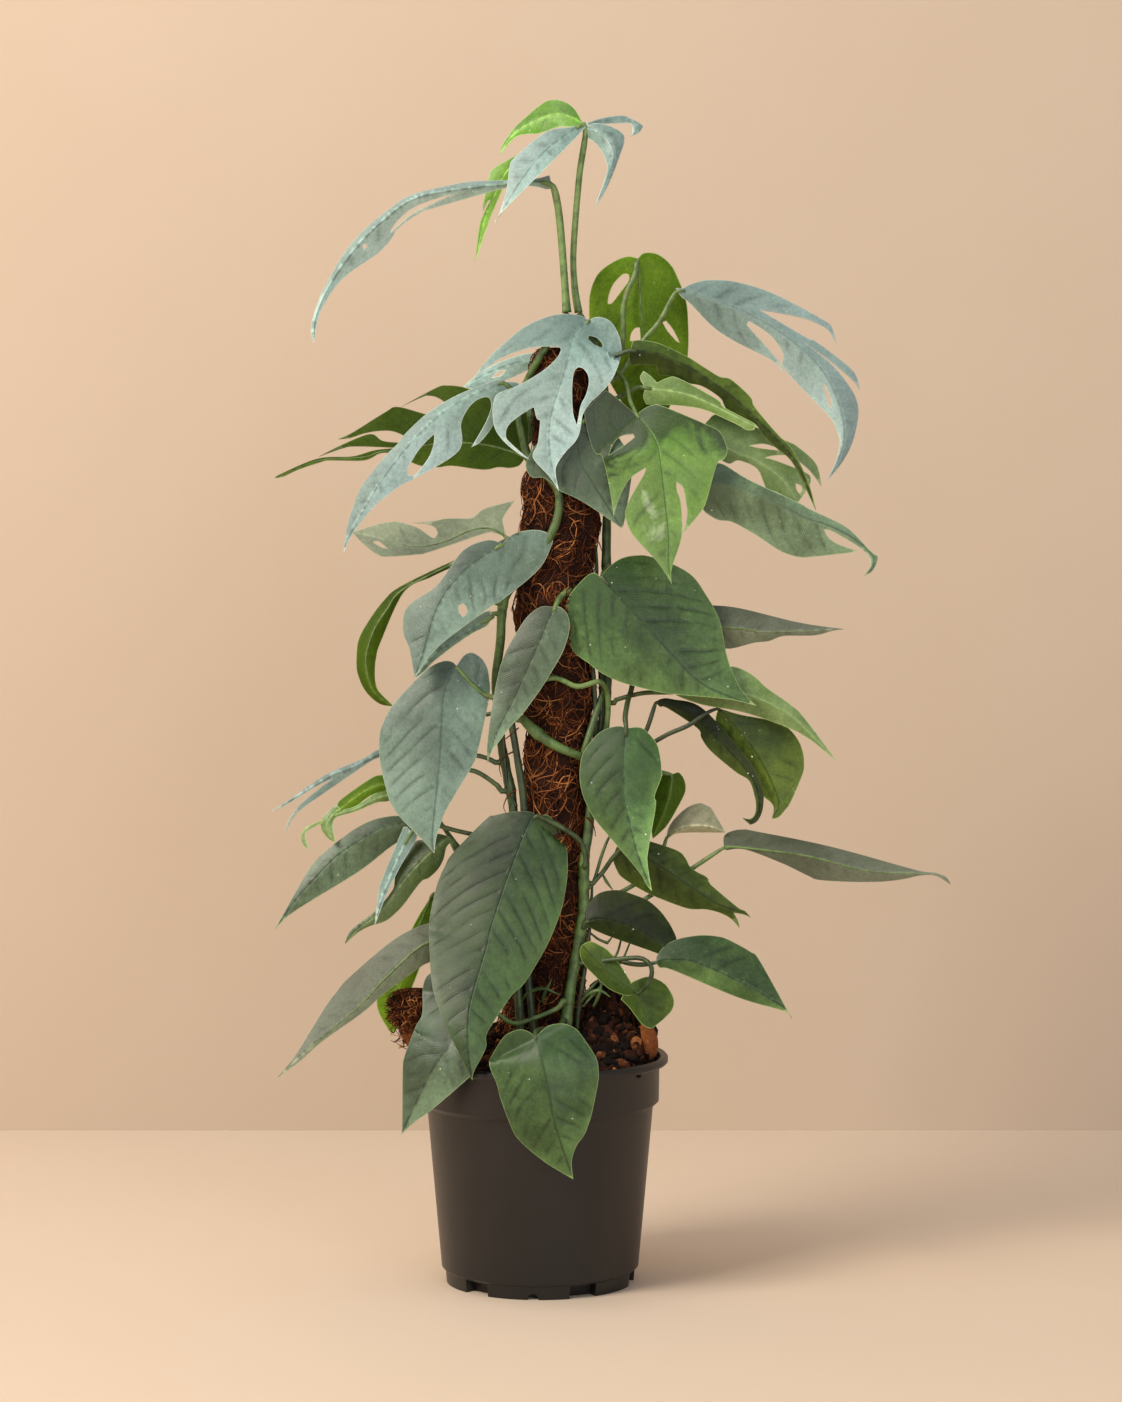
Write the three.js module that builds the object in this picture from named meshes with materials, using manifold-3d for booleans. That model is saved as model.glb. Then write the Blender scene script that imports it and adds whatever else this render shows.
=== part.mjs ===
// Potted cebu blue pothos on a coir pole, in millimetres.
// Origin at the centre of the pot's base on the floor, +Z up, seen from -Y.
//
// The plant is drawn in elevation: a point of a leaf or stem is [x, z, depth],
// where x and z are read on the upright plane through the pot's centre and depth
// is how far behind that plane the point stands (negative is nearer the viewer).
// place() slides the point along the line of sight from EYE.
import * as THREE from 'three';
import { mergeVertices } from 'three/addons/utils/BufferGeometryUtils.js';
import Module from 'manifold-3d';

// Driving dimensions
const EYE = new THREE.Vector3(19.6, -3170, 700);
const RIM_RADIUS = 120;
const RIM_TOP = 214;
const LIP_HEIGHT = 8;
const LIP_WIDTH = 7;
const COLLAR_RADIUS = 112;
const COLLAR_FOOT = 168;
const BODY_RADIUS = 106;
const BASE_RADIUS = 92.5;
const BASE_HEIGHT = 15;
const FOOT_RADIUS = 88;
const POT_WALL = 2.6;
const BASE_RECESS = 72;
const FOOT_RECESS = 13;
const FOOT_COUNT = 3;
const FOOT_TURN = -97.25;
const FOOT_HALF = 34.25;
const FOOT_SPACE = 27;
const DRAIN_RADIUS = 5;
const DRAIN_TURN = 3.25;
const SOIL_LEVEL = 203;
const SLEEVE_RADIUS = 26;
const SLEEVE_FOOT = 214;
const STAKE_RADIUS = 11;
const STAKE_FOOT = 140;
const FIT_GAP = 0.35;
const BLADE = 0.85;
const POT_SIDES = 32;
const VINE_SIDES = 6;
const STALK_SIDES = 5;
const VINE_STEP = 34;
const CORNER = 0.5;

// Colours by look
const LOOKS = {
  blue: { color: '#8fb0a6', roughness: 0.42 },
  teal: { color: '#5f7f73', roughness: 0.4 },
  green: { color: '#47704f', roughness: 0.4 },
  dark: { color: '#2f4a2c', roughness: 0.42 },
  bright: { color: '#7cb356', roughness: 0.4 },
  under: { color: '#4f7328', roughness: 0.5 },
  vine: { color: '#4c6b35', roughness: 0.5 },
  coir: { color: '#7a4424', roughness: 0.95 },
  bark: { color: '#3a2115', roughness: 0.95 },
  wood: { color: '#8a6a45', roughness: 0.8 },
  pot: { color: '#2f2d2c', roughness: 0.6 },
};

// Where the vines climb: [x, z, depth, radius]
const VINES = {
  right: [
    [22, 150, -37, 4.8], [22, 214, -36, 4.8], [24, 240, -34.5, 4.8], [28.5, 275, -32, 4.8],
    [33, 301, -29, 4.7], [38, 330, -26, 4.6], [41, 348, -24.5, 4.6], [41, 383, -24, 4.5],
    [42, 400, -23.5, 4.5], [45, 420, -20, 4.4], [48, 450, -16, 4.4], [54, 490, -8, 4.3],
    [59, 530, -2, 4.3], [62, 552, 0, 4.2], [64, 600, 2, 4.2], [62, 650, 1, 4.1],
    [62, 700, -1, 4.1], [63, 750, -3, 4], [62, 800, -2, 3.9], [58, 850, 0, 3.8],
    [54, 872, 1, 3.7], [45, 889, 3, 3.6], [36, 905, 5, 3.4],
  ],
  left: [
    [-16, 150, -30, 4.4], [-17, 214, -28, 4.4], [-22, 300, -22, 4.4], [-24, 380, -17, 4.3],
    [-25, 443, -14, 4.3], [-36, 505, -8, 4.2], [-41, 560, -6, 4.2], [-37, 600, -7, 4.2],
    [-33, 641, -9, 4.1], [-14, 665, -19, 4], [4, 688, -30.5, 4], [16, 715, -33, 4],
    [17, 740, -32.5, 3.9], [5, 757, -30, 3.9], [-10, 771, -18, 3.8], [-17, 795, -14, 3.8],
    [-19, 815, -13, 3.7], [-12, 842, -19, 3.6], [4, 872, -27, 3.5], [18, 894, -17, 3.4],
    [25, 904, -8, 3.3],
  ],
  middle: [
    [-4, 150, -38, 3.6], [-5, 214, -36, 3.6], [-14, 330, -27.5, 3.6], [-15, 443, -26, 3.5],
    [-21, 490, -22, 3.4], [-27, 530, -17, 3.3], [-28, 575, -15, 3.2],
  ],
  back: [
    [10, 150, 37, 4.4], [12, 214, 36, 4.4], [18, 350, 33, 4.3], [12, 470, 33, 4.2],
    [22, 560, 34, 4.1], [12, 650, 34, 4], [26, 740, 34, 3.9], [22, 830, 34, 3.7], [24, 868, 34, 3.5],
  ],
};
// Shoot with a swollen node that crosses the front of the pole between two vines
const CROSS_SHOOT = {
  from: ['middle', 528], to: ['right', 484],
  path: [
    [-16, 528, -31, 4], [-6, 518, -34, 4.8], [8, 507, -34.5, 4.4], [21, 500, -34, 4.2], [36, 494, -29, 3.9],
  ],
};
// Clump of coir leaning out over the rim: [x, y, z, radius]
const HUSK = [
  [-97, -22, 204, 5], [-103, -21, 217, 8], [-112, -20, 232, 12], [-120, -19, 248, 15.5], [-127, -19, 264, 14],
  [-131, -19, 277, 7],
];
// Heaps of the soil: [x, y, height, spread]
const HEAPS = [[62, 10, 64, 34], [-18, 6, 32, 40]];
// Centre line of the pole: [x, z]
const POLE = [
  [13, 140], [14, 215], [14, 300], [14, 400], [14, 470], [20, 545], [15, 640], [23, 700],
  [25, 760], [23, 820], [21, 872],
];

// Loose fold of coir down the left of the pole: [x, y, z, radius]
const POLE_FOLD = [[-5, 3, 596, 8], [-8, 3, 625, 13], [-5, 3, 665, 13], [0, 3, 705, 13], [3, 3, 752, 10]];

// Leaves. rib runs from the stalk to the tip; one and two are the margins on its two
// sides, each from the stalk to the tip; slope is how fast each half turns away from
// the viewer; holes lie inside a half; stalk runs from the blade to its vine.
const LEAVES = [
  {
    name: 'leaf_crown', look: 'blue', vine: null,
    stalk: [[41.2, 1079.5, -3], [41.8, 1067, -1], [36.4, 1030.7, 2], [31, 960, 5], [32.5, 927, 5.5],
      [35.9, 906, 5]],
    panels: [
      {
        rib: [[41, 1081, -3], [11, 1060, -16], [-4, 1045, -22], [-17, 1028, -28], [-29, 1009, -32],
          [-41.3, 988, -35]],
        one: [[29.3, 1077], [11.4, 1074.5], [-1, 1068], [-22.5, 1049.5], [-28, 1041], [-29.6, 1027],
          [-33, 1011]],
        two: [[39, 1073], [-33.2, 1000.4]],
        slope: [0.5, -0.2],
      },
      {
        rib: [[41.2, 1078, -3], [33, 1084, 0], [17, 1089, 6], [0, 1084.5, 12], [-16, 1076.5, 16],
          [-28, 1066.4, 18], [-37, 1051.8, 20]],
        one: [[33, 1092.3], [25.7, 1098.6], [16.8, 1101.8], [8, 1101.3], [-1, 1096], [-20.7, 1079],
          [-29.6, 1068.2], [-35, 1059.3]],
        two: [[29.3, 1077], [16.8, 1076.8], [-1, 1071], [-11.8, 1070.4], [-22.5, 1067.3]],
        slope: [0.7, -0.3],
      },
      {
        rib: [[41.4, 1076.6, -3], [53, 1074, -8], [65, 1064, -14], [69.5, 1050, -20], [65, 1036, -25],
          [59.5, 1021, -29], [50.7, 1003, -32]],
        one: [[50.7, 1080.4], [61.4, 1079], [70.4, 1075.4], [76.6, 1071], [78.4, 1066.4], [76.6, 1057.5],
          [66.6, 1031], [59.4, 1015.6]],
        two: [[42, 1069], [50.7, 1062.9], [57.9, 1054], [61.4, 1045], [61.8, 1034.3]],
        slope: [0.4, 0.3],
      },
      {
        rib: [[41, 1079.6, -3], [70, 1083.6, 7], [82, 1082.4, 10], [89, 1078.5, 11], [89, 1072, 10],
          [83.5, 1068.2, 8]],
        one: [[56, 1084.8], [68.6, 1087], [79.3, 1087], [93.6, 1079.8], [95.6, 1077.4], [92, 1072]],
        two: [[48, 1079.4], [81, 1080.6], [85.3, 1078], [85.6, 1072]],
        slope: [0.5, 0.3],
      },
      {
        rib: [[41.3, 1075.4, -2], [-12, 1052, 5], [-30, 1038, 6], [-42, 1015, 5], [-52, 990, 3],
          [-60, 952, 0]],
        one: [[10, 1066], [-12, 1056], [-42, 1039.6], [-46.6, 1032.5], [-49, 1024], [-52.5, 1006],
          [-52.6, 999], [-48, 1009], [-45.6, 1010], [-51.4, 998.6], [-56.4, 984.3]],
        two: [[12, 1059], [-10, 1046], [-27, 1033], [-44, 998]],
        slope: [0.2, 0.1],
      },
    ],
  },
  {
    name: 'leaf_long_left', look: 'blue', vine: null,
    stalk: [[12.3, 1022, -7], [18.5, 990, -6], [25, 906.1, -8]],
    panels: [{
      rib: [[10, 1027, -8], [-25, 1025, -12], [-88, 1017.6, -22], [-119, 1009.8, -26], [-144, 992, -30],
        [-165, 972, -33], [-185, 947, -36], [-200, 922, -39], [-208.5, 900, -41], [-210, 878, -42]],
      one: [[9, 1032.5], [-10, 1028.6], [-60, 1027], [-85, 1023], [-120, 1014], [-140, 1001], [-160, 985],
        [-180, 963], [-195, 938], [-205, 918], [-212.5, 893]],
      two: [[12, 1021], [6, 1020], [-6, 1022.5], [-30, 1021.6], [-100, 1002], [-110, 998.5], [-125, 989],
        [-133, 982], [-138, 974], [-150, 961], [-180, 940], [-195, 922], [-205, 903]],
      slope: [1.4, 1.2],
      holes: [
        [[-77, 1016.6], [-94, 1011.8], [-112, 1005.5], [-125, 997.6], [-136, 986], [-138.5, 979.5],
          [-130, 987.5], [-117, 998], [-97, 1007.5]],
        [[-160, 966.4], [-164, 964.4], [-164.4, 968.4], [-161.4, 969.8]],
      ],
    }],
  },
  {
    name: 'leaf_back_crown', look: 'under', vine: 'right', z: 856,
    stalk: [[90, 953, 11], [88.2, 941.4, 10], [81, 925.4, 9], [77, 908, 8.5], [77.5, 890, 8.5],
      [75, 868, 9]],
    panels: [{
      rib: [[91, 956, 13], [94.5, 905, 19], [103, 835, 31], [106, 800, 38]],
      one: [[82.9, 958], [74, 955.7], [65, 951], [56, 944], [50.7, 936], [47, 925.4], [45.7, 913],
        [47, 890], [56, 860], [75, 825], [92, 806]],
      two: [[94.5, 960], [100.7, 961.4], [109.6, 959.6], [118.6, 953], [125.7, 943], [134.6, 920],
        [137.3, 902], [137.3, 866.4], [130, 838], [118, 815]],
      slope: [0.25, 0.3],
      holes: [
        [[82.5, 941], [77.5, 941.4], [68.6, 932.5], [64, 921.8], [63.2, 914.6], [66.8, 914.6], [75.7, 926],
          [82.4, 935.5]],
        [[83.8, 880], [84.6, 886], [88.6, 891.6], [92.6, 892], [93.4, 884], [93.2, 879]],
        [[114, 897], [117, 898.4], [124, 889.6], [129.6, 878.4], [127.5, 879], [118.4, 889]],
      ],
    }],
  },
  {
    name: 'leaf_right_blue', look: 'blue', vine: 'right', z: 843,
    stalk: [[126, 925, -1], [111.4, 898.6, 0], [97, 881.6, 2], [75, 850, 3]],
    panels: [{
      rib: [[126, 928.5, -2], [160, 918, -10], [190, 906.5, -17], [220, 890, -24], [248, 868, -30],
        [268, 844, -35], [280, 815, -40], [283, 788, -44], [275, 763, -47], [266, 749, -49]],
      one: [[133, 928.6], [140, 932], [152, 935.4], [165, 936], [180, 934.5], [200, 929.5], [225, 919.6],
        [265, 898], [272, 889.6], [276, 876], [268.6, 888.6], [260, 894.6], [240, 902], [204, 908.4],
        [247, 881.6], [256, 877], [285, 855], [293, 845], [297, 834], [292, 844], [270, 862.4],
        [247, 878.8], [270, 858.8], [283, 844], [293, 828], [296, 812], [291, 787], [281, 767]],
      two: [[131, 921], [140, 914], [160, 893.5], [180, 880], [215, 862], [227, 850.6], [222, 861],
        [192, 894.6], [194, 898], [206, 891], [217, 882], [226, 868], [228.6, 852], [268, 811], [276, 797],
        [279, 785], [276, 771], [272, 760]],
      slope: [0.5, 0.35],
      holes: [[[263, 840], [265.4, 839], [270.6, 826], [271.4, 818], [268.6, 820.6]]],
    }],
  },
  {
    name: 'leaf_centre_blue', look: 'blue', vine: 'right', z: 886,
    stalk: [[45.4, 897.6, -13], [46.5, 893, -8]],
    panels: [{
      rib: [[45.4, 898.4, -14], [33, 886.8, -27], [27.5, 869, -39], [23, 851, -43], [11.4, 815, -45.5],
        [8.8, 799, -46.5], [8.8, 781, -48.5], [11.4, 763.6, -51], [17.7, 740.4, -56]],
      one: [[40, 902], [33, 904], [22, 904.6], [11.4, 903.2], [-1, 899.3], [-13.6, 893], [-24.3, 885],
        [-45.7, 866], [-66, 841], [-46, 857], [-31.4, 866], [-15.4, 871.6], [-1, 874.3], [16.8, 874.3],
        [19.6, 871.6], [16.8, 865.4], [6, 854.6], [-11.8, 843], [-24.3, 836.8], [-38.6, 831.4], [-43, 824],
        [-44, 812], [-42, 799.3], [-36.8, 790.4], [-28, 781.4], [-17, 773.4], [-9.4, 769.6], [-27, 785],
        [-31.6, 792], [-28, 803], [-10, 816.3], [-5.5, 818], [-2.9, 808], [0.4, 806], [-2, 785],
        [-6.4, 771.6], [9.6, 753]],
      two: [[48, 900.4], [54.3, 902], [63.2, 899.3], [68.6, 894], [74, 883], [75.7, 870.7], [73, 858],
        [66.8, 844], [58, 833], [47, 822.5], [40, 811.8], [37, 795.7], [33, 786.8], [24, 777], [16.8, 767],
        [14.4, 758]],
      slope: [0.05, 0.12],
      holes: [
        [[40, 854.3], [35.5, 855.5], [31.6, 851], [30, 838.6], [30, 824.3], [31, 811.8], [34.3, 801.5],
          [35.6, 808.2], [38.2, 820.7], [42.7, 829.6], [45.4, 840.4], [44.5, 848.4]],
        [[45.4, 884.6], [44.6, 881.4], [50.7, 876], [57, 873.4], [58.6, 875], [57, 878.8], [51.6, 883.2]],
      ],
    }],
  },
  {
    name: 'leaf_upper_left', look: 'blue', vine: 'left', z: 829,
    stalk: [[-34, 841, -22], [-22, 831, -20]],
    panels: [{
      rib: [[-34, 841.5, -23], [-54.6, 833.4, -25], [-72, 825, -29], [-86, 816.6, -34], [-101, 804.6, -40],
        [-124.3, 780.5, -51], [-146, 752.5, -62], [-157, 735, -67], [-178, 698, -73], [-182.7, 683.2, -74]],
      one: [[-40, 843.6], [-74.3, 830.6], [-103, 813.8], [-124.3, 794.4], [-133.2, 783.4], [-144, 772.6],
        [-165.4, 745.7], [-172.5, 729.6], [-178, 713.6], [-181.6, 695.7]],
      two: [[-28, 842], [-20, 841], [-20, 836], [-30, 829], [-43, 812], [-43, 803], [-54.6, 787],
        [-63.6, 781.4], [-51, 803], [-45.6, 817], [-46, 825], [-50, 828], [-60, 824.3], [-68, 815.4],
        [-73.4, 803], [-76, 777.6], [-117, 752], [-129.6, 745.7], [-149.3, 730.6], [-160, 719.6],
        [-168.9, 708.5], [-176.4, 697.6]],
      slope: [1.1, 0.3],
      holes: [
        [[-98.4, 793.6], [-106.4, 786], [-113.6, 777.5], [-119, 769], [-123, 761.8], [-123, 755.6],
          [-117, 755.4], [-111.8, 760.4], [-103, 772.5], [-98.8, 784]],
      ],
    }],
  },
  {
    name: 'leaf_behind_pole', look: 'blue', vine: 'back', z: 862,
    stalk: [[10, 862, 38], [14, 862, 38]],
    panels: [{
      rib: [[8, 862, 38], [-10, 862, 37], [-30, 857, 35], [-50, 849, 32], [-71, 837.7, 28]],
      one: [[5, 867.5], [-5, 868.6], [-17, 867], [-31, 862.6], [-46, 856], [-60, 847]],
      two: [[5, 856.5], [-6.4, 854.6], [-33, 843], [-62, 836]],
      slope: [0.4, 0.3],
      holes: [[[-44.8, 846], [-38, 851.6], [-31.4, 853], [-36.8, 847.5]]],
    }],
  },
  {
    name: 'leaf_split_left', look: 'under', vine: 'left', z: 771,
    stalk: [[-14, 772, 2], [-13, 771.6, -4]],
    panels: [{
      rib: [[-14, 771.5, 4], [-26, 777, 5], [-54.6, 784, 6], [-90, 785, 6], [-134, 778.3, 3],
        [-149, 777.2, 1], [-163.6, 772.2, -1], [-204, 769.4, -6], [-226, 761.6, -10], [-247, 752.5, -14]],
      one: [[-11, 785], [-11, 805], [-16, 822], [-30, 832], [-50, 836], [-63.6, 835], [-74, 837.4],
        [-85, 838.4], [-95.7, 836.6], [-129, 818.8], [-109, 828], [-103, 829], [-95.7, 827.5], [-87.7, 822],
        [-84, 815], [-95, 812], [-106.4, 812], [-132.3, 818.6], [-144, 813.6], [-174.3, 794.8],
        [-187.7, 788.6], [-176, 790], [-163.6, 794], [-153, 796], [-142, 796.6], [-133.2, 795], [-118, 788],
        [-126, 785.6], [-145.7, 787], [-158.2, 793.4], [-185, 783], [-206, 772.4], [-184, 780],
        [-170.7, 782], [-131, 780.6], [-153, 778.6], [-174.3, 772.8], [-206.4, 770.8], [-240, 757]],
      two: [[-19, 764.5], [-28, 762], [-38.6, 762.7], [-53, 760.4], [-81.4, 764], [-94, 762.7],
        [-108.2, 763.6], [-119, 767], [-133, 775], [-140.4, 776], [-149.3, 775.4], [-163.6, 769],
        [-195.7, 769], [-205, 767], [-224.3, 760.6], [-238, 754.4]],
      slope: [0.25, -0.3],
    }],
  },
  {
    name: 'leaf_under_centre', look: 'teal', vine: 'right', z: 812,
    stalk: [[33, 801, -29], [42, 806, -30], [53, 811, -20]],
    panels: [{
      rib: [[31, 800, -29.6], [38, 768, -36], [47, 752, -39], [75.7, 706.4, -45]],
      one: [[20, 800], [8, 793], [-5, 782], [-11.8, 770], [-13.2, 763.6], [-11, 757.3], [-6.4, 753],
        [2.5, 753], [11.4, 747.5], [17, 741.5], [40, 730.5]],
      two: [[42, 808], [54, 806], [68, 796], [80, 780], [86, 764], [79, 714]],
      slope: [-0.16, 0.05],
    }],
  },
  {
    name: 'leaf_bright_split', look: 'bright', vine: 'right', z: 852,
    stalk: [[89, 813, -22], [84, 824, -20], [80, 840, -15], [73, 850, -9]],
    panels: [{
      rib: [[90, 811, -23], [100.7, 799, -32], [108.8, 785, -40], [112.3, 767, -46], [118.6, 713.6, -57],
        [120, 695.7, -60], [120, 672.5, -63], [123, 653.8, -65]],
      one: [[65, 832], [58, 831.4], [47, 820.7], [41.4, 812.7], [47, 785], [52.5, 774.8], [58, 772],
        [65, 742], [68.6, 716.3], [70.6, 725], [75.7, 738.6], [83, 751], [91.8, 758.2], [98.4, 762],
        [97, 756.4], [84.6, 735], [80.2, 724.3], [79.4, 717], [83, 706.4], [90, 695.7], [109.6, 674.3]],
      two: [[95.4, 816], [104.3, 820], [115, 819], [158, 801], [167, 795.7], [172, 786.8], [174.3, 778],
        [171.3, 770], [166.8, 768.6], [163.2, 761.8], [156, 735], [150.7, 722.5], [134, 702], [137, 718],
        [135.5, 733.2], [133, 744], [127, 749.3], [127.6, 740.4], [131, 729.6], [132, 699.3], [122.6, 668]],
      slope: [-0.3, 0.15],
      holes: [
        [[86.4, 793.4], [75.7, 791.6], [68.6, 784.6], [64, 773.8], [75.7, 781], [83, 786.4], [88, 790.4]],
      ],
    }],
  },
  {
    name: 'leaf_right_dark', look: 'green', vine: 'right', z: 867,
    stalk: [[84, 871, -9], [69, 866, -6]],
    panels: [{
      rib: [[84, 871, -9], [110, 868, -10], [140, 854.5, -12], [165, 838, -14], [185, 823, -17],
        [222, 787, -25], [241.5, 762, -29], [257, 722.5, -33]],
      one: [[86, 879.6], [91.8, 880.5], [100.7, 879.6], [111.4, 877], [136.4, 865.4], [165, 847.6],
        [177.5, 844], [195.4, 828], [200, 818], [220.4, 794], [229.3, 785.6], [237.3, 774.8], [245.4, 759],
        [252, 742]],
      two: [[83, 864], [84.6, 857], [93.6, 858.2], [108, 857], [110, 848.5], [127.5, 845.7], [136.4, 841],
        [149, 838.6], [159.6, 833], [168.6, 826], [172, 819], [179.3, 811.5], [199, 803.6], [208, 792],
        [218.6, 781.6], [231, 771.6], [240, 758]],
      slope: [0.5, 0.4],
    }],
  },
  {
    name: 'leaf_pale_right', look: 'bright', vine: 'right', z: 825,
    stalk: [[99, 836, -12], [91, 837, -7], [72, 827, -3]],
    panels: [{
      rib: [[98, 836, -12.5], [120, 834, -14], [148, 826.4, -18], [200.6, 800.5, -28]],
      one: [[93, 845], [96, 852], [102, 848], [109, 841], [118.6, 845.4], [129.3, 845], [165, 825.4],
        [171, 818.4], [198, 804]],
      two: [[96, 828], [99, 821], [118.6, 820.7], [136.4, 819], [154.3, 815.4], [183, 802.6], [192, 797.5],
        [199, 797.4]],
      slope: [0.3, 0.2],
    }],
  },
  {
    name: 'leaf_lit_right', look: 'bright', vine: 'right', z: 801,
    stalk: [[150, 793, -8], [130, 797, -8], [82, 802, -4]],
    panels: [{
      rib: [[150, 793, -8], [184, 776, -8], [199, 770.4, -9], [225, 752, -11], [240, 729.6, -13]],
      one: [[156, 806], [172, 811], [227.5, 787.7], [240, 781.4], [257, 765.4], [262, 744.8],
        [253.6, 756.4], [245, 765], [234.6, 772], [227.5, 774], [217, 773.5], [209.4, 771.4], [220, 768.6],
        [247, 757.8], [252, 752], [249.8, 744]],
      two: [[158, 780], [168, 770], [176.6, 766], [183, 769], [190, 767.6], [199, 763.6], [204.3, 758],
        [211.4, 742], [218.6, 740.4]],
      slope: [0.2, 0.1],
      holes: [
        [[194.5, 782.6], [208, 784.4], [218.6, 781.4], [229, 777.4], [218.6, 778.6], [208, 779.8]],
        [[238, 747.6], [243, 745.6], [244, 741.4], [241.8, 737.6], [238.8, 742]],
      ],
    }],
  },
  {
    name: 'leaf_drooping_right', look: 'green', vine: 'right', z: 779,
    stalk: [[152, 749, -18], [130, 754, -15], [82, 774, -5]],
    panels: [{
      rib: [[150, 750, -18], [176, 747, -20], [194, 741, -22], [211, 734, -24], [247, 716, -28],
        [265, 710, -29], [283, 702, -31], [298, 692.4, -33], [308, 683, -34], [311.4, 676, -35],
        [308.6, 668, -36], [301.6, 661.4, -37]],
      one: [[156, 762], [168.6, 766], [193.6, 751.4], [240, 730], [250.7, 723.8], [279.3, 710.4],
        [291.8, 701.4], [308, 684.6], [314.6, 680], [314, 675], [309.4, 666]],
      two: [[150, 735], [151.3, 724.3], [158, 718], [166.8, 713.6], [179.3, 711.8], [200.7, 700],
        [222, 686], [233, 681.4], [243.6, 679], [254.3, 679.6], [288.2, 683.2], [295, 685.4],
        [277.5, 691.3], [268.6, 697.5], [264.5, 705], [272, 703.4], [293.6, 691], [302, 684.6], [307, 679],
        [308, 672], [305, 665.6]],
      slope: [0.6, 0.35],
    }],
  },
  {
    name: 'leaf_left_grey', look: 'under', vine: 'left', z: 668,
    stalk: [[-30, 696.6, -5], [-26, 687, -8], [-18, 676, -13]],
    panels: [{
      rib: [[-31, 697.4, -5], [-42, 704.6, -5], [-55, 706, -6], [-68, 702.6, -8], [-85, 694.6, -11],
        [-99.3, 690.4, -13], [-112, 688.6, -15], [-126, 690, -17], [-139, 693, -18], [-153, 698, -20],
        [-174.6, 702.3, -22]],
      one: [[-34.6, 712], [-32.3, 719], [-23.6, 731.6], [-45.7, 726], [-54.6, 722.5], [-61.8, 716.3],
        [-69, 715], [-86.8, 715], [-99.3, 712.7], [-119, 711], [-106, 710], [-98.4, 707], [-95.4, 702],
        [-97.4, 697.8], [-101, 697.5], [-114.5, 706.6], [-131.4, 711.8], [-138.6, 711.8], [-149.3, 710]],
      two: [[-42, 701.6], [-53, 700.7], [-103, 683.8], [-117, 681.4], [-144, 679.6], [-151, 681.4],
        [-158.2, 686], [-167, 693.6]],
      slope: [0.4, -0.5],
      holes: [[[-155.4, 693.6], [-150, 693.8], [-141.6, 687], [-146, 687.8], [-153, 691.2]]],
    }],
  },
  {
    name: 'leaf_broad_left', look: 'teal', vine: 'left', z: 654,
    stalk: [[-35, 690, -38], [-31, 670, -23], [-28, 660, -18]],
    panels: [{
      rib: [[-35, 691, -38.5], [-63.6, 672, -44], [-76, 660, -47], [-88.6, 644.6, -50], [-99.3, 623, -53],
        [-110, 585.7, -57], [-117, 566.5, -59]],
      one: [[-40.4, 693.8], [-47.5, 695], [-58.2, 692.5], [-67, 688.4], [-76, 680.4], [-90.4, 659.8],
        [-99.3, 650], [-117, 638.4], [-124.3, 631.3], [-127.5, 621.4], [-127, 607], [-121.6, 593]],
      two: [[-31, 696], [-22, 701.6], [-8, 704.4], [4, 703], [11.4, 697], [10, 688], [-2, 667],
        [-35, 639.5], [-45.7, 633], [-85, 604], [-99.3, 591], [-108.2, 580.4]],
      slope: [0.3, -0.03],
      holes: [[[-72, 635.6], [-76, 634], [-75.6, 628], [-72, 623.4], [-68.4, 627], [-69, 633]]],
    }],
  },
  {
    name: 'leaf_curl_left', look: 'under', vine: 'left', z: 636,
    stalk: [[-72, 677.4, -21], [-56, 674, -19], [-45, 662, -14], [-42, 645, -11]],
    panels: [{
      rib: [[-72, 677.4, -21], [-127, 649.5, -21], [-143, 630, -22], [-155, 610.7, -23], [-162, 589, -24],
        [-161.4, 571, -25], [-156, 555.5, -26], [-147.6, 546.2, -26], [-136.8, 540.2, -26]],
      one: [[-80, 676], [-129.6, 652], [-145.7, 638.4], [-160, 619], [-169, 602], [-171, 584],
        [-170.2, 571.4], [-164.5, 557], [-156.4, 547.3], [-147.5, 541.6]],
      two: [[-80, 671], [-101, 661], [-127, 646.5], [-148.4, 601], [-153, 585.7], [-154.3, 571.4],
        [-153, 559], [-148.4, 551.4]],
      slope: [0.6, 0.8],
    }],
  },
  {
    name: 'leaf_shaded_left', look: 'teal', vine: 'left', z: 626,
    stalk: [[-46, 622.5, -12], [-44, 624, -10]],
    panels: [{
      rib: [[-46, 622.5, -13], [-81, 600.8, -20], [-99, 588, -25], [-117, 566, -31]],
      one: [[-46, 629.2], [-54.6, 626.2], [-85, 606.4], [-99, 594.6], [-109, 583]],
      two: [[-49.3, 615.6], [-63.6, 608], [-81.4, 596], [-99.3, 582], [-108.2, 573]],
      slope: [0.9, 1.1],
    }],
  },
  {
    name: 'leaf_left_big', look: 'teal', vine: 'right', z: 516,
    stalk: [[-77.5, 576.5, -32], [-66, 563, -30], [-50, 550, -27], [-34, 548.5, -29], [-18, 553, -34],
      [11, 566.5, -36], [35, 558.5, -36], [55, 563, -30], [62, 553, -21], [63.5, 538, -14], [62, 522, -11]],
    panels: [{
      rib: [[-78, 577.7, -32], [-83, 568, -35], [-88.6, 552, -39], [-91, 535.7, -43], [-93.5, 490, -50],
        [-100.6, 421, -57], [-99, 402, -59]],
      one: [[-81, 581], [-88.6, 582.4], [-99.3, 578.6], [-110, 570.5], [-131.4, 548.2], [-140.4, 536.6],
        [-146.6, 524], [-150, 510.7], [-149, 485.7], [-142, 456], [-137, 444.6], [-128, 433], [-106.4, 411]],
      two: [[-71.6, 586.6], [-67, 589.6], [-61.8, 589.6], [-54.6, 584.8], [-49.6, 576.8], [-47.5, 566],
        [-47.5, 548.2], [-58.2, 498.2], [-63.6, 484], [-86, 446.3], [-92, 433], [-97, 417]],
      slope: [0.14, 0.16],
    }],
  },
  {
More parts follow.
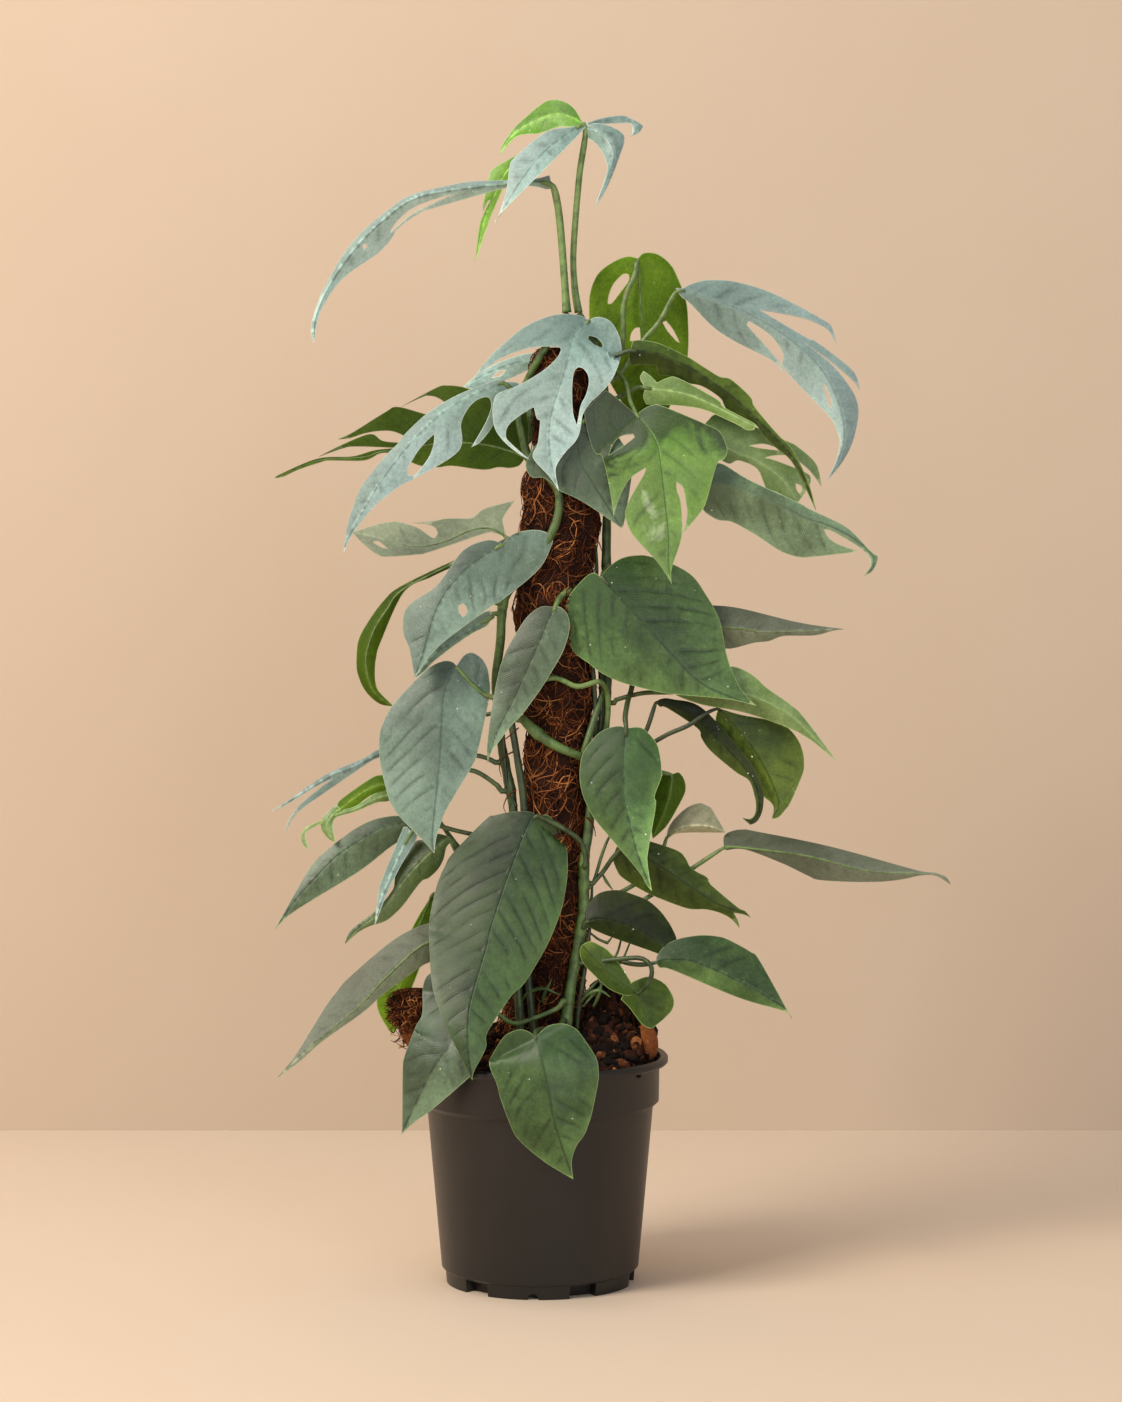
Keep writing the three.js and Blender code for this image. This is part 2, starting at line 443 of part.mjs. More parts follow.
    name: 'leaf_centre_left', look: 'teal', vine: 'right', z: 644,
    stalk: [[14, 631, -38], [17, 639, -33], [24, 647, -27.5], [32, 650, -24], [46, 651, -18],
      [55, 647, -9]],
    panels: [{
      rib: [[14, 632, -38.5], [8, 619.6, -42], [0.7, 602, -45], [-24.3, 546, -51], [-40.4, 515, -54],
        [-48.9, 486.6, -56]],
      one: [[7.9, 633.4], [-1, 632], [-13.6, 621.4], [-28, 598.2], [-34, 585.7], [-38.6, 571.4],
        [-44.8, 539.3], [-49.3, 503]],
      two: [[17, 633.2], [22, 630.4], [25.7, 625], [27.5, 618], [27, 609], [24, 598.2], [18.6, 585.7],
        [2.5, 559], [-6.4, 546.4], [-17, 532], [-28, 520.6], [-44.6, 498]],
      slope: [0.2, 0.05],
    }],
  },
  {
    name: 'leaf_right_big', look: 'green', vine: 'right', z: 672,
    stalk: [[58, 661, -31], [61, 667, -24], [63, 671, -14]],
    panels: [{
      rib: [[57, 660.5, -33], [88, 627, -41], [129, 582, -47], [143, 567.6, -48], [158, 557, -49],
        [180, 548, -51], [202, 540.5, -53]],
      one: [[62, 668], [72, 675.9], [81, 679.5], [91.8, 680.7], [101.6, 679.8], [124, 672.3],
        [141.8, 661.6], [154.3, 644.6], [167, 621.4], [173.4, 591], [178.4, 575], [186.4, 558],
        [193.6, 548.6]],
      two: [[50, 664.6], [41.8, 660], [29.3, 646.4], [25.7, 639], [24, 629], [29.5, 594.6], [45.4, 580.4],
        [54.3, 573.2], [65, 567], [75.7, 562.5], [91.8, 558], [109.6, 553.6], [127.5, 551], [175.7, 546.6]],
      slope: [0.3, 0.04],
    }],
  },
  {
    name: 'leaf_right_grey', look: 'teal', vine: 'right', z: 606,
    stalk: [[130, 617, -14], [104, 612, -10], [82, 608, -4]],
    panels: [{
      rib: [[128, 617, -14], [188, 612.5, -20], [204, 609.6, -21], [222, 609.4, -22], [283.4, 612, -27]],
      one: [[138, 628], [150, 632.6], [162.3, 634], [188.2, 631], [242, 618]],
      two: [[138, 604], [155, 596], [174, 594], [183, 595], [200.7, 599.6], [213.2, 601], [227.5, 605.7],
        [256, 606.4], [274, 610.8]],
      slope: [0.7, 0.6],
    }],
  },
  {
    name: 'leaf_light_right', look: 'green', vine: 'right', z: 544,
    stalk: [[128, 553, -28], [112, 553, -22], [94, 552, -12], [71, 546, -4]],
    panels: [{
      rib: [[126, 553, -28], [150, 551.4, -29], [172, 553.6, -30], [191.8, 551.8, -32], [211, 544.6, -34],
        [225.7, 537, -36], [240, 527, -38], [277.5, 488.4, -43]],
      one: [[158, 570], [177.5, 577], [191.8, 573], [202.5, 566], [211.4, 557.4], [234.6, 541], [247, 528.8]],
      two: [[127.5, 550.4], [136.4, 546.4], [154.3, 541], [184.6, 535.7], [211.4, 527.7], [234.6, 518.6],
        [245.4, 513.2], [257, 505.4]],
      slope: [0.35, 0.3],
    }],
  },
  {
    name: 'leaf_hook_right', look: 'dark', vine: 'right', z: 487,
    stalk: [[108, 543, -11], [98.5, 516, -11], [86, 502, -11], [74, 495, -10]],
    panels: [{
      rib: [[108, 544, -11], [120, 543, -11], [136, 535.4, -12], [150, 525, -13], [185, 489.5, -24],
        [199.5, 470, -28], [205, 452, -31], [204, 439.4, -31], [198, 431.8, -31], [189, 435.7, -30]],
      one: [[113.2, 547], [124, 546.6], [152.5, 537.4], [193.6, 491], [203, 474], [208.4, 460], [209, 452],
        [207.5, 441], [203, 432.4], [196.6, 429]],
      two: [[112, 539.6], [118.6, 538.6], [147, 519.6], [150.7, 510.7], [159.6, 498.2], [183, 478.6],
        [195.4, 470.5], [200.6, 456], [202, 446], [200.4, 438], [195.8, 434.4]],
      slope: [0.1, 0.3],
    }],
  },
  {
    name: 'leaf_round_right', look: 'dark', vine: 'right', z: 474,
    stalk: [[165, 537.6, -23], [154.3, 533, -25], [138.2, 522, -23.5], [118.6, 513.4, -20],
      [100, 502, -17], [70, 478, -13]],
    panels: [{
      rib: [[167, 538.4, -21], [175.7, 528.6, -18], [188, 514, -17], [200.7, 498, -17], [211.4, 480, -18],
        [218.6, 464, -19], [223.4, 448, -21], [216.8, 434.5, -23]],
      one: [[186.4, 532.4], [211.4, 527.7], [225.7, 523.2], [234.6, 517], [241.8, 507], [245.6, 496.4],
        [246.6, 487.5], [245.4, 476.8], [234.6, 451], [228, 441.5], [222.6, 436]],
      two: [[164, 528], [168, 512], [180, 494], [205, 461], [211, 454], [216, 450], [218.6, 444.5]],
      slope: [0.15, 0.75],
    }],
  },
  {
    name: 'leaf_centre_right', look: 'green', vine: 'right', z: 586,
    stalk: [[80.4, 521, -36], [79.5, 530, -29], [82, 545, -17], [86, 561, -8], [81, 577, -4],
      [74, 583, -2]],
    panels: [{
      rib: [[80.3, 519.6, -36], [78.4, 489, -43], [79.3, 453.6, -47], [88, 413, -51], [93.6, 395, -53],
        [104.6, 366.8, -55]],
      one: [[75.7, 521.4], [66.8, 520.5], [58, 517], [50.7, 510.7], [43.6, 501.8], [39, 493], [37.3, 482],
        [37.3, 469.6], [40, 457], [45.4, 444.6], [54.3, 430.4], [91, 387], [99, 373.6]],
      two: [[91.8, 520.5], [99, 517], [108.8, 505.4], [112.3, 493], [113.6, 482], [113.2, 473.2],
        [107, 456], [108.2, 447], [101.6, 408], [100.4, 393.6]],
      slope: [0.12, 0.3],
    }],
  },
  {
    name: 'leaf_small_right', look: 'under', vine: 'right', z: 461,
    stalk: [[123, 476, -13], [106, 478, -11], [88, 472, -9], [68, 464, -10]],
    panels: [{
      rib: [[124, 476.4, -13], [121, 455, -14], [114, 435, -16], [105.4, 416, -18]],
      one: [[128, 478.2], [131, 477], [134.6, 471.4], [136, 464.3], [133.8, 455.4], [120.4, 431],
        [112, 421.6]],
      two: [[118.6, 477], [113, 474], [108, 462], [105, 444], [104, 428]],
      slope: [0.3, 0.4],
    }],
  },
  {
    name: 'leaf_pale_small', look: 'teal', vine: 'right', z: 356,
    stalk: [[118.5, 417, -8], [112, 398, -7], [98, 380, -5], [76, 366, -6], [58, 359, -12]],
    panels: [{
      rib: [[118.5, 418, -8], [133, 426, -11], [145.4, 428.4, -12], [161, 427, -12], [173.6, 421.6, -12]],
      one: [[119, 422], [122, 429.3], [129.3, 438.2], [138.2, 445.4], [149, 449.3], [156, 447],
        [161.4, 442.7]],
      two: [[122, 418], [128, 421], [145.4, 422]],
      slope: [0.6, 1.4],
    }],
  },
  {
    name: 'leaf_right_long', look: 'green', vine: 'right', z: 342,
    stalk: [[171, 407, -16], [96, 358, -8], [70, 348, -9], [54, 344, -14]],
    panels: [{
      rib: [[172, 408.4, -16], [190, 407.6, -19], [250.7, 399.5, -25], [301, 386.5, -28], [328, 384, -30],
        [371, 382.4, -32], [379, 378.4, -33], [384.3, 373, -33]],
      one: [[172, 418], [179.3, 423], [190, 424.5], [200.7, 423], [270.4, 408.8], [345.4, 388.2],
        [359.6, 384.8], [370.4, 383.6], [380, 379.6]],
      two: [[174, 405.4], [191.8, 406], [225.7, 393.4], [250.7, 381.4], [261.4, 377.5], [292, 375.6],
        [318.6, 375.8], [340, 378.2], [356, 381.6], [370.4, 381.2]],
      slope: [0.9, 0.6],
    }],
  },
  {
    name: 'leaf_two_tips', look: 'green', vine: 'right', z: 374,
    stalk: [[77, 407, -27], [68, 398, -24], [59, 385, -21], [52, 377, -22]],
    panels: [{
      rib: [[76, 408.4, -28], [100.7, 397.6, -30], [156, 361, -34], [170, 353.2, -35], [190, 346.8, -36],
        [197.5, 341.8, -36]],
      one: [[84, 413], [95, 415], [109.6, 411.4], [129.3, 404.3], [136.4, 397], [140, 390], [147, 384.6],
        [154.3, 381], [158, 377.5], [159.6, 373], [184.6, 351.8], [191.8, 348.2]],
      two: [[72, 409], [69.5, 402.5], [68.6, 395.4], [72, 386.4], [77.5, 379.3], [100.7, 365],
        [129.3, 353.4], [141.8, 350], [154.3, 349.8], [165, 347.6], [174, 344], [181, 339], [186.8, 332],
        [185.5, 338.2], [181.4, 346.4], [191, 344.8]],
      slope: [0.4, 0.3],
    }],
  },
  {
    name: 'leaf_low_dark', look: 'dark', vine: 'right', z: 333,
    stalk: [[44, 337.6, -34], [42, 337, -33]],
    panels: [{
      rib: [[43.4, 338, -35], [56, 341, -37], [72, 338, -39], [88, 333, -41], [101, 325.7, -42],
        [115, 316, -43], [126, 305, -44]],
      one: [[43.6, 350], [49, 359.6], [56, 365], [65, 367.3], [75.7, 367.3], [88.2, 363.2], [100.7, 358],
        [111.4, 349], [118.6, 340], [124, 331], [128, 320]],
      two: [[44, 334.4], [61.4, 325.7], [109.6, 308.4], [118, 304]],
      slope: [0.35, 0.25],
    }],
  },
  {
    name: 'leaf_low_right', look: 'green', vine: 'right', z: 318,
    stalk: [[108, 299.4, -50], [95, 297.6, -46], [80, 299.6, -38], [64, 306, -32], [50, 314, -29]],
    panels: [{
      rib: [[109, 300, -50], [119, 302, -51], [140, 301.6, -53], [154, 297, -54], [170, 290, -56],
        [202.5, 273.4, -58], [218.6, 263.6, -59], [229.6, 256.6, -60], [236.4, 245.7, -60]],
      one: [[109, 304.3], [113.2, 311.4], [120.4, 317.7], [129.3, 321.6], [140, 324], [152.5, 325.2],
        [165, 324.3], [175.7, 321.3], [197, 309.6], [206, 300.7]],
      two: [[112, 295], [124, 292.7], [174, 271.3], [199, 262.3], [230, 253.4]],
      slope: [0.5, 0.4],
    }],
  },
  {
    name: 'leaf_pair_low', look: 'green', vine: 'right', z: 300,
    stalk: [[92, 270.4, -50], [99, 277, -55], [104.4, 287, -58], [103, 298, -57], [92, 304, -52],
      [54, 300.6, -38]],
    panels: [
      {
        rib: [[91.5, 270, -48], [77, 279.6, -45], [61, 293, -43], [39, 316, -40]],
        one: [[77.5, 293.6], [65, 309.6], [56, 315.9], [47, 319.5]],
        two: [[81, 268.6], [70.4, 272], [61.4, 277.5], [43.6, 295], [38.2, 304.3], [37.3, 311.4]],
        slope: [0.3, 0.2],
      },
      {
        rib: [[90, 283, -46], [91.5, 270, -48], [97, 256, -51], [101.6, 238, -54]],
        one: [[100.7, 286.4], [111.4, 283], [118.6, 277.5], [124, 268.6], [125.4, 261.4], [122, 252.5],
          [106, 238.2]],
        two: [[84, 279], [75.7, 265], [83, 258], [95.4, 241.8]],
        slope: [0.35, 0.3],
      },
    ],
  },
  {
    name: 'leaf_front_long', look: 'green', vine: 'right', z: 391,
    stalk: [[-3, 437.6, -38], [17, 428.4, -39], [29.3, 420.6, -38], [38.6, 412, -35], [43, 398, -33]],
    panels: [{
      rib: [[-4.6, 437, -38], [-11.8, 427.5, -43], [-33, 372, -65], [-45.7, 333, -78], [-51, 311, -85],
        [-61.8, 275, -99], [-66.3, 256, -107], [-68, 233, -115], [-67, 209.6, -120], [-63.6, 188.2, -122]],
      one: [[-8.2, 441], [-24.3, 441.4], [-42, 438], [-51, 433.8], [-81.4, 402.5], [-88.6, 391],
        [-94, 379.3], [-98.4, 365], [-103.8, 336.4], [-103, 300.7], [-102, 286.4], [-99.3, 270.4],
        [-88.6, 240]],
      two: [[6, 438.4], [11.4, 434.6], [16.8, 427.5], [24, 409.6], [25.7, 395.4], [25.4, 381], [23, 363.2],
        [18.6, 345.4], [7.9, 318.6], [-8.2, 290], [-17, 277.5], [-28, 266.8], [-49.3, 234], [-51, 219],
        [-62, 197]],
      slope: [0.22, 0.2],
    }],
  },
  {
    name: 'leaf_left_low', look: 'teal', vine: 'left', z: 313,
    stalk: [[-81, 326, -36], [-62, 321, -33], [-33, 314, -25]],
    panels: [{
      rib: [[-80, 326.6, -36], [-103.8, 318.6, -40], [-117, 311, -43], [-145.7, 284.6, -49],
        [-172, 256.6, -54], [-228, 209, -62], [-247.5, 190, -64]],
      one: [[-90, 334], [-104.6, 336.4], [-128, 326.6], [-149.3, 311.4], [-181.4, 283], [-190.4, 272],
        [-201, 258], [-226, 217.4], [-235, 204.6]],
      two: [[-90, 305], [-103.8, 299.8], [-113.6, 294.5], [-145.7, 271], [-165.4, 253.4], [-204.6, 225],
        [-224.3, 207.4]],
      slope: [0.45, 0.35],
    }],
  },
  {
    name: 'leaf_left_under', look: 'under', vine: 'left', z: 360,
    stalk: [[-100, 364, -4], [-80, 366, -5], [-52, 365, -9], [-38, 362, -14]],
    panels: [{
      rib: [[-100, 365, -4], [-111, 338, 0], [-124, 302, 4], [-136, 265, 7], [-138.6, 234, 8]],
      one: [[-115.4, 340], [-136, 300], [-153, 263.2], [-142, 236]],
      two: [[-95, 350], [-100, 322], [-113, 294.5], [-135.4, 236]],
      slope: [0.3, 0.3],
    }],
  },
  {
    name: 'leaf_over_rim', look: 'green', vine: 'right', z: 263,
    stalk: [[-77, 268, -66], [-39, 251, -66], [-30, 244, -64], [-19, 242.7, -60], [8, 252.5, -48],
      [18, 258, -44]],
    panels: [{
      rib: [[-78, 268.6, -66], [-81, 245, -82], [-85, 222, -96], [-94, 209, -97], [-104.6, 192, -95],
        [-130.5, 137.3, -82]],
      one: [[-88, 285], [-98, 292], [-103.6, 289], [-107.3, 284.6], [-110, 274], [-110.6, 251],
        [-117, 238.2], [-127, 211.4], [-128.8, 197], [-129.4, 146]],
      two: [[-74, 262], [-66, 240], [-60, 215], [-63, 196], [-66.3, 191.6], [-78, 181], [-103, 159.6],
        [-117, 149.6]],
      slope: [0.35, -0.5],
    }],
  },
  {
    name: 'leaf_front_heart', look: 'green', vine: 'right', z: 245,
    stalk: [[-4.4, 231, -118], [-3, 235, -106], [2, 236.6, -88], [18, 240, -52]],
    panels: [{
      rib: [[-4.6, 228.4, -121], [-1, 220.4, -128], [2.5, 204.3, -135], [8.8, 175.7, -138], [14, 147, -137],
        [31, 95, -127]],
      one: [[-8.2, 233], [-14.5, 236], [-20.7, 236.4], [-28, 233.8], [-35, 228.4], [-45.7, 211.4],
        [-47.7, 205], [-45.7, 197], [-40.4, 184.6], [-36.8, 170.4], [-26, 141.8], [-17, 129.3], [4.3, 111.4]],
      two: [[1.6, 235.5], [8, 240], [15, 241.8], [24, 241.4], [33, 237.3], [40, 229.3], [52.5, 209.6],
        [54.8, 197], [54.3, 186.4], [49, 159.6], [45.4, 147], [41, 136.4], [34.6, 127.5], [31, 118.6],
        [29.5, 109.6]],
      slope: [0.16, 0.16],
    }],
  },
  {
    name: 'leaf_left_dark', look: 'green', vine: 'left', z: 413,
    stalk: [[-113, 434, -27], [-80, 424, -27], [-38, 415, -18]],
    panels: [{
      rib: [[-112, 434, -27], [-140, 428, -31], [-153, 423.4, -33], [-181.4, 406, -37], [-194, 395.8, -39],
        [-219, 369.4, -43], [-233, 352.5, -45], [-248.4, 330.2, -47]],
      one: [[-120, 437], [-128, 437.4], [-137, 437.3], [-149.3, 435.5], [-160, 432], [-170.7, 426.6],
        [-181.4, 419.5], [-204.6, 400.7], [-215.4, 388.2], [-226, 371]],
      two: [[-126, 417.5], [-140.4, 408], [-170.7, 384.6], [-229.6, 348]],
      slope: [0.4, 0.35],
    }],
  },
  {
    name: 'leaf_twin_left', look: 'blue', vine: 'left', z: 489,
    stalk: [[-129, 502.6, -19], [-64, 495, -17], [-48, 491, -13]],
    panels: [{
      rib: [[-128, 503, -19], [-150, 495.6, -20], [-180, 480.6, -24], [-193, 476.4, -26],
        [-225, 456.5, -30], [-251.4, 442, -34]],
      one: [[-140, 501.6], [-153, 498.6], [-163.6, 491.8], [-192, 479.8], [-208.2, 471], [-237, 450.8]],
      two: [[-136, 497], [-150.2, 492.4], [-163.6, 485], [-216.6, 448.6], [-228.6, 438], [-235.4, 427.5],
        [-237.8, 420], [-236.6, 429], [-231.8, 438.4], [-222, 450.5], [-194, 472.6], [-212, 463.4],
        [-239, 446.6]],
      slope: [0.8, 0.6],
    }],
  },
  {
    name: 'leaf_bright_curl', look: 'bright', vine: 'left', z: 462,
    stalk: [[-136, 464, -25], [-100, 474, -24], [-65.4, 480.4, -22], [-40, 466, -16]],
    panels: [
      {
        rib: [[-135, 464.6, -25], [-148, 467, -27], [-162, 462, -29], [-176, 453, -32], [-193.5, 438.6, -37]],
        one: [[-141, 475], [-147.5, 475.7], [-158.2, 472.4], [-185, 453.6], [-189.6, 447.4]],
        two: [[-139, 459.6], [-146, 460.4], [-160, 455.4], [-174, 444.8], [-184, 440.4]],
        slope: [0.5, 0.2],
      },
      {
        rib: [[-135, 459, -25], [-153, 454.2, -29], [-172.5, 444, -33], [-190.4, 438.8, -36.4],
          [-216.5, 426.4, -39], [-221.6, 419, -40], [-219.6, 411, -41], [-215.4, 405, -41]],
        one: [[-145, 461], [-153, 459], [-172.5, 446.6], [-190.4, 441.4], [-204, 433.4], [-217.6, 427.6],
          [-223.4, 419], [-221.6, 410.6]],
        two: [[-141.3, 451.6], [-153, 449.8], [-172.5, 441.6], [-190.4, 436.2], [-215, 425], [-219.8, 418.6]],
        slope: [0.5, 0.4],
      },
      {
        rib: [[-187, 444.4, -35.4], [-195, 438, -37.4], [-199.6, 430, -39], [-197.6, 421, -40],
          [-191.3, 412.3, -40]],
        one: [[-190.4, 448], [-197.5, 441.8], [-203, 435.5], [-205, 428.4], [-203, 422], [-197.5, 415.9]],
        two: [[-188, 439], [-192.6, 434], [-194, 427.5]],
        slope: [0.5, 0.3],
      },
    ],
  },
  {
    name: 'leaf_narrow_blue', look: 'blue', vine: 'left', z: 382,
    stalk: [[-120, 422, -40], [-113, 431, -38], [-104, 437, -34], [-95, 433, -21], [-84, 418, -13],
      [-72, 404, -12], [-52, 390, -12], [-38, 384, -14]],
    panels: [{
      rib: [[-121, 423, -40], [-142, 375, -40], [-148.4, 358, -41], [-155, 333.8, -41]],
      one: [[-124, 427], [-127.6, 427], [-145.7, 383], [-151, 366.8]],
      two: [[-118, 423], [-115.4, 417], [-131.4, 389], [-144.8, 361]],
      slope: [0.8, 0.9],
    }],
  },
  {
    name: 'leaf_wavy_left', look: 'under', vine: 'left', z: 370,
    stalk: [[-84.6, 416, -28], [-74, 396, -21], [-60, 381, -19], [-44, 373, -18]],
    panels: [{
      rib: [[-85, 418, -29], [-99, 407, -31], [-117, 389, -33], [-131.4, 372, -34], [-143, 355, -35],
        [-158, 340.5, -36], [-171, 330.6, -37], [-183, 316.8, -38]],
      one: [[-92, 420], [-98.4, 420.4], [-107, 415], [-113.6, 414.6], [-119, 411.4], [-124.3, 401],
        [-135, 384.6], [-136, 375.7], [-138.6, 366.8], [-153, 349.4], [-172.5, 334], [-179.6, 326.4]],
      two: [[-83.2, 413], [-87.7, 408], [-90.4, 397], [-95.7, 387.3], [-104.6, 379], [-111.8, 375.4],
        [-128, 354], [-136.8, 345], [-145.7, 338.4], [-160, 333.6], [-171, 327.6]],
      slope: [0.4, 0.35],
    }],
  },
  {
    name: 'leaf_rear_top', look: 'green', vine: 'back', z: 838,
    stalk: [[38, 838, 50], [34, 838, 46]],
    panels: [{
      rib: [[39, 838, 51], [47, 815, 62], [53, 785, 74], [57, 750, 82]],
      one: [[44, 843], [56, 840], [66, 826], [72, 805], [71, 780], [64, 760]],
      two: [[34, 844], [26, 832], [28, 808], [36, 780], [47, 758]],
      slope: [0.3, 0.3],
    }],
  },
  {
    name: 'leaf_rear_upper_left', look: 'green', vine: 'back', z: 812,
    stalk: [[2, 812, 49], [8, 812, 45]],
    panels: [{
      rib: [[0, 812, 50], [-22, 802, 62], [-48, 788, 74], [-78, 776, 82]],
      one: [[-4, 820], [-20, 824], [-42, 817], [-62, 801]],
      two: [[2, 804], [-10, 784], [-32, 771], [-60, 769]],
      slope: [0.3, 0.3],
    }],
  },
  {
    name: 'leaf_rear_left', look: 'teal', vine: 'back', z: 690,
    stalk: [[4, 690, 46], [10, 690, 44]],
    panels: [{
      rib: [[0, 690, 48], [-24, 677, 64], [-48, 659, 78], [-74, 641, 88]],
      one: [[-6, 697], [-28, 698], [-48, 686], [-64, 664]],
      two: [[2, 681], [-10, 661], [-30, 645], [-56, 638]],
      slope: [0.3, 0.3],
    }],
  },
  {
    name: 'leaf_rear_right', look: 'green', vine: 'back', z: 636,
    stalk: [[38, 636, 44], [30, 636, 42]],
    panels: [{
      rib: [[42, 636, 46], [66, 624, 64], [92, 606, 80], [124, 584, 92]],
      one: [[48, 646], [72, 648], [98, 634], [116, 606]],
      two: [[42, 626], [56, 602], [80, 584], [106, 578]],
      slope: [0.3, 0.3],
    }],
  },
  {
    name: 'leaf_rear_low_left', look: 'green', vine: 'back', z: 548,
    stalk: [[-10, 540, 50], [2, 544, 46]],
    panels: [{
      rib: [[-52, 536, 58], [-72, 516, 72], [-84, 490, 84], [-96, 462, 92]],
      one: [[-62, 548], [-84, 542], [-100, 514], [-104, 484]],
      two: [[-52, 528], [-60, 504], [-70, 482], [-84, 466]],
      slope: [0.3, 0.3],
    }],
  },
  {
    name: 'leaf_rear_low_right', look: 'green', vine: 'back', z: 492,
    stalk: [[50, 488, 52], [36, 490, 46]],
    panels: [{
      rib: [[58, 487, 54], [70, 462, 68], [80, 434, 80], [90, 405, 88]],
      one: [[66, 496], [86, 490], [98, 462], [98, 430]],
      two: [[54, 480], [54, 458], [64, 434], [78, 412]],
      slope: [0.3, 0.3],
    }],
  },
  {
    name: 'leaf_rear_base', look: 'green', vine: 'back', z: 420,
    stalk: [[-6, 412, 48], [4, 416, 44]],
    panels: [{
      rib: [[-16, 408, 50], [-34, 378, 66], [-50, 344, 82], [-60, 306, 94]],
      one: [[-24, 418], [-52, 410], [-72, 376], [-74, 338]],
      two: [[-12, 398], [-12, 370], [-26, 338], [-46, 314]],
      slope: [0.3, 0.3],
    }],
  },
];

const wasm = await Module();
wasm.setup();

// Slides a drawn point along the line of sight to its depth.
function place([x, z, depth = 0]) {
  const onPlane = new THREE.Vector3(x, 0, z);
  return onPlane.sub(EYE).multiplyScalar((depth - EYE.y) / -EYE.y).add(EYE);
}

function solid(vertices, triangles) {
  return new wasm.Manifold(new wasm.Mesh({
    numProp: 3,
    vertProperties: new Float32Array(vertices.flat()),
    triVerts: new Uint32Array(triangles.flat()),
  }));
}

function solidOf(geometry) {
  geometry.deleteAttribute('normal');
  geometry.deleteAttribute('uv');
  const merged = mergeVertices(geometry, 0.01);
  return new wasm.Manifold(new wasm.Mesh({
    numProp: 3,
    vertProperties: new Float32Array(merged.attributes.position.array),
    triVerts: new Uint32Array(merged.index.array),
  }));
}

function mesh(name, look, body) {
  const data = body.getMesh();
  const geometry = new THREE.BufferGeometry();
  geometry.setAttribute('position', new THREE.BufferAttribute(new Float32Array(data.vertProperties), 3));
  geometry.setIndex(new THREE.BufferAttribute(new Uint32Array(data.triVerts), 1));
  geometry.computeVertexNormals();
  const material = new THREE.MeshStandardMaterial({ ...LOOKS[look], metalness: 0 });
  material.name = look;
  const piece = new THREE.Mesh(geometry, material);
  piece.name = name;
  return piece;
}

// Rounds a drawn chain with points about every step, keeping sharp turns.
function smooth(chain, step) {
  const sharp = chain.map((point, i) => {
    if (i === 0 || i === chain.length - 1) return true;
    const [before, after] = [chain[i - 1], chain[i + 1]];
    const a = new THREE.Vector2(point[0] - before[0], point[1] - before[1]).normalize();
    const b = new THREE.Vector2(after[0] - point[0], after[1] - point[1]).normalize();
    return a.dot(b) < CORNER;
  });
  const out = [];
  for (let i = 0; i + 1 < chain.length; i += 1) {
    const [from, to] = [chain[i], chain[i + 1]];
    const before = sharp[i] ? from : chain[i - 1];
    const after = sharp[i + 1] ? to : chain[i + 2];
    const count = Math.max(1, Math.round(Math.hypot(to[0] - from[0], to[1] - from[1]) / step));
    for (let k = 0; k < count; k += 1) {
      const t = k / count;
      out.push(from.map((value, axis) => {
        const pull = (to[axis] - before[axis]) / 2;
        const push = (after[axis] - value) / 2;
        const bend = 2 * value - 2 * to[axis] + pull + push;
        return value + pull * t + (3 * to[axis] - 3 * value - 2 * pull - push) * t * t + bend * t * t * t;
      }));
    }
  }
  out.push(chain[chain.length - 1]);
  return out;
}

// Depth of a point of one half, from the nearest place on the rib.
function depthBeside(rib, point, slope) {
  let best = { away: Infinity };
  for (let i = 0; i + 1 < rib.length; i += 1) {
    const [a, b] = [rib[i], rib[i + 1]];
    const along = [b[0] - a[0], b[1] - a[1]];
    const reached = (point[0] - a[0]) * along[0] + (point[1] - a[1]) * along[1];
    const t = THREE.MathUtils.clamp(reached / (along[0] ** 2 + along[1] ** 2), 0, 1);
    const away = Math.hypot(point[0] - a[0] - along[0] * t, point[1] - a[1] - along[1] * t);
    if (away < best.away) best = { away, depth: a[2] + (b[2] - a[2]) * t };
  }
  return best.depth + slope * best.away;
}

function turns(points) {
  let area = 0;
  points.forEach(([x, z], i) => {
    const next = points[(i + 1) % points.length];
    area += x * next[1] - next[0] * z;
  });
  return area / 2;
}

function inside(points, [x, z]) {
  let odd = false;
  points.forEach(([xa, za], i) => {
    const [xb, zb] = points[(i + 1) % points.length];
    if ((za > z) !== (zb > z) && x < ((xb - xa) * (z - za)) / (zb - za) + xa) odd = !odd;
  });
  return odd;
}

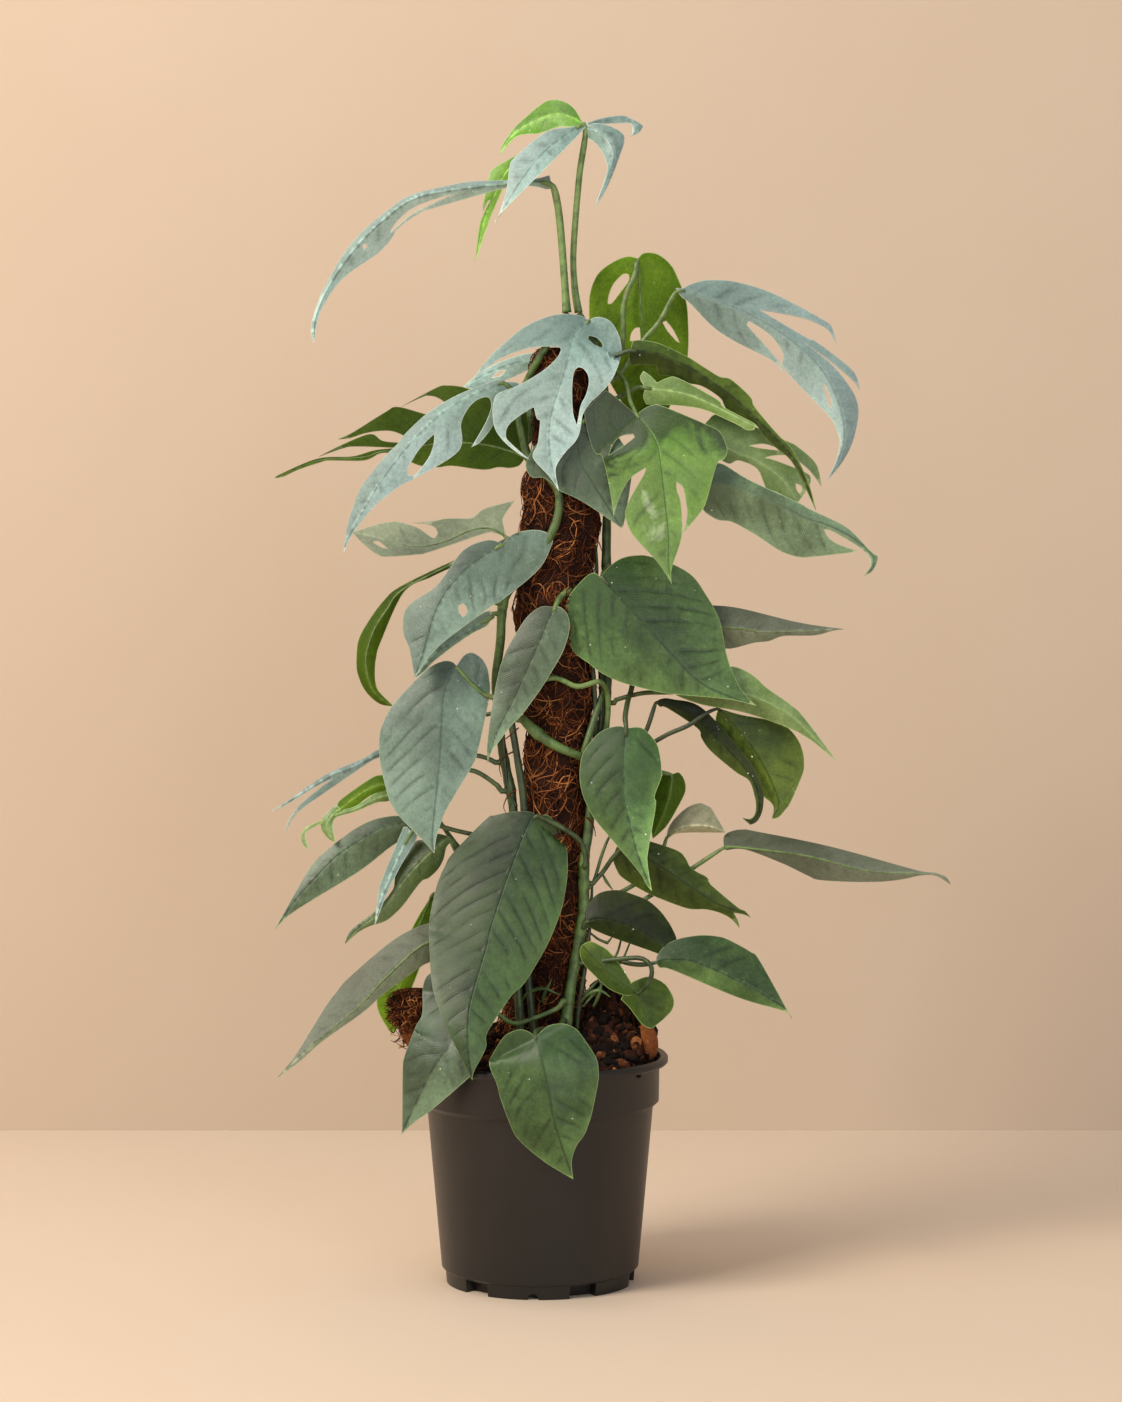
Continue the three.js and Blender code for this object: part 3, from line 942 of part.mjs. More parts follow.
// One lobe or blade: both halves triangulated alike on the near and the far face.
function blade({ rib, one, two, slope, holes = [] }) {
  const flat = [...rib];
  const depths = rib.map((point) => point[2]);
  const steep = rib.map((point, i) => {
    const a = rib[Math.max(0, i - 1)];
    const b = rib[Math.min(rib.length - 1, i + 1)];
    const rise = (b[2] - a[2]) / Math.hypot(b[0] - a[0], b[1] - a[1]);
    return Math.hypot(1, rise, Math.max(Math.abs(slope[0]), Math.abs(slope[1])));
  });
  const faces = [];
  const walls = [];
  const add = (point, side) => {
    flat.push(point);
    depths.push(depthBeside(rib, point, slope[side]));
    steep.push(Math.hypot(1, 0.4, slope[side]));
    return flat.length - 1;
  };
  [one, two].forEach((margin, side) => {
    const edgeIds = margin.map((point) => add(point, side));
    const ribIds = rib.map((_, i) => i);
    const outer = [...ribIds, ...edgeIds.reverse()];
    const facing = Math.sign(turns(outer.map((id) => flat[id])));
    const loops = [outer];
    holes.filter((hole) => inside(outer.map((id) => flat[id]), hole[0])).forEach((hole) => {
      const ids = hole.map((point) => add(point, side));
      loops.push(Math.sign(turns(hole)) === facing ? ids.reverse() : ids);
    });
    const ordered = loops.map((ids) => (facing < 0 ? [...ids].reverse() : ids));
    const all = ordered.flat();
    const [contour, ...openings] = ordered.map((ids) => ids.map((id) => new THREE.Vector2(...flat[id])));
    THREE.ShapeUtils.triangulateShape(contour, openings)
      .forEach((triangle) => faces.push(triangle.map((i) => all[i])));
    const ribSpan = new Set(ribIds.slice(1).map((id) => `${id - 1},${id}`));
    ordered.forEach((ids) => ids.forEach((id, i) => {
      const next = ids[(i + 1) % ids.length];
      const key = `${Math.min(id, next)},${Math.max(id, next)}`;
      if (!ribSpan.has(key) || Math.abs(id - next) !== 1) walls.push([id, next]);
    }));
  });
  const vertices = [];
  flat.forEach(([x, z], i) => vertices.push(place([x, z, depths[i] - (BLADE * steep[i]) / 2]).toArray()));
  flat.forEach(([x, z], i) => vertices.push(place([x, z, depths[i] + (BLADE * steep[i]) / 2]).toArray()));
  const back = flat.length;
  const triangles = [];
  faces.forEach(([a, b, c]) => {
    triangles.push([a, b, c]);
    triangles.push([a + back, c + back, b + back]);
  });
  walls.forEach(([a, b]) => {
    triangles.push([a, a + back, b]);
    triangles.push([b, a + back, b + back]);
  });
  return solid(vertices, triangles);
}

// A round stem through placed points [Vector3, radius], closed at both ends.
function stem(points, sides) {
  const vertices = [];
  const triangles = [];
  let across = new THREE.Vector3(0.31, 0.94, 0.11);
  points.forEach(([centre, radius], i) => {
    const before = points[Math.max(0, i - 1)][0];
    const after = points[Math.min(points.length - 1, i + 1)][0];
    const along = after.clone().sub(before).normalize();
    across = across.clone().addScaledVector(along, -across.dot(along)).normalize();
    const other = along.clone().cross(across);
    for (let k = 0; k < sides; k += 1) {
      const angle = (2 * Math.PI * k) / sides;
      const rim = centre.clone().addScaledVector(across, radius * Math.cos(angle));
      vertices.push(rim.addScaledVector(other, radius * Math.sin(angle)).toArray());
    }
  });
  const last = (points.length - 1) * sides;
  for (let i = 0; i < last; i += sides) {
    for (let k = 0; k < sides; k += 1) {
      const next = (k + 1) % sides;
      triangles.push([i + k, i + next, i + sides + k]);
      triangles.push([i + next, i + sides + next, i + sides + k]);
    }
  }
  for (let k = 1; k + 1 < sides; k += 1) {
    triangles.push([0, k + 1, k]);
    triangles.push([last, last + k, last + k + 1]);
  }
  return solid(vertices, triangles);
}

function vinePoint(vine, z) {
  const path = smooth(VINES[vine], VINE_STEP);
  const i = path.findIndex((point) => point[1] > z);
  const t = (z - path[i - 1][1]) / (path[i][1] - path[i - 1][1]);
  const centre = place(path[i - 1]).lerp(place(path[i]), t);
  const along = place(path[i]).sub(place(path[i - 1])).normalize();
  return { centre, along, radius: path[i - 1][3] + (path[i][3] - path[i - 1][3]) * t };
}

// The last two points of a stem that ends square to a vine, coming from a point.
function reach([vine, z], from, girth) {
  const { centre, along, radius } = vinePoint(vine, z);
  const out = from.clone().sub(centre);
  out.addScaledVector(along, -out.dot(along)).normalize();
  return [
    [centre.clone().addScaledVector(out, radius + 4.5), girth],
    [centre.clone().addScaledVector(out, radius + FIT_GAP), girth],
  ];
}

// A leaf stalk: starts inside the blade and ends on its vine with a fitting gap.
function stalk({ stalk: route, panels: [{ rib }], vine, z }) {
  const start = place(rib[0]).lerp(place(rib[1]), 0.35);
  const points = [[start, 0.9], ...route.map((point) => [place(point), 2])];
  if (vine) points.push(...reach([vine, z], points[points.length - 1][0], 2.2));
  return stem(points, STALK_SIDES);
}

function crossShoot({ from, to, path }) {
  const points = path.map(([x, z, depth, radius]) => [place([x, z, depth]), radius]);
  const head = reach(from, points[0][0], 3.4).reverse();
  const tail = reach(to, points[points.length - 1][0], 3.4);
  return stem([...head, ...points, ...tail], VINE_SIDES);
}

function leaf(row) {
  const body = row.panels.map(blade).reduce((whole, panel) => whole.add(panel), stalk(row));
  return mesh(row.name, row.look, body);
}

function vineBody(path, extra = 0) {
  const points = smooth(path, VINE_STEP).map(([x, z, depth, radius]) => [place([x, z, depth]), radius + extra]);
  return stem(points, VINE_SIDES);
}

// A turned solid: profile is [radius, height] from the axis back to the axis.
function turned(profile, segments) {
  const points = profile.map(([radius, height]) => new THREE.Vector2(radius, height));
  return new THREE.LatheGeometry(points, segments).rotateX(Math.PI / 2);
}

function pot() {
  const lipFoot = RIM_TOP - LIP_HEIGHT;
  let body = solidOf(turned([
    [0, 0], [FOOT_RADIUS, 0],
    [FOOT_RADIUS + 1, BASE_HEIGHT - 3], [BASE_RADIUS, BASE_HEIGHT], [BODY_RADIUS, COLLAR_FOOT - 2],
    [COLLAR_RADIUS - 0.5, COLLAR_FOOT + 3], [COLLAR_RADIUS, lipFoot], [RIM_RADIUS - 1.5, lipFoot],
    [RIM_RADIUS, lipFoot + 1.6], [RIM_RADIUS, RIM_TOP - 2.6], [RIM_RADIUS - 2.4, RIM_TOP],
    [RIM_RADIUS - LIP_WIDTH, RIM_TOP - 1.5], [COLLAR_RADIUS - POT_WALL, RIM_TOP - 8],
    [COLLAR_RADIUS - POT_WALL - 0.5, COLLAR_FOOT + 4], [BODY_RADIUS - POT_WALL, COLLAR_FOOT - 4],
    [BASE_RADIUS - POT_WALL, BASE_HEIGHT + 3], [BASE_RECESS, BASE_HEIGHT], [BASE_RECESS, POT_WALL],
    [0, POT_WALL],
  ], POT_SIDES));
  // Wide feet with a small drain notch each, and a narrow foot between each two of them
  for (let k = 0; k < FOOT_COUNT; k += 1) {
    const middle = FOOT_TURN + (360 / FOOT_COUNT) * k;
    for (const side of [-1, 1]) {
      const recess = new THREE.BoxGeometry(24, FOOT_SPACE, FOOT_RECESS);
      recess.translate(FOOT_RADIUS, 0, FOOT_RECESS / 2 - 1);
      recess.rotateZ(THREE.MathUtils.degToRad(middle + side * FOOT_HALF));
      body = body.subtract(solidOf(recess));
    }
    const drain = new THREE.CylinderGeometry(DRAIN_RADIUS, DRAIN_RADIUS, 24, 10).rotateZ(Math.PI / 2);
    drain.translate(FOOT_RADIUS, 0, 1);
    drain.rotateZ(THREE.MathUtils.degToRad(middle + DRAIN_TURN));
    body = body.subtract(solidOf(drain));
  }
  return body;
}

// Soil heaped round the pole, with a plain hole for each thing it holds.
function soil(held) {
  const inner = COLLAR_RADIUS - POT_WALL - FIT_GAP;
  const geometry = turned([
    [0, POT_WALL + FIT_GAP], [BASE_RECESS - FIT_GAP, POT_WALL + FIT_GAP],
    [BASE_RECESS - FIT_GAP, BASE_HEIGHT + FIT_GAP],
    [BASE_RADIUS - POT_WALL - FIT_GAP, BASE_HEIGHT + 3 + FIT_GAP],
    [BODY_RADIUS - POT_WALL - FIT_GAP - 0.6, COLLAR_FOOT - 5], [inner - 0.6, COLLAR_FOOT + 5],
    [inner - 0.3, SOIL_LEVEL - 4], [inner - 6, SOIL_LEVEL], [86, SOIL_LEVEL], [68, SOIL_LEVEL],
    [52, SOIL_LEVEL], [36, SOIL_LEVEL], [18, SOIL_LEVEL], [0, SOIL_LEVEL],
  ], POT_SIDES);
  const at = geometry.attributes.position;
  for (let i = 0; i < at.count; i += 1) {
    const [x, y, z] = [at.getX(i), at.getY(i), at.getZ(i)];
    if (z >= SOIL_LEVEL - 0.01) {
      const raise = HEAPS.map(([hx, hy, height, spread]) => (
        height * Math.exp(-((x - hx) ** 2 + (y - hy) ** 2) / (2 * spread ** 2))
      ));
      at.setZ(i, z + Math.max(...raise));
    }
  }
  return held.reduce((whole, piece) => whole.subtract(piece), solidOf(geometry));
}

function poleBody(radius, low, high, sides) {
  const centre = (z) => {
    const i = Math.max(1, POLE.findIndex((point) => point[1] >= z));
    const t = (z - POLE[i - 1][1]) / (POLE[i][1] - POLE[i - 1][1]);
    return POLE[i - 1][0] + (POLE[i][0] - POLE[i - 1][0]) * t;
  };
  const heights = [low, ...POLE.map((point) => point[1]).filter((z) => z > low + 8 && z < high - 8), high];
  return stem(heights.map((z) => [new THREE.Vector3(centre(z), 0, z), radius]), sides);
}

function strand(path, sides, extra = 0) {
  return stem(path.map(([x, y, z, radius]) => [new THREE.Vector3(x, y, z - extra), radius + extra]), sides);
}

const group = new THREE.Group();
const poleTop = POLE[POLE.length - 1][1];
const stakeTop = poleTop - 30;
const sleeve = poleBody(SLEEVE_RADIUS, SLEEVE_FOOT, poleTop, 14)
  .add(strand(POLE_FOLD, 10))
  .subtract(poleBody(STAKE_RADIUS + FIT_GAP, STAKE_FOOT, stakeTop + FIT_GAP, 10));
const holes = [
  ...Object.values(VINES).map(([foot, ...rest]) => vineBody([foot.with(1, foot[1] - FIT_GAP), ...rest], FIT_GAP)),
  poleBody(STAKE_RADIUS + FIT_GAP, STAKE_FOOT - FIT_GAP, 260, 10),
  poleBody(SLEEVE_RADIUS + FIT_GAP, SLEEVE_FOOT - FIT_GAP, 320, 14),
  strand(HUSK, 10, FIT_GAP),
];

group.add(mesh('pot', 'pot', pot()));
group.add(mesh('soil', 'bark', soil(holes)));
group.add(mesh('pole_stake', 'wood', poleBody(STAKE_RADIUS, STAKE_FOOT, stakeTop, 10)));
group.add(mesh('pole_sleeve', 'coir', sleeve));
group.add(mesh('husk_left', 'coir', strand(HUSK, 10)));
Object.entries(VINES).forEach(([name, path]) => group.add(mesh(`vine_${name}`, 'vine', vineBody(path))));
group.add(mesh('vine_cross', 'vine', crossShoot(CROSS_SHOOT)));
LEAVES.forEach((row) => group.add(leaf(row)));

export default group;
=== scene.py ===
"""Potted cebu blue pothos on a coir pole, dressed over its CAD frame."""
import logging
import math
from collections.abc import Sequence
from dataclasses import dataclass, field
from enum import Enum

import bpy
import numpy as np
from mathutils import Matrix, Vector
from mathutils.geometry import delaunay_2d_cdt


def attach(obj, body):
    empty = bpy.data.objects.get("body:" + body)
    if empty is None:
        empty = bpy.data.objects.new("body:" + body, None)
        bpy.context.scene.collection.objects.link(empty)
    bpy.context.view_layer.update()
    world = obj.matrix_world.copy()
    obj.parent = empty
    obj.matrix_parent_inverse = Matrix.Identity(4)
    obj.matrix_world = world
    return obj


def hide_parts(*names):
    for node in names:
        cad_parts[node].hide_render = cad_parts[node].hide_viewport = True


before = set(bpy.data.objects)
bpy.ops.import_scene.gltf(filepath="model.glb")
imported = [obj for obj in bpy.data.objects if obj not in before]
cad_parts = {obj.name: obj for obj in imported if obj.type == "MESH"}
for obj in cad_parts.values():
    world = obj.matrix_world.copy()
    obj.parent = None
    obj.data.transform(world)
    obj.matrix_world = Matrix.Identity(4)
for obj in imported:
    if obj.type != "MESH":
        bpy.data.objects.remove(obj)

LOG = logging.getLogger("pothos")
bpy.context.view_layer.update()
MM = 0.001
Point = Sequence[float]
Chain = Sequence[Point]
Colour = tuple[float, float, float, float]


def paint(code: str) -> Colour:
    """Turn a paint code into the linear colour that a shader takes.

    Args:
        code: Red, green and blue as "#rrggbb", as the eye sees them.

    Returns:
        Linear red, green and blue, with an alpha of 1.
    """
    parts = [int(code[i:i + 2], 16) / 255 for i in (1, 3, 5)]
    red, green, blue = [c / 12.92 if c <= 0.04045 else ((c + 0.055) / 1.055) ** 2.4 for c in parts]
    return (red, green, blue, 1.0)


class Slot(Enum):
    """Material slot names for the kinds of piece."""

    BLUE = "leaf_blue"
    TEAL = "leaf_teal"
    GREEN = "leaf_green"
    DARK = "leaf_dark"
    BRIGHT = "leaf_bright"
    UNDERSIDE = "leaf_underside"
    STEM = "green_stem"
    COIR = "coir"
    BARK = "bark_mix"
    PLASTIC = "pot_plastic"


class Skin(Enum):
    """The leaf faces seen on the plant, from its silvery top to its shaded foot."""

    SILVER = "silver_blue"
    TEAL = "grey_teal"
    SAGE = "sage_green"
    GREEN = "mature_green"
    DEEP = "deep_green"
    LIME = "fresh_lime"
    VIVID = "vivid_green"
    BLOTCHED = "blotched_lime"
    OLIVE = "olive_underside"
    ASH = "ash_underside"
    PALE = "pale_underside"


class Link:
    """A node's output that can be added, multiplied and so on as a number is."""

    def __init__(self, shader: "Shader", socket: bpy.types.NodeSocket) -> None:
        """Wrap one socket of a shader."""
        self.shader = shader
        self.socket = socket

    def _math(self, operation: str, first: "Value", second: "Value") -> "Link":
        """Add one Math node for an operation on two values."""
        return self.shader.node("ShaderNodeMath", {"operation": operation}, {0: first, 1: second})

    def __add__(self, other: "Value") -> "Link":
        """Return self + other."""
        return self._math("ADD", self, other)

    def __radd__(self, other: "Value") -> "Link":
        """Return other + self."""
        return self._math("ADD", other, self)

    def __sub__(self, other: "Value") -> "Link":
        """Return self - other."""
        return self._math("SUBTRACT", self, other)

    def __rsub__(self, other: "Value") -> "Link":
        """Return other - self."""
        return self._math("SUBTRACT", other, self)

    def __mul__(self, other: "Value") -> "Link":
        """Return self * other."""
        return self._math("MULTIPLY", self, other)

    def __rmul__(self, other: "Value") -> "Link":
        """Return other * self."""
        return self._math("MULTIPLY", other, self)

    def __truediv__(self, other: "Value") -> "Link":
        """Return self / other."""
        return self._math("DIVIDE", self, other)

    def __pow__(self, other: "Value") -> "Link":
        """Return self ** other."""
        return self._math("POWER", self, other)

    def absolute(self) -> "Link":
        """Return the size of the value without its sign."""
        return self._math("ABSOLUTE", self, 0.0)

    def fraction(self) -> "Link":
        """Return what is left after the whole number."""
        return self._math("FRACT", self, 0.0)

    def step(self, low: float, high: float) -> "Link":
        """Return a soft step: 0 at low, 1 at high, either way round."""
        sockets = {0: self, 1: low, 2: high, 3: 0.0, 4: 1.0}
        return self.shader.node("ShaderNodeMapRange", {"interpolation_type": "SMOOTHSTEP"}, sockets)


Value = Link | float | Colour | tuple[float, float, float]


class Shader:
    """One material's node tree, written as expressions."""

    def __init__(self, name: str) -> None:
        """Start an empty material with an output.

        Args:
            name: The name of the material.
        """
        self.material = bpy.data.materials.new(name)
        self.material.use_nodes = True
        self.tree = self.material.node_tree
        self.tree.nodes.clear()
        self.output = self.tree.nodes.new("ShaderNodeOutputMaterial")
        self.place = self.node("ShaderNodeTexCoord", {}, {}, "Object")

    def node(self, kind: str, settings: dict[str, object], sockets: dict[int | str, Value],
             out: int | str = 0) -> Link:
        """Add any node.

        Args:
            kind: The node's type.
            settings: Its own settings, set first; "stops" fills a colour ramp.
            sockets: The value or link of each input, by name or number.
            out: The output to return.

        Returns:
            The chosen output.
        """
        made = self.tree.nodes.new(kind)
        for key, setting in settings.items():
            if key == "stops":
                self._fill(made.color_ramp, setting)
            else:
                setattr(made, key, setting)
        for key, value in sockets.items():
            if isinstance(value, Link):
                self.tree.links.new(value.socket, made.inputs[key])
            else:
                made.inputs[key].default_value = value
        return Link(self, made.outputs[out])

    @staticmethod
    def _fill(ramp: bpy.types.ColorRamp, stops: Sequence[tuple[float, Colour]]) -> None:
        """Give a colour ramp its stops.

        Args:
            ramp: The ramp to fill.
            stops: Positions and their colours, in order.
        """
        while len(ramp.elements) < len(stops):
            ramp.elements.new(1.0)
        for element, (position, colour) in zip(ramp.elements, stops):
            element.position = position
            element.color = colour

    def noise(self, scale: float, detail: float = 2.0, roughness: float = 0.5, warp: float = 0.0) -> Link:
        """Return a noise from 0 to 1 on Object coordinates.

        Args:
            scale: How many lumps there are in a metre.
            detail: How many finer layers are added.
            roughness: How strong the finer layers are.
            warp: How far the pattern is pushed about.

        Returns:
            The pattern as a number.
        """
        sockets = {"Vector": self.place, "Scale": scale, "Detail": detail, "Roughness": roughness,
                   "Distortion": warp}
        return self.node("ShaderNodeTexNoise", {}, sockets, "Fac")

    def cells(self, scale: float, feature: str = "F1", out: str = "Distance") -> Link:
        """Return a Voronoi pattern on Object coordinates."""
        sockets = {"Vector": self.place, "Scale": scale}
        return self.node("ShaderNodeTexVoronoi", {"feature": feature}, sockets, out)

    def read(self, name: str) -> Link:
        """Return an attribute of the mesh as a number."""
        return self.node("ShaderNodeAttribute", {"attribute_name": name}, {}, "Fac")

    def mix(self, first: Value, second: Value, factor: Value) -> Link:
        """Return a colour between two, at a factor from 0 to 1."""
        return self.node("ShaderNodeMix", {"data_type": "RGBA"}, {0: factor, 6: first, 7: second}, 2)

    def ramp(self, factor: Link, stops: Sequence[tuple[float, Colour]]) -> Link:
        """Return the colour of a ramp."""
        return self.node("ShaderNodeValToRGB", {"stops": stops}, {"Fac": factor}, "Color")

    def bump(self, height: Link, distance: float, strength: float = 1.0) -> Link:
        """Return a normal raised by a height."""
        sockets = {"Strength": strength, "Distance": distance, "Height": height}
        return self.node("ShaderNodeBump", {}, sockets, "Normal")

    def finish(self, sockets: dict[int | str, Value]) -> bpy.types.Material:
        """Close the material with one Principled shader and return it.

        Args:
            sockets: The values and links of the shader's inputs, by name.

        Returns:
            The finished material.
        """
        surface = self.node("ShaderNodeBsdfPrincipled", {}, sockets)
        self.tree.links.new(surface.socket, self.output.inputs["Surface"])
        return self.material


@dataclass(frozen=True)
class LeafFinish:
    """The skin of a leaf: colour between the veins, veins, margin, mottling and specks, with painted shade
    in the vein hollows, along the midrib and near the stalk, and painted light and shade on each half.
    """

    name: str
    face: str
    shade: str
    vein: str
    margin: str
    gloss: float
    side_veins: float = 0.5
    speckle: float = 1.0
    blotch: str = ""
    quilt: float = 0.0005
    spacing: float = 19.0
    sheen: float = 0.42

    def material(self) -> bpy.types.Material:
        """Return the procedural leaf material, which reads the blade's own attributes.

        Returns:
            The finished material.
        """
        s = Shader(self.name)
        # tone is painted light and shade, one value for each half of the blade.
        along, aside, edge, tone = s.read("along"), s.read("aside"), s.read("edge"), s.read("tone")
        far = aside.absolute()
        drift = (s.noise(22.0, 2.0) - 0.5) * 7.0
        run = (along - far * 0.7 - far * far * 0.008 + drift) / self.spacing
        off = (run.fraction() - 0.5).absolute()
        between = ((run * 2.0).fraction() - 0.5).absolute()
        open_face = far.step(0.8, 4.0) * edge.step(1.0, 9.0)
        patchy = s.noise(34.0, 2.0).step(0.34, 0.6) * open_face
        side_vein = (off.step(0.45, 0.5) * 0.8 + between.step(0.46, 0.5) * 0.25) * patchy
        # valley marks the hollows beside each side vein; below, it paints shade into them and also sinks
        # the bump.
        valley = off.step(0.2, 0.5) * patchy
        hair = ((run * 9.0).fraction() - 0.5).absolute().step(0.2, 0.5) * open_face
        fine = s.cells(300.0, "DISTANCE_TO_EDGE").step(0.1, 0.0)
        # Painted shade in a band along the sunken midrib, fading out at the margin.
        midrib_shade = far.step(3.4, 0.2) * edge.step(0.5, 4.0)
        midrib = far.step(0.95, 0.35) * edge.step(0.0, 1.0)
        broad = s.noise(15.0, 3.0, 0.6)
        small = s.noise(150.0, 5.0, 0.7)
        # Lightness between the veins: random mottling, painted shade near the stalk that fades towards the
        # tip, and a slight lightening towards the margin.
        light = broad * 0.55 + small * 0.25 + along.step(0.0, 150.0) * 0.16 + far.step(0.0, 40.0) * 0.06
        colour = s.mix(paint(self.shade), paint(self.face), light.step(0.37, 0.63))
        if self.blotch:
            fresh = (along + (s.noise(30.0, 4.0, 0.6, 0.6) - 0.5) * 90.0 - far * 0.5).step(14.0, 34.0)
            colour = s.mix(paint(self.blotch), colour, fresh)
            pale = s.noise(26.0, 4.0, 0.6, 1.0).step(0.57, 0.66) * along.step(46.0, 80.0)
            colour = s.mix(colour, paint("#c3d8a4"), pale * 0.75)
        # Vein colour on the side veins, with painted shade in the hollows beside them and in a band along
        # the sunken midrib.
        colour = s.mix(colour, paint(self.vein), (side_vein + valley * 0.3 + midrib_shade * 0.75) * self.side_veins)
        colour = s.mix(colour, paint(self.vein), midrib * 0.75 + fine * 0.12 + hair * 0.3)
        colour = s.mix(colour, paint(self.margin), edge.step(0.8, 0.15) * 0.65)
        mark = s.cells(150.0).step(0.12, 0.07) * s.cells(150.0, "F1", "Color").step(0.74, 0.78)
        dust = s.cells(420.0).step(0.16, 0.1) * s.cells(420.0, "F1", "Color").step(0.86, 0.9)
        colour = s.mix(colour, paint("#dfe6d3"), (mark + dust * 0.6) * self.speckle * 0.75)
        cloud, patch = s.noise(7.0, 2.0) - 0.5, s.noise(42.0, 3.0) - 0.5
        grain = s.noise(330.0, 3.0, 0.7) - 0.5
        # Random mottling, with painted shade in the vein hollows and painted light on the raised fields
        # between them.
        swing = cloud * 1.3 + patch * 0.45 + grain + (0.4 - valley) * 0.34 - hair * 0.05
        # Each half's painted light and shade sets its brightness; the swing varies it.
        value = (0.5 + tone) * (1.0 + swing)
        colour = s.node("ShaderNodeHueSaturation", {}, {"Value": value, "Color": colour}, "Color")
        veins = side_vein * 0.35 + valley * 0.6 + midrib * 0.6 + fine * 0.05
        height = broad * 0.6 + small * 0.25 + hair * 0.16 - veins
        return s.finish({
            "Base Color": colour,
            "Roughness": self.gloss + (small - 0.5) * 0.2 + broad * 0.05,
            "Normal": s.bump(height, self.quilt, 0.9),
            "Specular IOR Level": self.sheen,
        })


@dataclass(frozen=True)
class StemFinish:
    """Green stem with darker streaks and dry, corky patches."""

    name: str
    green: str
    dark: str
    cork: str
    gloss: float = 0.42

    def material(self) -> bpy.types.Material:
        """Return the procedural stem material.

        Returns:
            The finished material.
        """
        s = Shader(self.name)
        streak = s.noise(95.0, 4.0, 0.6, 0.4)
        cork = s.noise(36.0, 5.0, 0.7).step(0.57, 0.68)
        grain = s.noise(620.0, 3.0, 0.6)
        colour = s.mix(paint(self.dark), paint(self.green), streak.step(0.32, 0.6))
        colour = s.mix(colour, paint(self.cork), cork * 0.55)
        colour = s.mix(colour, paint(self.dark), grain.step(0.6, 0.8) * 0.3)
        # The tone attribute sets how light the stem is; on the vines it is painted light and shade along
        # their height.
        value = 0.5 + s.read("tone")
        return s.finish({
            "Base Color": s.node("ShaderNodeHueSaturation", {}, {"Value": value, "Color": colour}, "Color"),
            "Roughness": self.gloss + cork * 0.3,
            "Normal": s.bump(grain + cork * 1.5, 0.0003, 0.8),
        })


@dataclass(frozen=True)
class CoirFinish:
    """Matted brown coir, from nearly black between the fibres, which on the mat is painted shade, to tan on
    top of them.
    """

    name: str
    deep: str
    middle: str
    light: str
    loose: bool = False

    def material(self) -> bpy.types.Material:
        """Return the procedural coir material; loose fibres read their own tone.

        Returns:
            The finished material.
        """
        s = Shader(self.name)
        mat = s.noise(210.0, 6.0, 0.75, 1.2)
        lump = s.noise(46.0, 3.0, 0.6)
        strand = s.read("tone") * 0.8 + (lump - 0.5) * 0.5 + (mat - 0.5) * 0.3
        # On the mat, the ramp's nearly black end is painted shade between the fibres.
        factor = strand if self.loose else mat * 0.7 + lump * 0.3
        stops = ((0.12, paint(self.deep)), (0.5, paint(self.middle)), (0.92, paint(self.light)))
        return s.finish({
            "Base Color": s.ramp(factor, stops),
            "Roughness": 0.78 + mat * 0.15,
            "Normal": s.bump(mat + lump, 0.0006 if self.loose else 0.0025, 0.9),
            "Specular IOR Level": 0.25,
        })


@dataclass(frozen=True)
class BarkFinish:
    """Damp bark chips and crumbs of dark soil."""

    name: str
    soil: str
    bark: str
    chip: str

    def material(self) -> bpy.types.Material:
        """Return the procedural bark material, which reads each chip's tone.

        Returns:
            The finished material.
        """
        s = Shader(self.name)
        grit = s.noise(380.0, 6.0, 0.72)
        layer = s.noise(120.0, 3.0, 0.6, 2.0)
        factor = s.read("tone") * 0.85 + (layer - 0.5) * 0.4 + (grit - 0.5) * 0.5
        stops = ((0.16, paint(self.soil)), (0.55, paint(self.bark)), (0.95, paint(self.chip)))
        return s.finish({
            "Base Color": s.ramp(factor, stops),
            "Roughness": 0.72 + grit * 0.2,
            "Normal": s.bump(grit + layer * 0.6, 0.0012, 0.9),
            "Specular IOR Level": 0.18,
        })


@dataclass(frozen=True)
class PlasticFinish:
    """Moulded charcoal plastic with a fine grain, faint scuffs and specks of dust."""

    name: str
    face: str
    worn: str
    dust: str

    def material(self) -> bpy.types.Material:
        """Return the procedural pot material.

        Returns:
            The finished material.
        """
        s = Shader(self.name)
        grain = s.noise(1500.0, 2.0, 0.5)
        cloud = s.noise(14.0, 4.0, 0.6)
        scuff = s.noise(70.0, 6.0, 0.8, 1.5).step(0.6, 0.75)
        speck = s.cells(260.0).step(0.1, 0.05) * s.cells(260.0, "F1", "Color").step(0.86, 0.9)
        colour = s.mix(paint(self.face), paint(self.worn), cloud.step(0.35, 0.75) * 0.6 + scuff * 0.15)
        return s.finish({
            "Base Color": s.mix(colour, paint(self.dust), speck * 0.55),
            "Roughness": 0.34 + cloud * 0.12 + scuff * 0.12,
            "Normal": s.bump(grain + scuff * 0.6, 0.00012, 0.6),
        })


@dataclass(frozen=True)
class WoodFinish:
    """Pale stake wood with a straight grain."""

    name: str
    light: str
    dark: str

    def material(self) -> bpy.types.Material:
        """Return the procedural wood material.

        Returns:
            The finished material.
        """
        s = Shader(self.name)
        grain = s.noise(240.0, 5.0, 0.7, 2.0)
        return s.finish({
            "Base Color": s.mix(paint(self.dark), paint(self.light), grain.step(0.3, 0.7)),
            "Roughness": 0.7 + grain * 0.15,
            "Normal": s.bump(grain, 0.0004),
        })


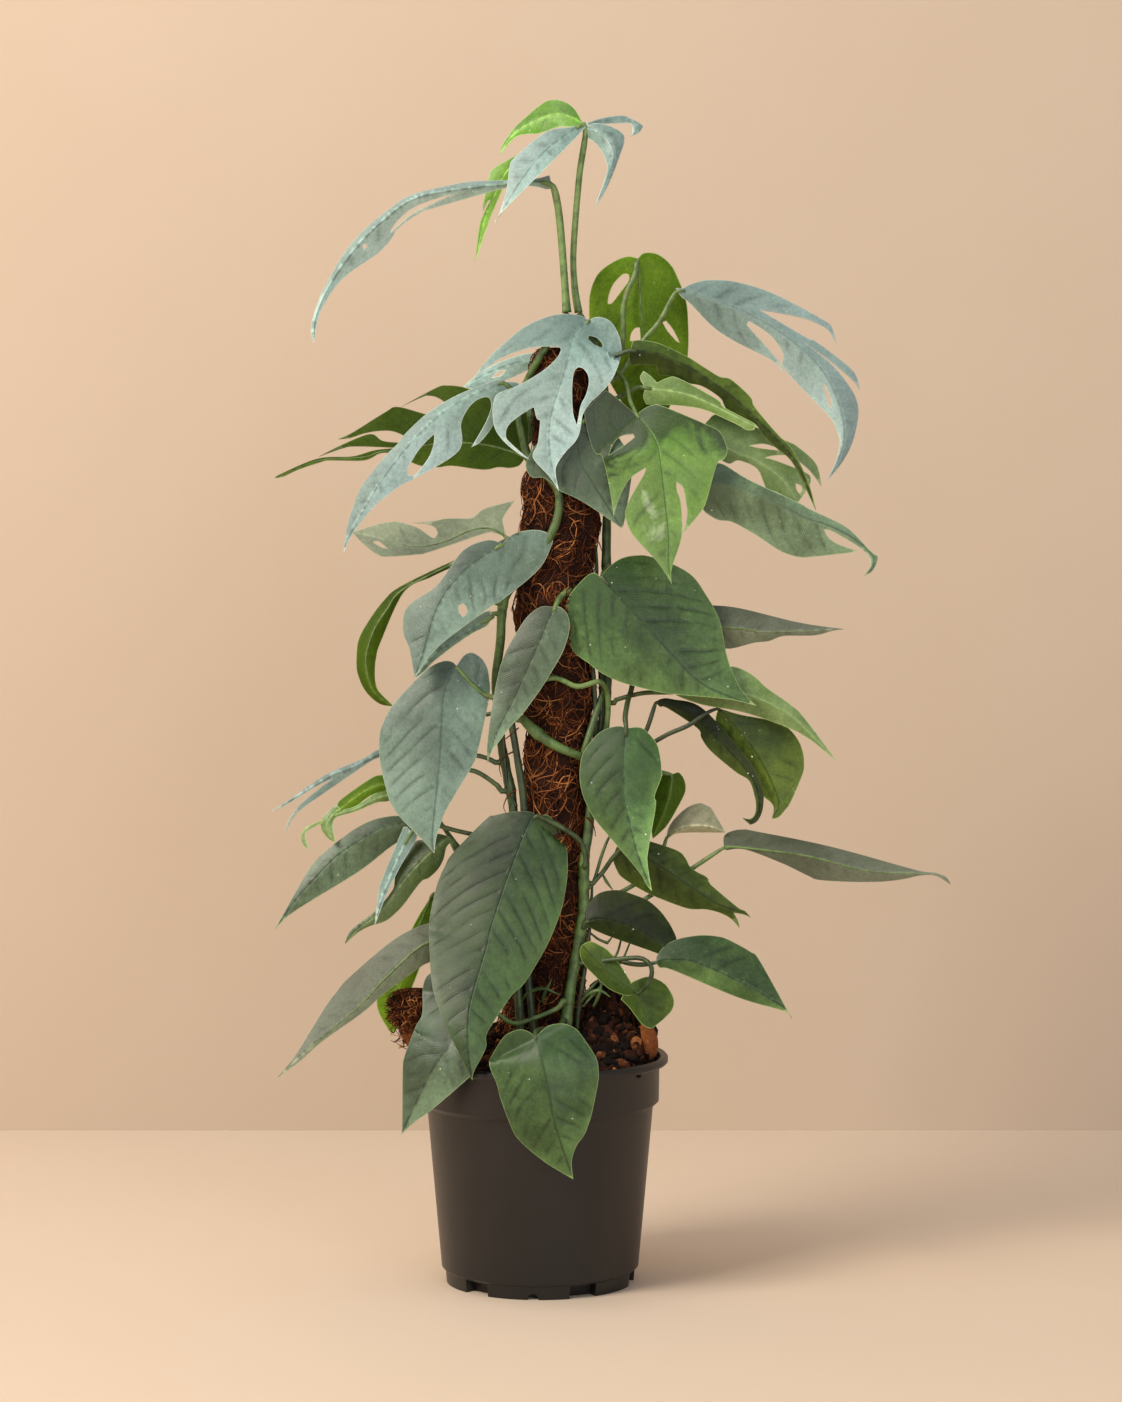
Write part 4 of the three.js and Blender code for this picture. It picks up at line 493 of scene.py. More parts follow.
@dataclass(frozen=True)
class StageFinish:
    """Plain pale plaster for the floor and the wall behind, open to a camera behind the wall."""

    name: str
    face: str

    def material(self) -> bpy.types.Material:
        """Return the plain stage material, which shows only from its front.

        Returns:
            The material.
        """
        s = Shader(self.name)
        cloud = s.noise(3.0, 4.0, 0.6)
        plain = s.node("ShaderNodeBsdfPrincipled", {}, {
            "Base Color": s.mix(paint(self.face), paint("#ffffff"), cloud * 0.06),
            "Roughness": 0.85,
        })
        behind = s.node("ShaderNodeNewGeometry", {}, {}, "Backfacing")
        clear = s.node("ShaderNodeBsdfTransparent", {}, {})
        shown = s.node("ShaderNodeMixShader", {}, {0: behind, 1: plain, 2: clear})
        s.tree.links.new(shown.socket, s.output.inputs["Surface"])
        return s.material


FRONT: dict[Skin, LeafFinish] = {
    Skin.SILVER: LeafFinish("silver_blue", "#a0b9b2", "#7e998f", "#738d83", "#c6d6c8", 0.4, 0.35, 1.0,
        quilt=0.0003),
    Skin.TEAL: LeafFinish("grey_teal", "#7d9785", "#546959", "#4c6152", "#a8b696", 0.38, 0.5),
    Skin.SAGE: LeafFinish("sage_green", "#70896a", "#48593f", "#42533a", "#a0b086", 0.38, 0.5),
    Skin.GREEN: LeafFinish("mature_green", "#5b7a43", "#334c26", "#2a3f1e", "#93a76a", 0.38, 0.55,
        sheen=0.36),
    Skin.DEEP: LeafFinish("deep_green", "#49591f", "#263410", "#212d0a", "#6f8148", 0.42, 0.5, sheen=0.2),
    Skin.LIME: LeafFinish("fresh_lime", "#8aa366", "#5f7c38", "#93b16c", "#b9d08a", 0.36, 0.4, 0.8),
    Skin.VIVID: LeafFinish("vivid_green", "#7cae38", "#588a22", "#8dbb55", "#b9d88a", 0.36, 0.4, 0.8,
        sheen=0.3),
    Skin.BLOTCHED: LeafFinish("blotched_lime", "#82a84a", "#5f8834", "#557a35", "#a9c47e", 0.36, 0.4, 0.8,
                              blotch="#36491f"),
    Skin.OLIVE: LeafFinish("olive_underside", "#638218", "#48670d", "#7d9a3e", "#a3b670", 0.5, 0.45, 0.3,
        sheen=0.1),
    Skin.ASH: LeafFinish("ash_underside", "#8a957a", "#747f62", "#a1aa8e", "#a9b394", 0.5, 0.3, 0.4),
    Skin.PALE: LeafFinish("pale_underside", "#8f9074", "#7c7d60", "#a6a586", "#b3b294", 0.55, 0.3, 0.2),
}
# The face turned away from the viewer
BEHIND: dict[Skin, Skin] = {
    Skin.SILVER: Skin.ASH, Skin.TEAL: Skin.ASH, Skin.SAGE: Skin.ASH, Skin.GREEN: Skin.OLIVE,
    Skin.DEEP: Skin.OLIVE, Skin.LIME: Skin.OLIVE, Skin.VIVID: Skin.OLIVE, Skin.BLOTCHED: Skin.OLIVE,
    Skin.OLIVE: Skin.GREEN, Skin.ASH: Skin.TEAL, Skin.PALE: Skin.TEAL,
}
SKIN_SLOT: dict[Skin, Slot] = {
    Skin.SILVER: Slot.BLUE, Skin.TEAL: Slot.TEAL, Skin.SAGE: Slot.GREEN, Skin.GREEN: Slot.GREEN,
    Skin.DEEP: Slot.DARK, Skin.LIME: Slot.BRIGHT, Skin.VIVID: Slot.BRIGHT, Skin.BLOTCHED: Slot.BRIGHT,
    Skin.OLIVE: Slot.UNDERSIDE, Skin.ASH: Slot.UNDERSIDE, Skin.PALE: Slot.UNDERSIDE,
}
STEM_GREEN = StemFinish("stem_green", "#566f38", "#344a1e", "#6d5a3a")
STALK_GREEN = StemFinish("stalk_green", "#6c8448", "#48602d", "#7f7350", 0.4)
STALK_DARK = StemFinish("stalk_dark", "#40522b", "#24310f", "#4a3f26", 0.45)
# The mat's nearly black colour is painted shade deep between its fibres.
COIR_MAT = CoirFinish("coir_mat", "#0b0401", "#2a1205", "#5c2e12")
HUSK_SHELL = CoirFinish("husk_shell", "#2a1004", "#874b22", "#c78a52")
COIR_FIBRE = CoirFinish("coir_fibre", "#220b02", "#713915", "#d89050", loose=True)
BARK = BarkFinish("bark", "#0c0401", "#43200c", "#b0703c")
POT_PLASTIC = PlasticFinish("charcoal_plastic", "#100f0e", "#181614", "#8b857c")
STAKE_WOOD = WoodFinish("stake_wood_grain", "#a98658", "#6f5232")


@dataclass(frozen=True)
class Panel:
    """One blade or lobe, drawn in elevation in millimetres.

    The rib runs from the stalk to the tip with a depth at each point; one and two are the margins on
    its two sides; slope is how fast each half turns away from the viewer; holes lie inside.
    """

    rib: Chain
    one: Chain
    two: Chain
    slope: tuple[float, float]
    holes: Sequence[Chain] = ()
    skin: Skin | None = None


@dataclass(frozen=True)
class LeafPlan:
    """One leaf: its CAD node, skin, vine, the height where it joins it, stalk and blades.

    tones says how light the halves at the first and second margin are, as painted light and shade on each
    half; girth is the stalk's radius in millimetres, and stem says how light the stalk is.
    """

    node: str
    skin: Skin
    vine: str | None
    height: float
    stalk: Chain
    panels: Sequence[Panel]
    tones: tuple[float, float] = (0.5, 0.5)
    girth: float = 2.2
    stem: float = 0.4


@dataclass(frozen=True)
class Drawing:
    """The elevation drawing: points read on the upright plane through the pot's centre, seen from eye."""

    eye: tuple[float, float, float] = (0.0196, -3.170, 0.700)
    corner: float = 0.5

    def place(self, points: np.ndarray) -> np.ndarray:
        """Slide drawn points along the line of sight to their depth.

        Args:
            points: Rows of x, z and depth in millimetres.

        Returns:
            Rows of x, y and z in metres.
        """
        eye = np.array(self.eye)
        flat = np.column_stack((points[:, 0], np.zeros(len(points)), points[:, 1])) * MM
        reach = (points[:, 2] * MM - eye[1]) / -eye[1]
        return eye + (flat - eye) * reach[:, None]

    def smooth(self, chain: Chain | np.ndarray, step: float, loop: bool = False) -> np.ndarray:
        """Round a chain with points about every step, keeping its sharp turns.

        Args:
            chain: The points, of any width; the first two numbers are x and z.
            step: The wanted spacing in the chain's own unit.
            loop: True if the last point joins the first.

        Returns:
            The rounded chain; a loop doesn't repeat its first point.
        """
        points = np.array(chain, dtype=float)
        count = len(points)
        last = count if loop else count - 1

        def sharp(i: int) -> bool:
            """Tell whether the chain turns sharply at a point."""
            if not loop and i in (0, count - 1):
                return True
            ahead = points[(i + 1) % count, :2] - points[i % count, :2]
            behind = points[i % count, :2] - points[i - 1, :2]
            sizes = float(np.linalg.norm(ahead) * np.linalg.norm(behind))
            return float(ahead @ behind) < self.corner * sizes

        out = []
        for i in range(last):
            start, end = points[i], points[(i + 1) % count]
            before = start if sharp(i) else points[i - 1]
            after = end if sharp((i + 1) % count if loop else i + 1) else points[(i + 2) % count]
            pieces = max(1, round(float(np.linalg.norm(end[:2] - start[:2])) / step))
            pull, push = (end - before) / 2, (after - start) / 2
            for t in np.arange(pieces) / pieces:
                out.append(start + pull * t + (3 * (end - start) - 2 * pull - push) * t * t
                           + (2 * (start - end) + pull + push) * t ** 3)
        if not loop:
            out.append(points[-1])
        return np.array(out)


DRAWING = Drawing()


@dataclass
class Solid:
    """Vertices in metres, faces, and a number at each vertex for each named attribute."""

    points: np.ndarray
    faces: list[Sequence[int]]
    marks: dict[str, np.ndarray] = field(default_factory=dict)
    paints: list[int] = field(default_factory=list)

    def raise_object(self, name: str, materials: Sequence[bpy.types.Material]) -> bpy.types.Object:
        """Make the object.

        Args:
            name: The object's name.
            materials: Its material slots, in order.

        Returns:
            The new object, with smooth faces.
        """
        mesh = bpy.data.meshes.new(name)
        mesh.from_pydata(self.points.tolist(), [], self.faces)
        for material in materials:
            mesh.materials.append(material)
        for key, values in self.marks.items():
            layer = mesh.attributes.new(key, "FLOAT", "POINT")
            layer.data.foreach_set("value", np.asarray(values, dtype=np.float32))
        if self.paints:
            mesh.polygons.foreach_set("material_index", self.paints)
        mesh.polygons.foreach_set("use_smooth", [True] * len(mesh.polygons))
        mesh.update()
        piece = bpy.data.objects.new(name, mesh)
        bpy.context.scene.collection.objects.link(piece)
        return piece

    @staticmethod
    def joined(solids: Sequence["Solid"]) -> "Solid":
        """Return many solids as one.

        Args:
            solids: Solids that carry the same attributes.

        Returns:
            The joined solid.
        """
        points = np.concatenate([s.points for s in solids])
        faces: list[Sequence[int]] = []
        base = 0
        for solid in solids:
            faces.extend([tuple(i + base for i in face) for face in solid.faces])
            base += len(solid.points)
        marks = {key: np.concatenate([s.marks[key] for s in solids]) for key in solids[0].marks}
        return Solid(points, faces, marks, [p for s in solids for p in s.paints])


class Bench:
    """Small jobs done with Blender's own operators."""

    @staticmethod
    def pick(*pieces: bpy.types.Object) -> None:
        """Select only these pieces and make the first active.

        Args:
            pieces: The pieces to select; the first becomes active.
        """
        bpy.ops.object.select_all(action="DESELECT")
        for piece in pieces:
            piece.select_set(True)
        bpy.context.view_layer.objects.active = pieces[0]

    @staticmethod
    def modify(piece: bpy.types.Object, kind: str, **settings: object) -> None:
        """Add one modifier to a piece and apply it.

        Args:
            piece: The piece to change.
            kind: The type of the modifier.
            settings: Its settings, by name.
        """
        Bench.pick(piece)
        bpy.ops.object.modifier_add(type=kind)
        modifier = piece.modifiers[-1]
        for key, value in settings.items():
            setattr(modifier, key, value)
        bpy.ops.object.modifier_apply(modifier=modifier.name)

    @staticmethod
    def join(first: bpy.types.Object, *others: bpy.types.Object) -> bpy.types.Object:
        """Join pieces into the first and return it.

        Args:
            first: The piece that stays.
            others: The pieces that go into it.

        Returns:
            The first piece.
        """
        Bench.pick(first, *others)
        bpy.ops.object.join()
        return first

    @staticmethod
    def settle(piece: bpy.types.Object, slot: Slot, *nodes: str) -> bpy.types.Object:
        """Hand a finished piece over to the frame.

        Args:
            piece: The piece, in place.
            slot: The slot name of the piece; not used.
            nodes: The CAD nodes that it stands for.

        Returns:
            The piece.
        """
        Bench.pick(piece)
        bpy.ops.object.transform_apply(location=True, rotation=True, scale=True)
        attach(piece, "root")
        if nodes:
            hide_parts(*nodes)
        triangles = sum(len(p.vertices) - 2 for p in piece.data.polygons)
        LOG.info("%s: %d triangles", piece.name, triangles)
        return piece


def tube(points: np.ndarray, radii: np.ndarray, sides: int, tone: float | np.ndarray = 0.5) -> Solid:
    """Sweep a round section along a path and close both ends.

    Args:
        points: The path in metres.
        radii: The radius at each point in metres.
        sides: How many sides the section has.
        tone: The value of the tone attribute, for the whole tube or for each point.

    Returns:
        The closed tube.
    """
    ahead = np.gradient(points, axis=0)
    ahead /= np.linalg.norm(ahead, axis=1)[:, None] + 1e-12
    across = np.array((0.31, 0.94, 0.11))
    turn = 2 * np.pi * np.arange(sides) / sides
    rings = []
    for centre, along, radius in zip(points, ahead, radii):
        across = across - along * (across @ along)
        across /= np.linalg.norm(across)
        other = np.cross(along, across)
        rings.append(centre + radius * (np.outer(np.cos(turn), across) + np.outer(np.sin(turn), other)))
    faces: list[Sequence[int]] = []
    for i in range(0, (len(points) - 1) * sides, sides):
        for k in range(sides):
            following = (k + 1) % sides
            faces.append((i + k, i + following, i + sides + following, i + sides + k))
    last = (len(points) - 1) * sides
    faces.append(tuple(range(sides - 1, -1, -1)))
    faces.append(tuple(range(last, last + sides)))
    verts = np.concatenate(rings)
    marks = {key: np.zeros(len(verts)) for key in ("along", "aside", "edge")}
    marks["tone"] = np.repeat(np.broadcast_to(tone, len(points)), sides).astype(float)
    return Solid(verts, faces, marks)


@dataclass
class Blade:
    """A thin leaf blade cut to its drawn outline, with a crease, a bow and quilting between veins."""

    panel: Panel
    spacing: float = 2.5
    rim: float = 2.0
    bow: float = 0.1
    quilt: float = 0.09
    vein_gap: float = 19.0

    def __post_init__(self) -> None:
        """Round the rib, the margins and the holes."""
        rib, one, two = self.panel.rib, self.panel.one, self.panel.two
        start, tip = tuple(rib[0][:2]), tuple(rib[-1][:2])
        self.rib = DRAWING.smooth(rib, 3.0)
        near = DRAWING.smooth([start, *one, tip], self.rim)
        far = DRAWING.smooth([start, *two, tip], self.rim)
        self.outline = np.concatenate((near, far[-2:0:-1]))
        self.tip_at = len(near) - 1
        self.openings = [DRAWING.smooth(hole, self.rim, loop=True) for hole in self.panel.holes]
        steps = np.linalg.norm(np.diff(self.rib[:, :2], axis=0), axis=1)
        self.runs = np.concatenate(((0.0,), np.cumsum(steps)))
        _, away, _, side = self._beside(np.array(one, dtype=float))
        self.near_sign = np.sign((side * away).sum())

    @staticmethod
    def _away(points: np.ndarray, start: np.ndarray, end: np.ndarray) -> tuple[np.ndarray, np.ndarray]:
        """Return how far points are from segments, and where on each segment, as two tables.

        Args:
            points: Places on the drawing, one a row.
            start: Where each segment starts.
            end: Where each segment ends.

        Returns:
            The distances and the shares along, a row for each point and a column for each segment.
        """
        span = end - start
        size = np.maximum((span ** 2).sum(axis=1), 1e-9)
        reach = points[:, None, :] - start[None, :, :]
        t = np.clip((reach * span).sum(axis=2) / size, 0, 1)
        gap = reach - t[:, :, None] * span
        return np.sqrt((gap ** 2).sum(axis=2)), t

    def _beside(self, points: np.ndarray) -> tuple[np.ndarray, np.ndarray, np.ndarray, np.ndarray]:
        """Return distance along the rib, distance from it, its depth, and the side, for each point.

        Args:
            points: Places on the drawing, one a row.

        Returns:
            The four measures, each with one number a point. The side is 1 or -1.
        """
        start, end = self.rib[:-1, :2], self.rib[1:, :2]
        away, t = self._away(points, start, end)
        best = away.argmin(axis=1)
        row = np.arange(len(points))
        t_best = t[row, best]
        along = self.runs[best] + (self.runs[best + 1] - self.runs[best]) * t_best
        depth = self.rib[best, 2] + (self.rib[best + 1, 2] - self.rib[best, 2]) * t_best
        span = (end - start)[best]
        reach = points - start[best]
        side = np.sign(span[:, 0] * reach[:, 1] - span[:, 1] * reach[:, 0])
        return along, away[row, best], depth, side

    @staticmethod
    def _inside(loop: np.ndarray, points: np.ndarray) -> np.ndarray:
        """Tell which points lie inside a loop.

        Args:
            loop: The corners of the loop, in order.
            points: Places on the drawing, one a row.

        Returns:
            True for each point that lies inside.
        """
        ahead = np.roll(loop, -1, axis=0)
        x, z = points[:, :1], points[:, 1:2]
        spans = (loop[:, 1] > z) != (ahead[:, 1] > z)
        rise = np.where(ahead[:, 1] == loop[:, 1], 1e-9, ahead[:, 1] - loop[:, 1])
        cross = x < (ahead[:, 0] - loop[:, 0]) * (z - loop[:, 1]) / rise + loop[:, 0]
        return (spans & cross).sum(axis=1) % 2 == 1

    def _kept(self, points: np.ndarray) -> np.ndarray:
        """Tell which points lie on the blade and outside its holes.

        Args:
            points: Places on the drawing, one a row.

        Returns:
            True for each point that is kept.
        """
        kept = self._inside(self.outline, points)
        for opening in self.openings:
            kept &= ~self._inside(opening, points)
        return kept

    def _edge(self, points: np.ndarray) -> np.ndarray:
        """Return how far each point is from the nearest margin.

        Args:
            points: Places on the drawing, one a row.

        Returns:
            The distance of each point, in millimetres.
        """
        gaps = [self._away(points, loop, np.roll(loop, -1, axis=0))[0].min(axis=1)
                for loop in (self.outline, *self.openings)]
        return np.min(gaps, axis=0)

    def sheet(self, tones: tuple[float, float]) -> Solid:
        """Triangulate the blade and set every point at its depth.

        Args:
            tones: How light the halves at the first and second margin are, as painted light and shade.

        Returns:
            A sheet facing the viewer, with its vein attributes.
        """
        low, high = self.outline.min(axis=0), self.outline.max(axis=0)
        rows = np.arange(low[1], high[1], self.spacing * 0.866)
        grid = np.array([(x + (i % 2) * self.spacing / 2, z) for i, z in enumerate(rows)
                         for x in np.arange(low[0], high[0], self.spacing)])
        grid = grid[self._kept(grid)]
        if len(grid):
            clear_of_rib = self._beside(grid)[1] > self.spacing * 0.45
            grid = grid[(self._edge(grid) > self.spacing * 0.5) & clear_of_rib]
        inner = self.rib[1:-1, :2]
        loops = [self.outline, *self.openings]
        flat = np.concatenate((*loops, inner, grid)) if len(grid) else np.concatenate((*loops, inner))
        edges: list[tuple[int, int]] = []
        base = 0
        for loop in loops:
            count = len(loop)
            edges += [(base + i, base + (i + 1) % count) for i in range(count)]
            base += count
        spine = [0, *range(base, base + len(inner)), self.tip_at]
        edges += list(zip(spine, spine[1:]))
        made = delaunay_2d_cdt([Vector(p) for p in flat.tolist()], edges, [], 0, 1e-4, False)
        flat = np.array([tuple(p) for p in made[0]])
        faces = np.array([tuple(f) for f in made[2]])
        faces = faces[self._kept(flat[faces].mean(axis=1))]
        used, faces = np.unique(faces, return_inverse=True)
        return self._raised(flat[used], faces.reshape(-1, 3), tones)

    def _raised(self, flat: np.ndarray, faces: np.ndarray, tones: tuple[float, float]) -> Solid:
        """Give each flat point its depth and its marks.

        Args:
            flat: Places on the drawing, one a row.
            faces: Three corners a row.
            tones: How light the halves at the first and second margin are, as painted light and shade.

        Returns:
            The sheet, bent and creased.
        """
        along, away, depth, side = self._beside(flat)
        edge = self._edge(flat)
        slope = np.where(side == self.near_sign, *self.panel.slope)
        share = away / np.maximum(away + edge, 1e-6)
        wide = away + edge
        phase = (along - away * 0.7 - away * away * 0.008) / self.vein_gap
        veins = np.cos(2 * np.pi * phase) * np.clip(away / 8, 0, 1) * np.clip(edge / 10, 0, 1)
        wave = np.sin(along / 11.0 + side * 1.3) * share ** 2 * np.clip(wide / 30, 0, 1) * 1.1
        groove = 0.12 * np.exp(-(away / 1.3) ** 2)
        full = depth + slope * away + self.bow * share ** 2 * wide + veins * self.quilt + wave + groove
        # Painted light and shade: one brightness for each half of the blade.
        tone = np.where(side == self.near_sign, *tones)
        marks = {"along": along, "aside": away * side, "edge": edge, "tone": tone}
        return Solid(DRAWING.place(np.column_stack((flat, full))), faces.tolist(), marks)

    def keel(self, below: float) -> Solid:
        """Return the raised midrib on the underside.

        Args:
            below: 1 if the underside is turned away from the viewer, or -1.

        Returns:
            A thin tapering tube.
        """
        path = self.rib[:max(3, int(len(self.rib) * 0.93)):2].copy()
        share = np.linspace(0, 1, len(path))
        girth = np.clip(self.runs[-1] / 160, 0.45, 1.0)
        radii = girth * (1.15 - 0.9 * share)
        path[:, 2] += below * (0.2 + radii * 0.5) + 0.5
        return tube(DRAWING.place(path), radii * MM, 6)


@dataclass
class Leaf:
    """One leaf with its blades, raised midribs and stalk."""

    plan: LeafPlan
    vines: dict[str, "Vine"]
    thickness: float = 0.0006

    def _stalk(self) -> Solid:
        """Return the stalk, from inside the blade to its vine.

        Returns:
            A tapered tube from the vine to the blade.
        """
        rib = DRAWING.place(np.array(self.plan.panels[0].rib[:2], dtype=float))
        route = DRAWING.place(np.array(self.plan.stalk, dtype=float))
        points = [rib[0] + (rib[1] - rib[0]) * 0.25, *route]
        if self.plan.vine:
            points += self.vines[self.plan.vine].reach(self.plan.height, route[-1])
        path = self._rounded(np.array(points))
        share = np.linspace(0, 1, len(path))
        swell, foot = np.clip(share * 6, 0, 1), np.clip(share * 5 - 4, 0, 1)
        radii = self.plan.girth * (0.62 + 0.38 * swell + 0.3 * foot)
        return tube(path, radii * MM, 10, self.plan.stem)

    @staticmethod
    def _rounded(points: np.ndarray) -> np.ndarray:
        """Round a path in space with a point about every 4 mm.

        Args:
            points: The corners of the path, in metres.

        Returns:
            The points of the rounded path.
        """
        out = []
        for i in range(len(points) - 1):
            start, end = points[i], points[i + 1]
            before = points[i - 1] if i else start
            after = points[i + 2] if i + 2 < len(points) else end
            length = float(np.linalg.norm(end - start))
            if length < 1e-6:
                continue
            pull, push = (end - before) / 2, (after - start) / 2
            cap = length * 1.1
            pull *= min(1.0, cap / (float(np.linalg.norm(pull)) + 1e-9))
            push *= min(1.0, cap / (float(np.linalg.norm(push)) + 1e-9))
            for t in np.arange(max(1, round(length / 0.004))) / max(1, round(length / 0.004)):
                out.append(start + pull * t + (3 * (end - start) - 2 * pull - push) * t * t
                           + (2 * (start - end) + pull + push) * t ** 3)
        out.append(points[-1])
        return np.array(out)

    def build(self, wardrobe: "Wardrobe") -> bpy.types.Object:
        """Make the leaf's piece, which stands for its CAD node.

        Args:
            wardrobe: The materials of the plant.

        Returns:
            The finished leaf.
        """
        plan = self.plan
        skins = [panel.skin or plan.skin for panel in plan.panels]
        fronts = list(dict.fromkeys(skins))
        sheets = []
        for panel, skin in zip(plan.panels, skins):
            sheet = Blade(panel).sheet(plan.tones)
            sheet.paints = [fronts.index(skin)] * len(sheet.faces)
            sheets.append(sheet)
        materials = [wardrobe.leaf(skin) for skin in fronts]
        materials += [wardrobe.leaf(BEHIND[skin]) for skin in fronts]
        piece = Solid.joined(sheets).raise_object(f"{plan.node}_grown", materials)
        Bench.modify(piece, "SOLIDIFY", thickness=self.thickness, offset=0.0, use_rim=True,
                     material_offset=len(fronts))
        Bench.pick(piece)
        bpy.ops.object.shade_smooth_by_angle(angle=math.radians(50))
        turned = {Skin.OLIVE, Skin.ASH, Skin.PALE}
        keels = [Blade(panel).keel(-1.0 if skin in turned else 1.0)
                 for panel, skin in zip(plan.panels, skins)]
        stems = Solid.joined([self._stalk(), *keels])
        stalk = stems.raise_object(f"{plan.node}_stalk", [wardrobe.stalk(plan.skin)])
        Bench.join(piece, stalk)
        return Bench.settle(piece, SKIN_SLOT[plan.skin], plan.node)


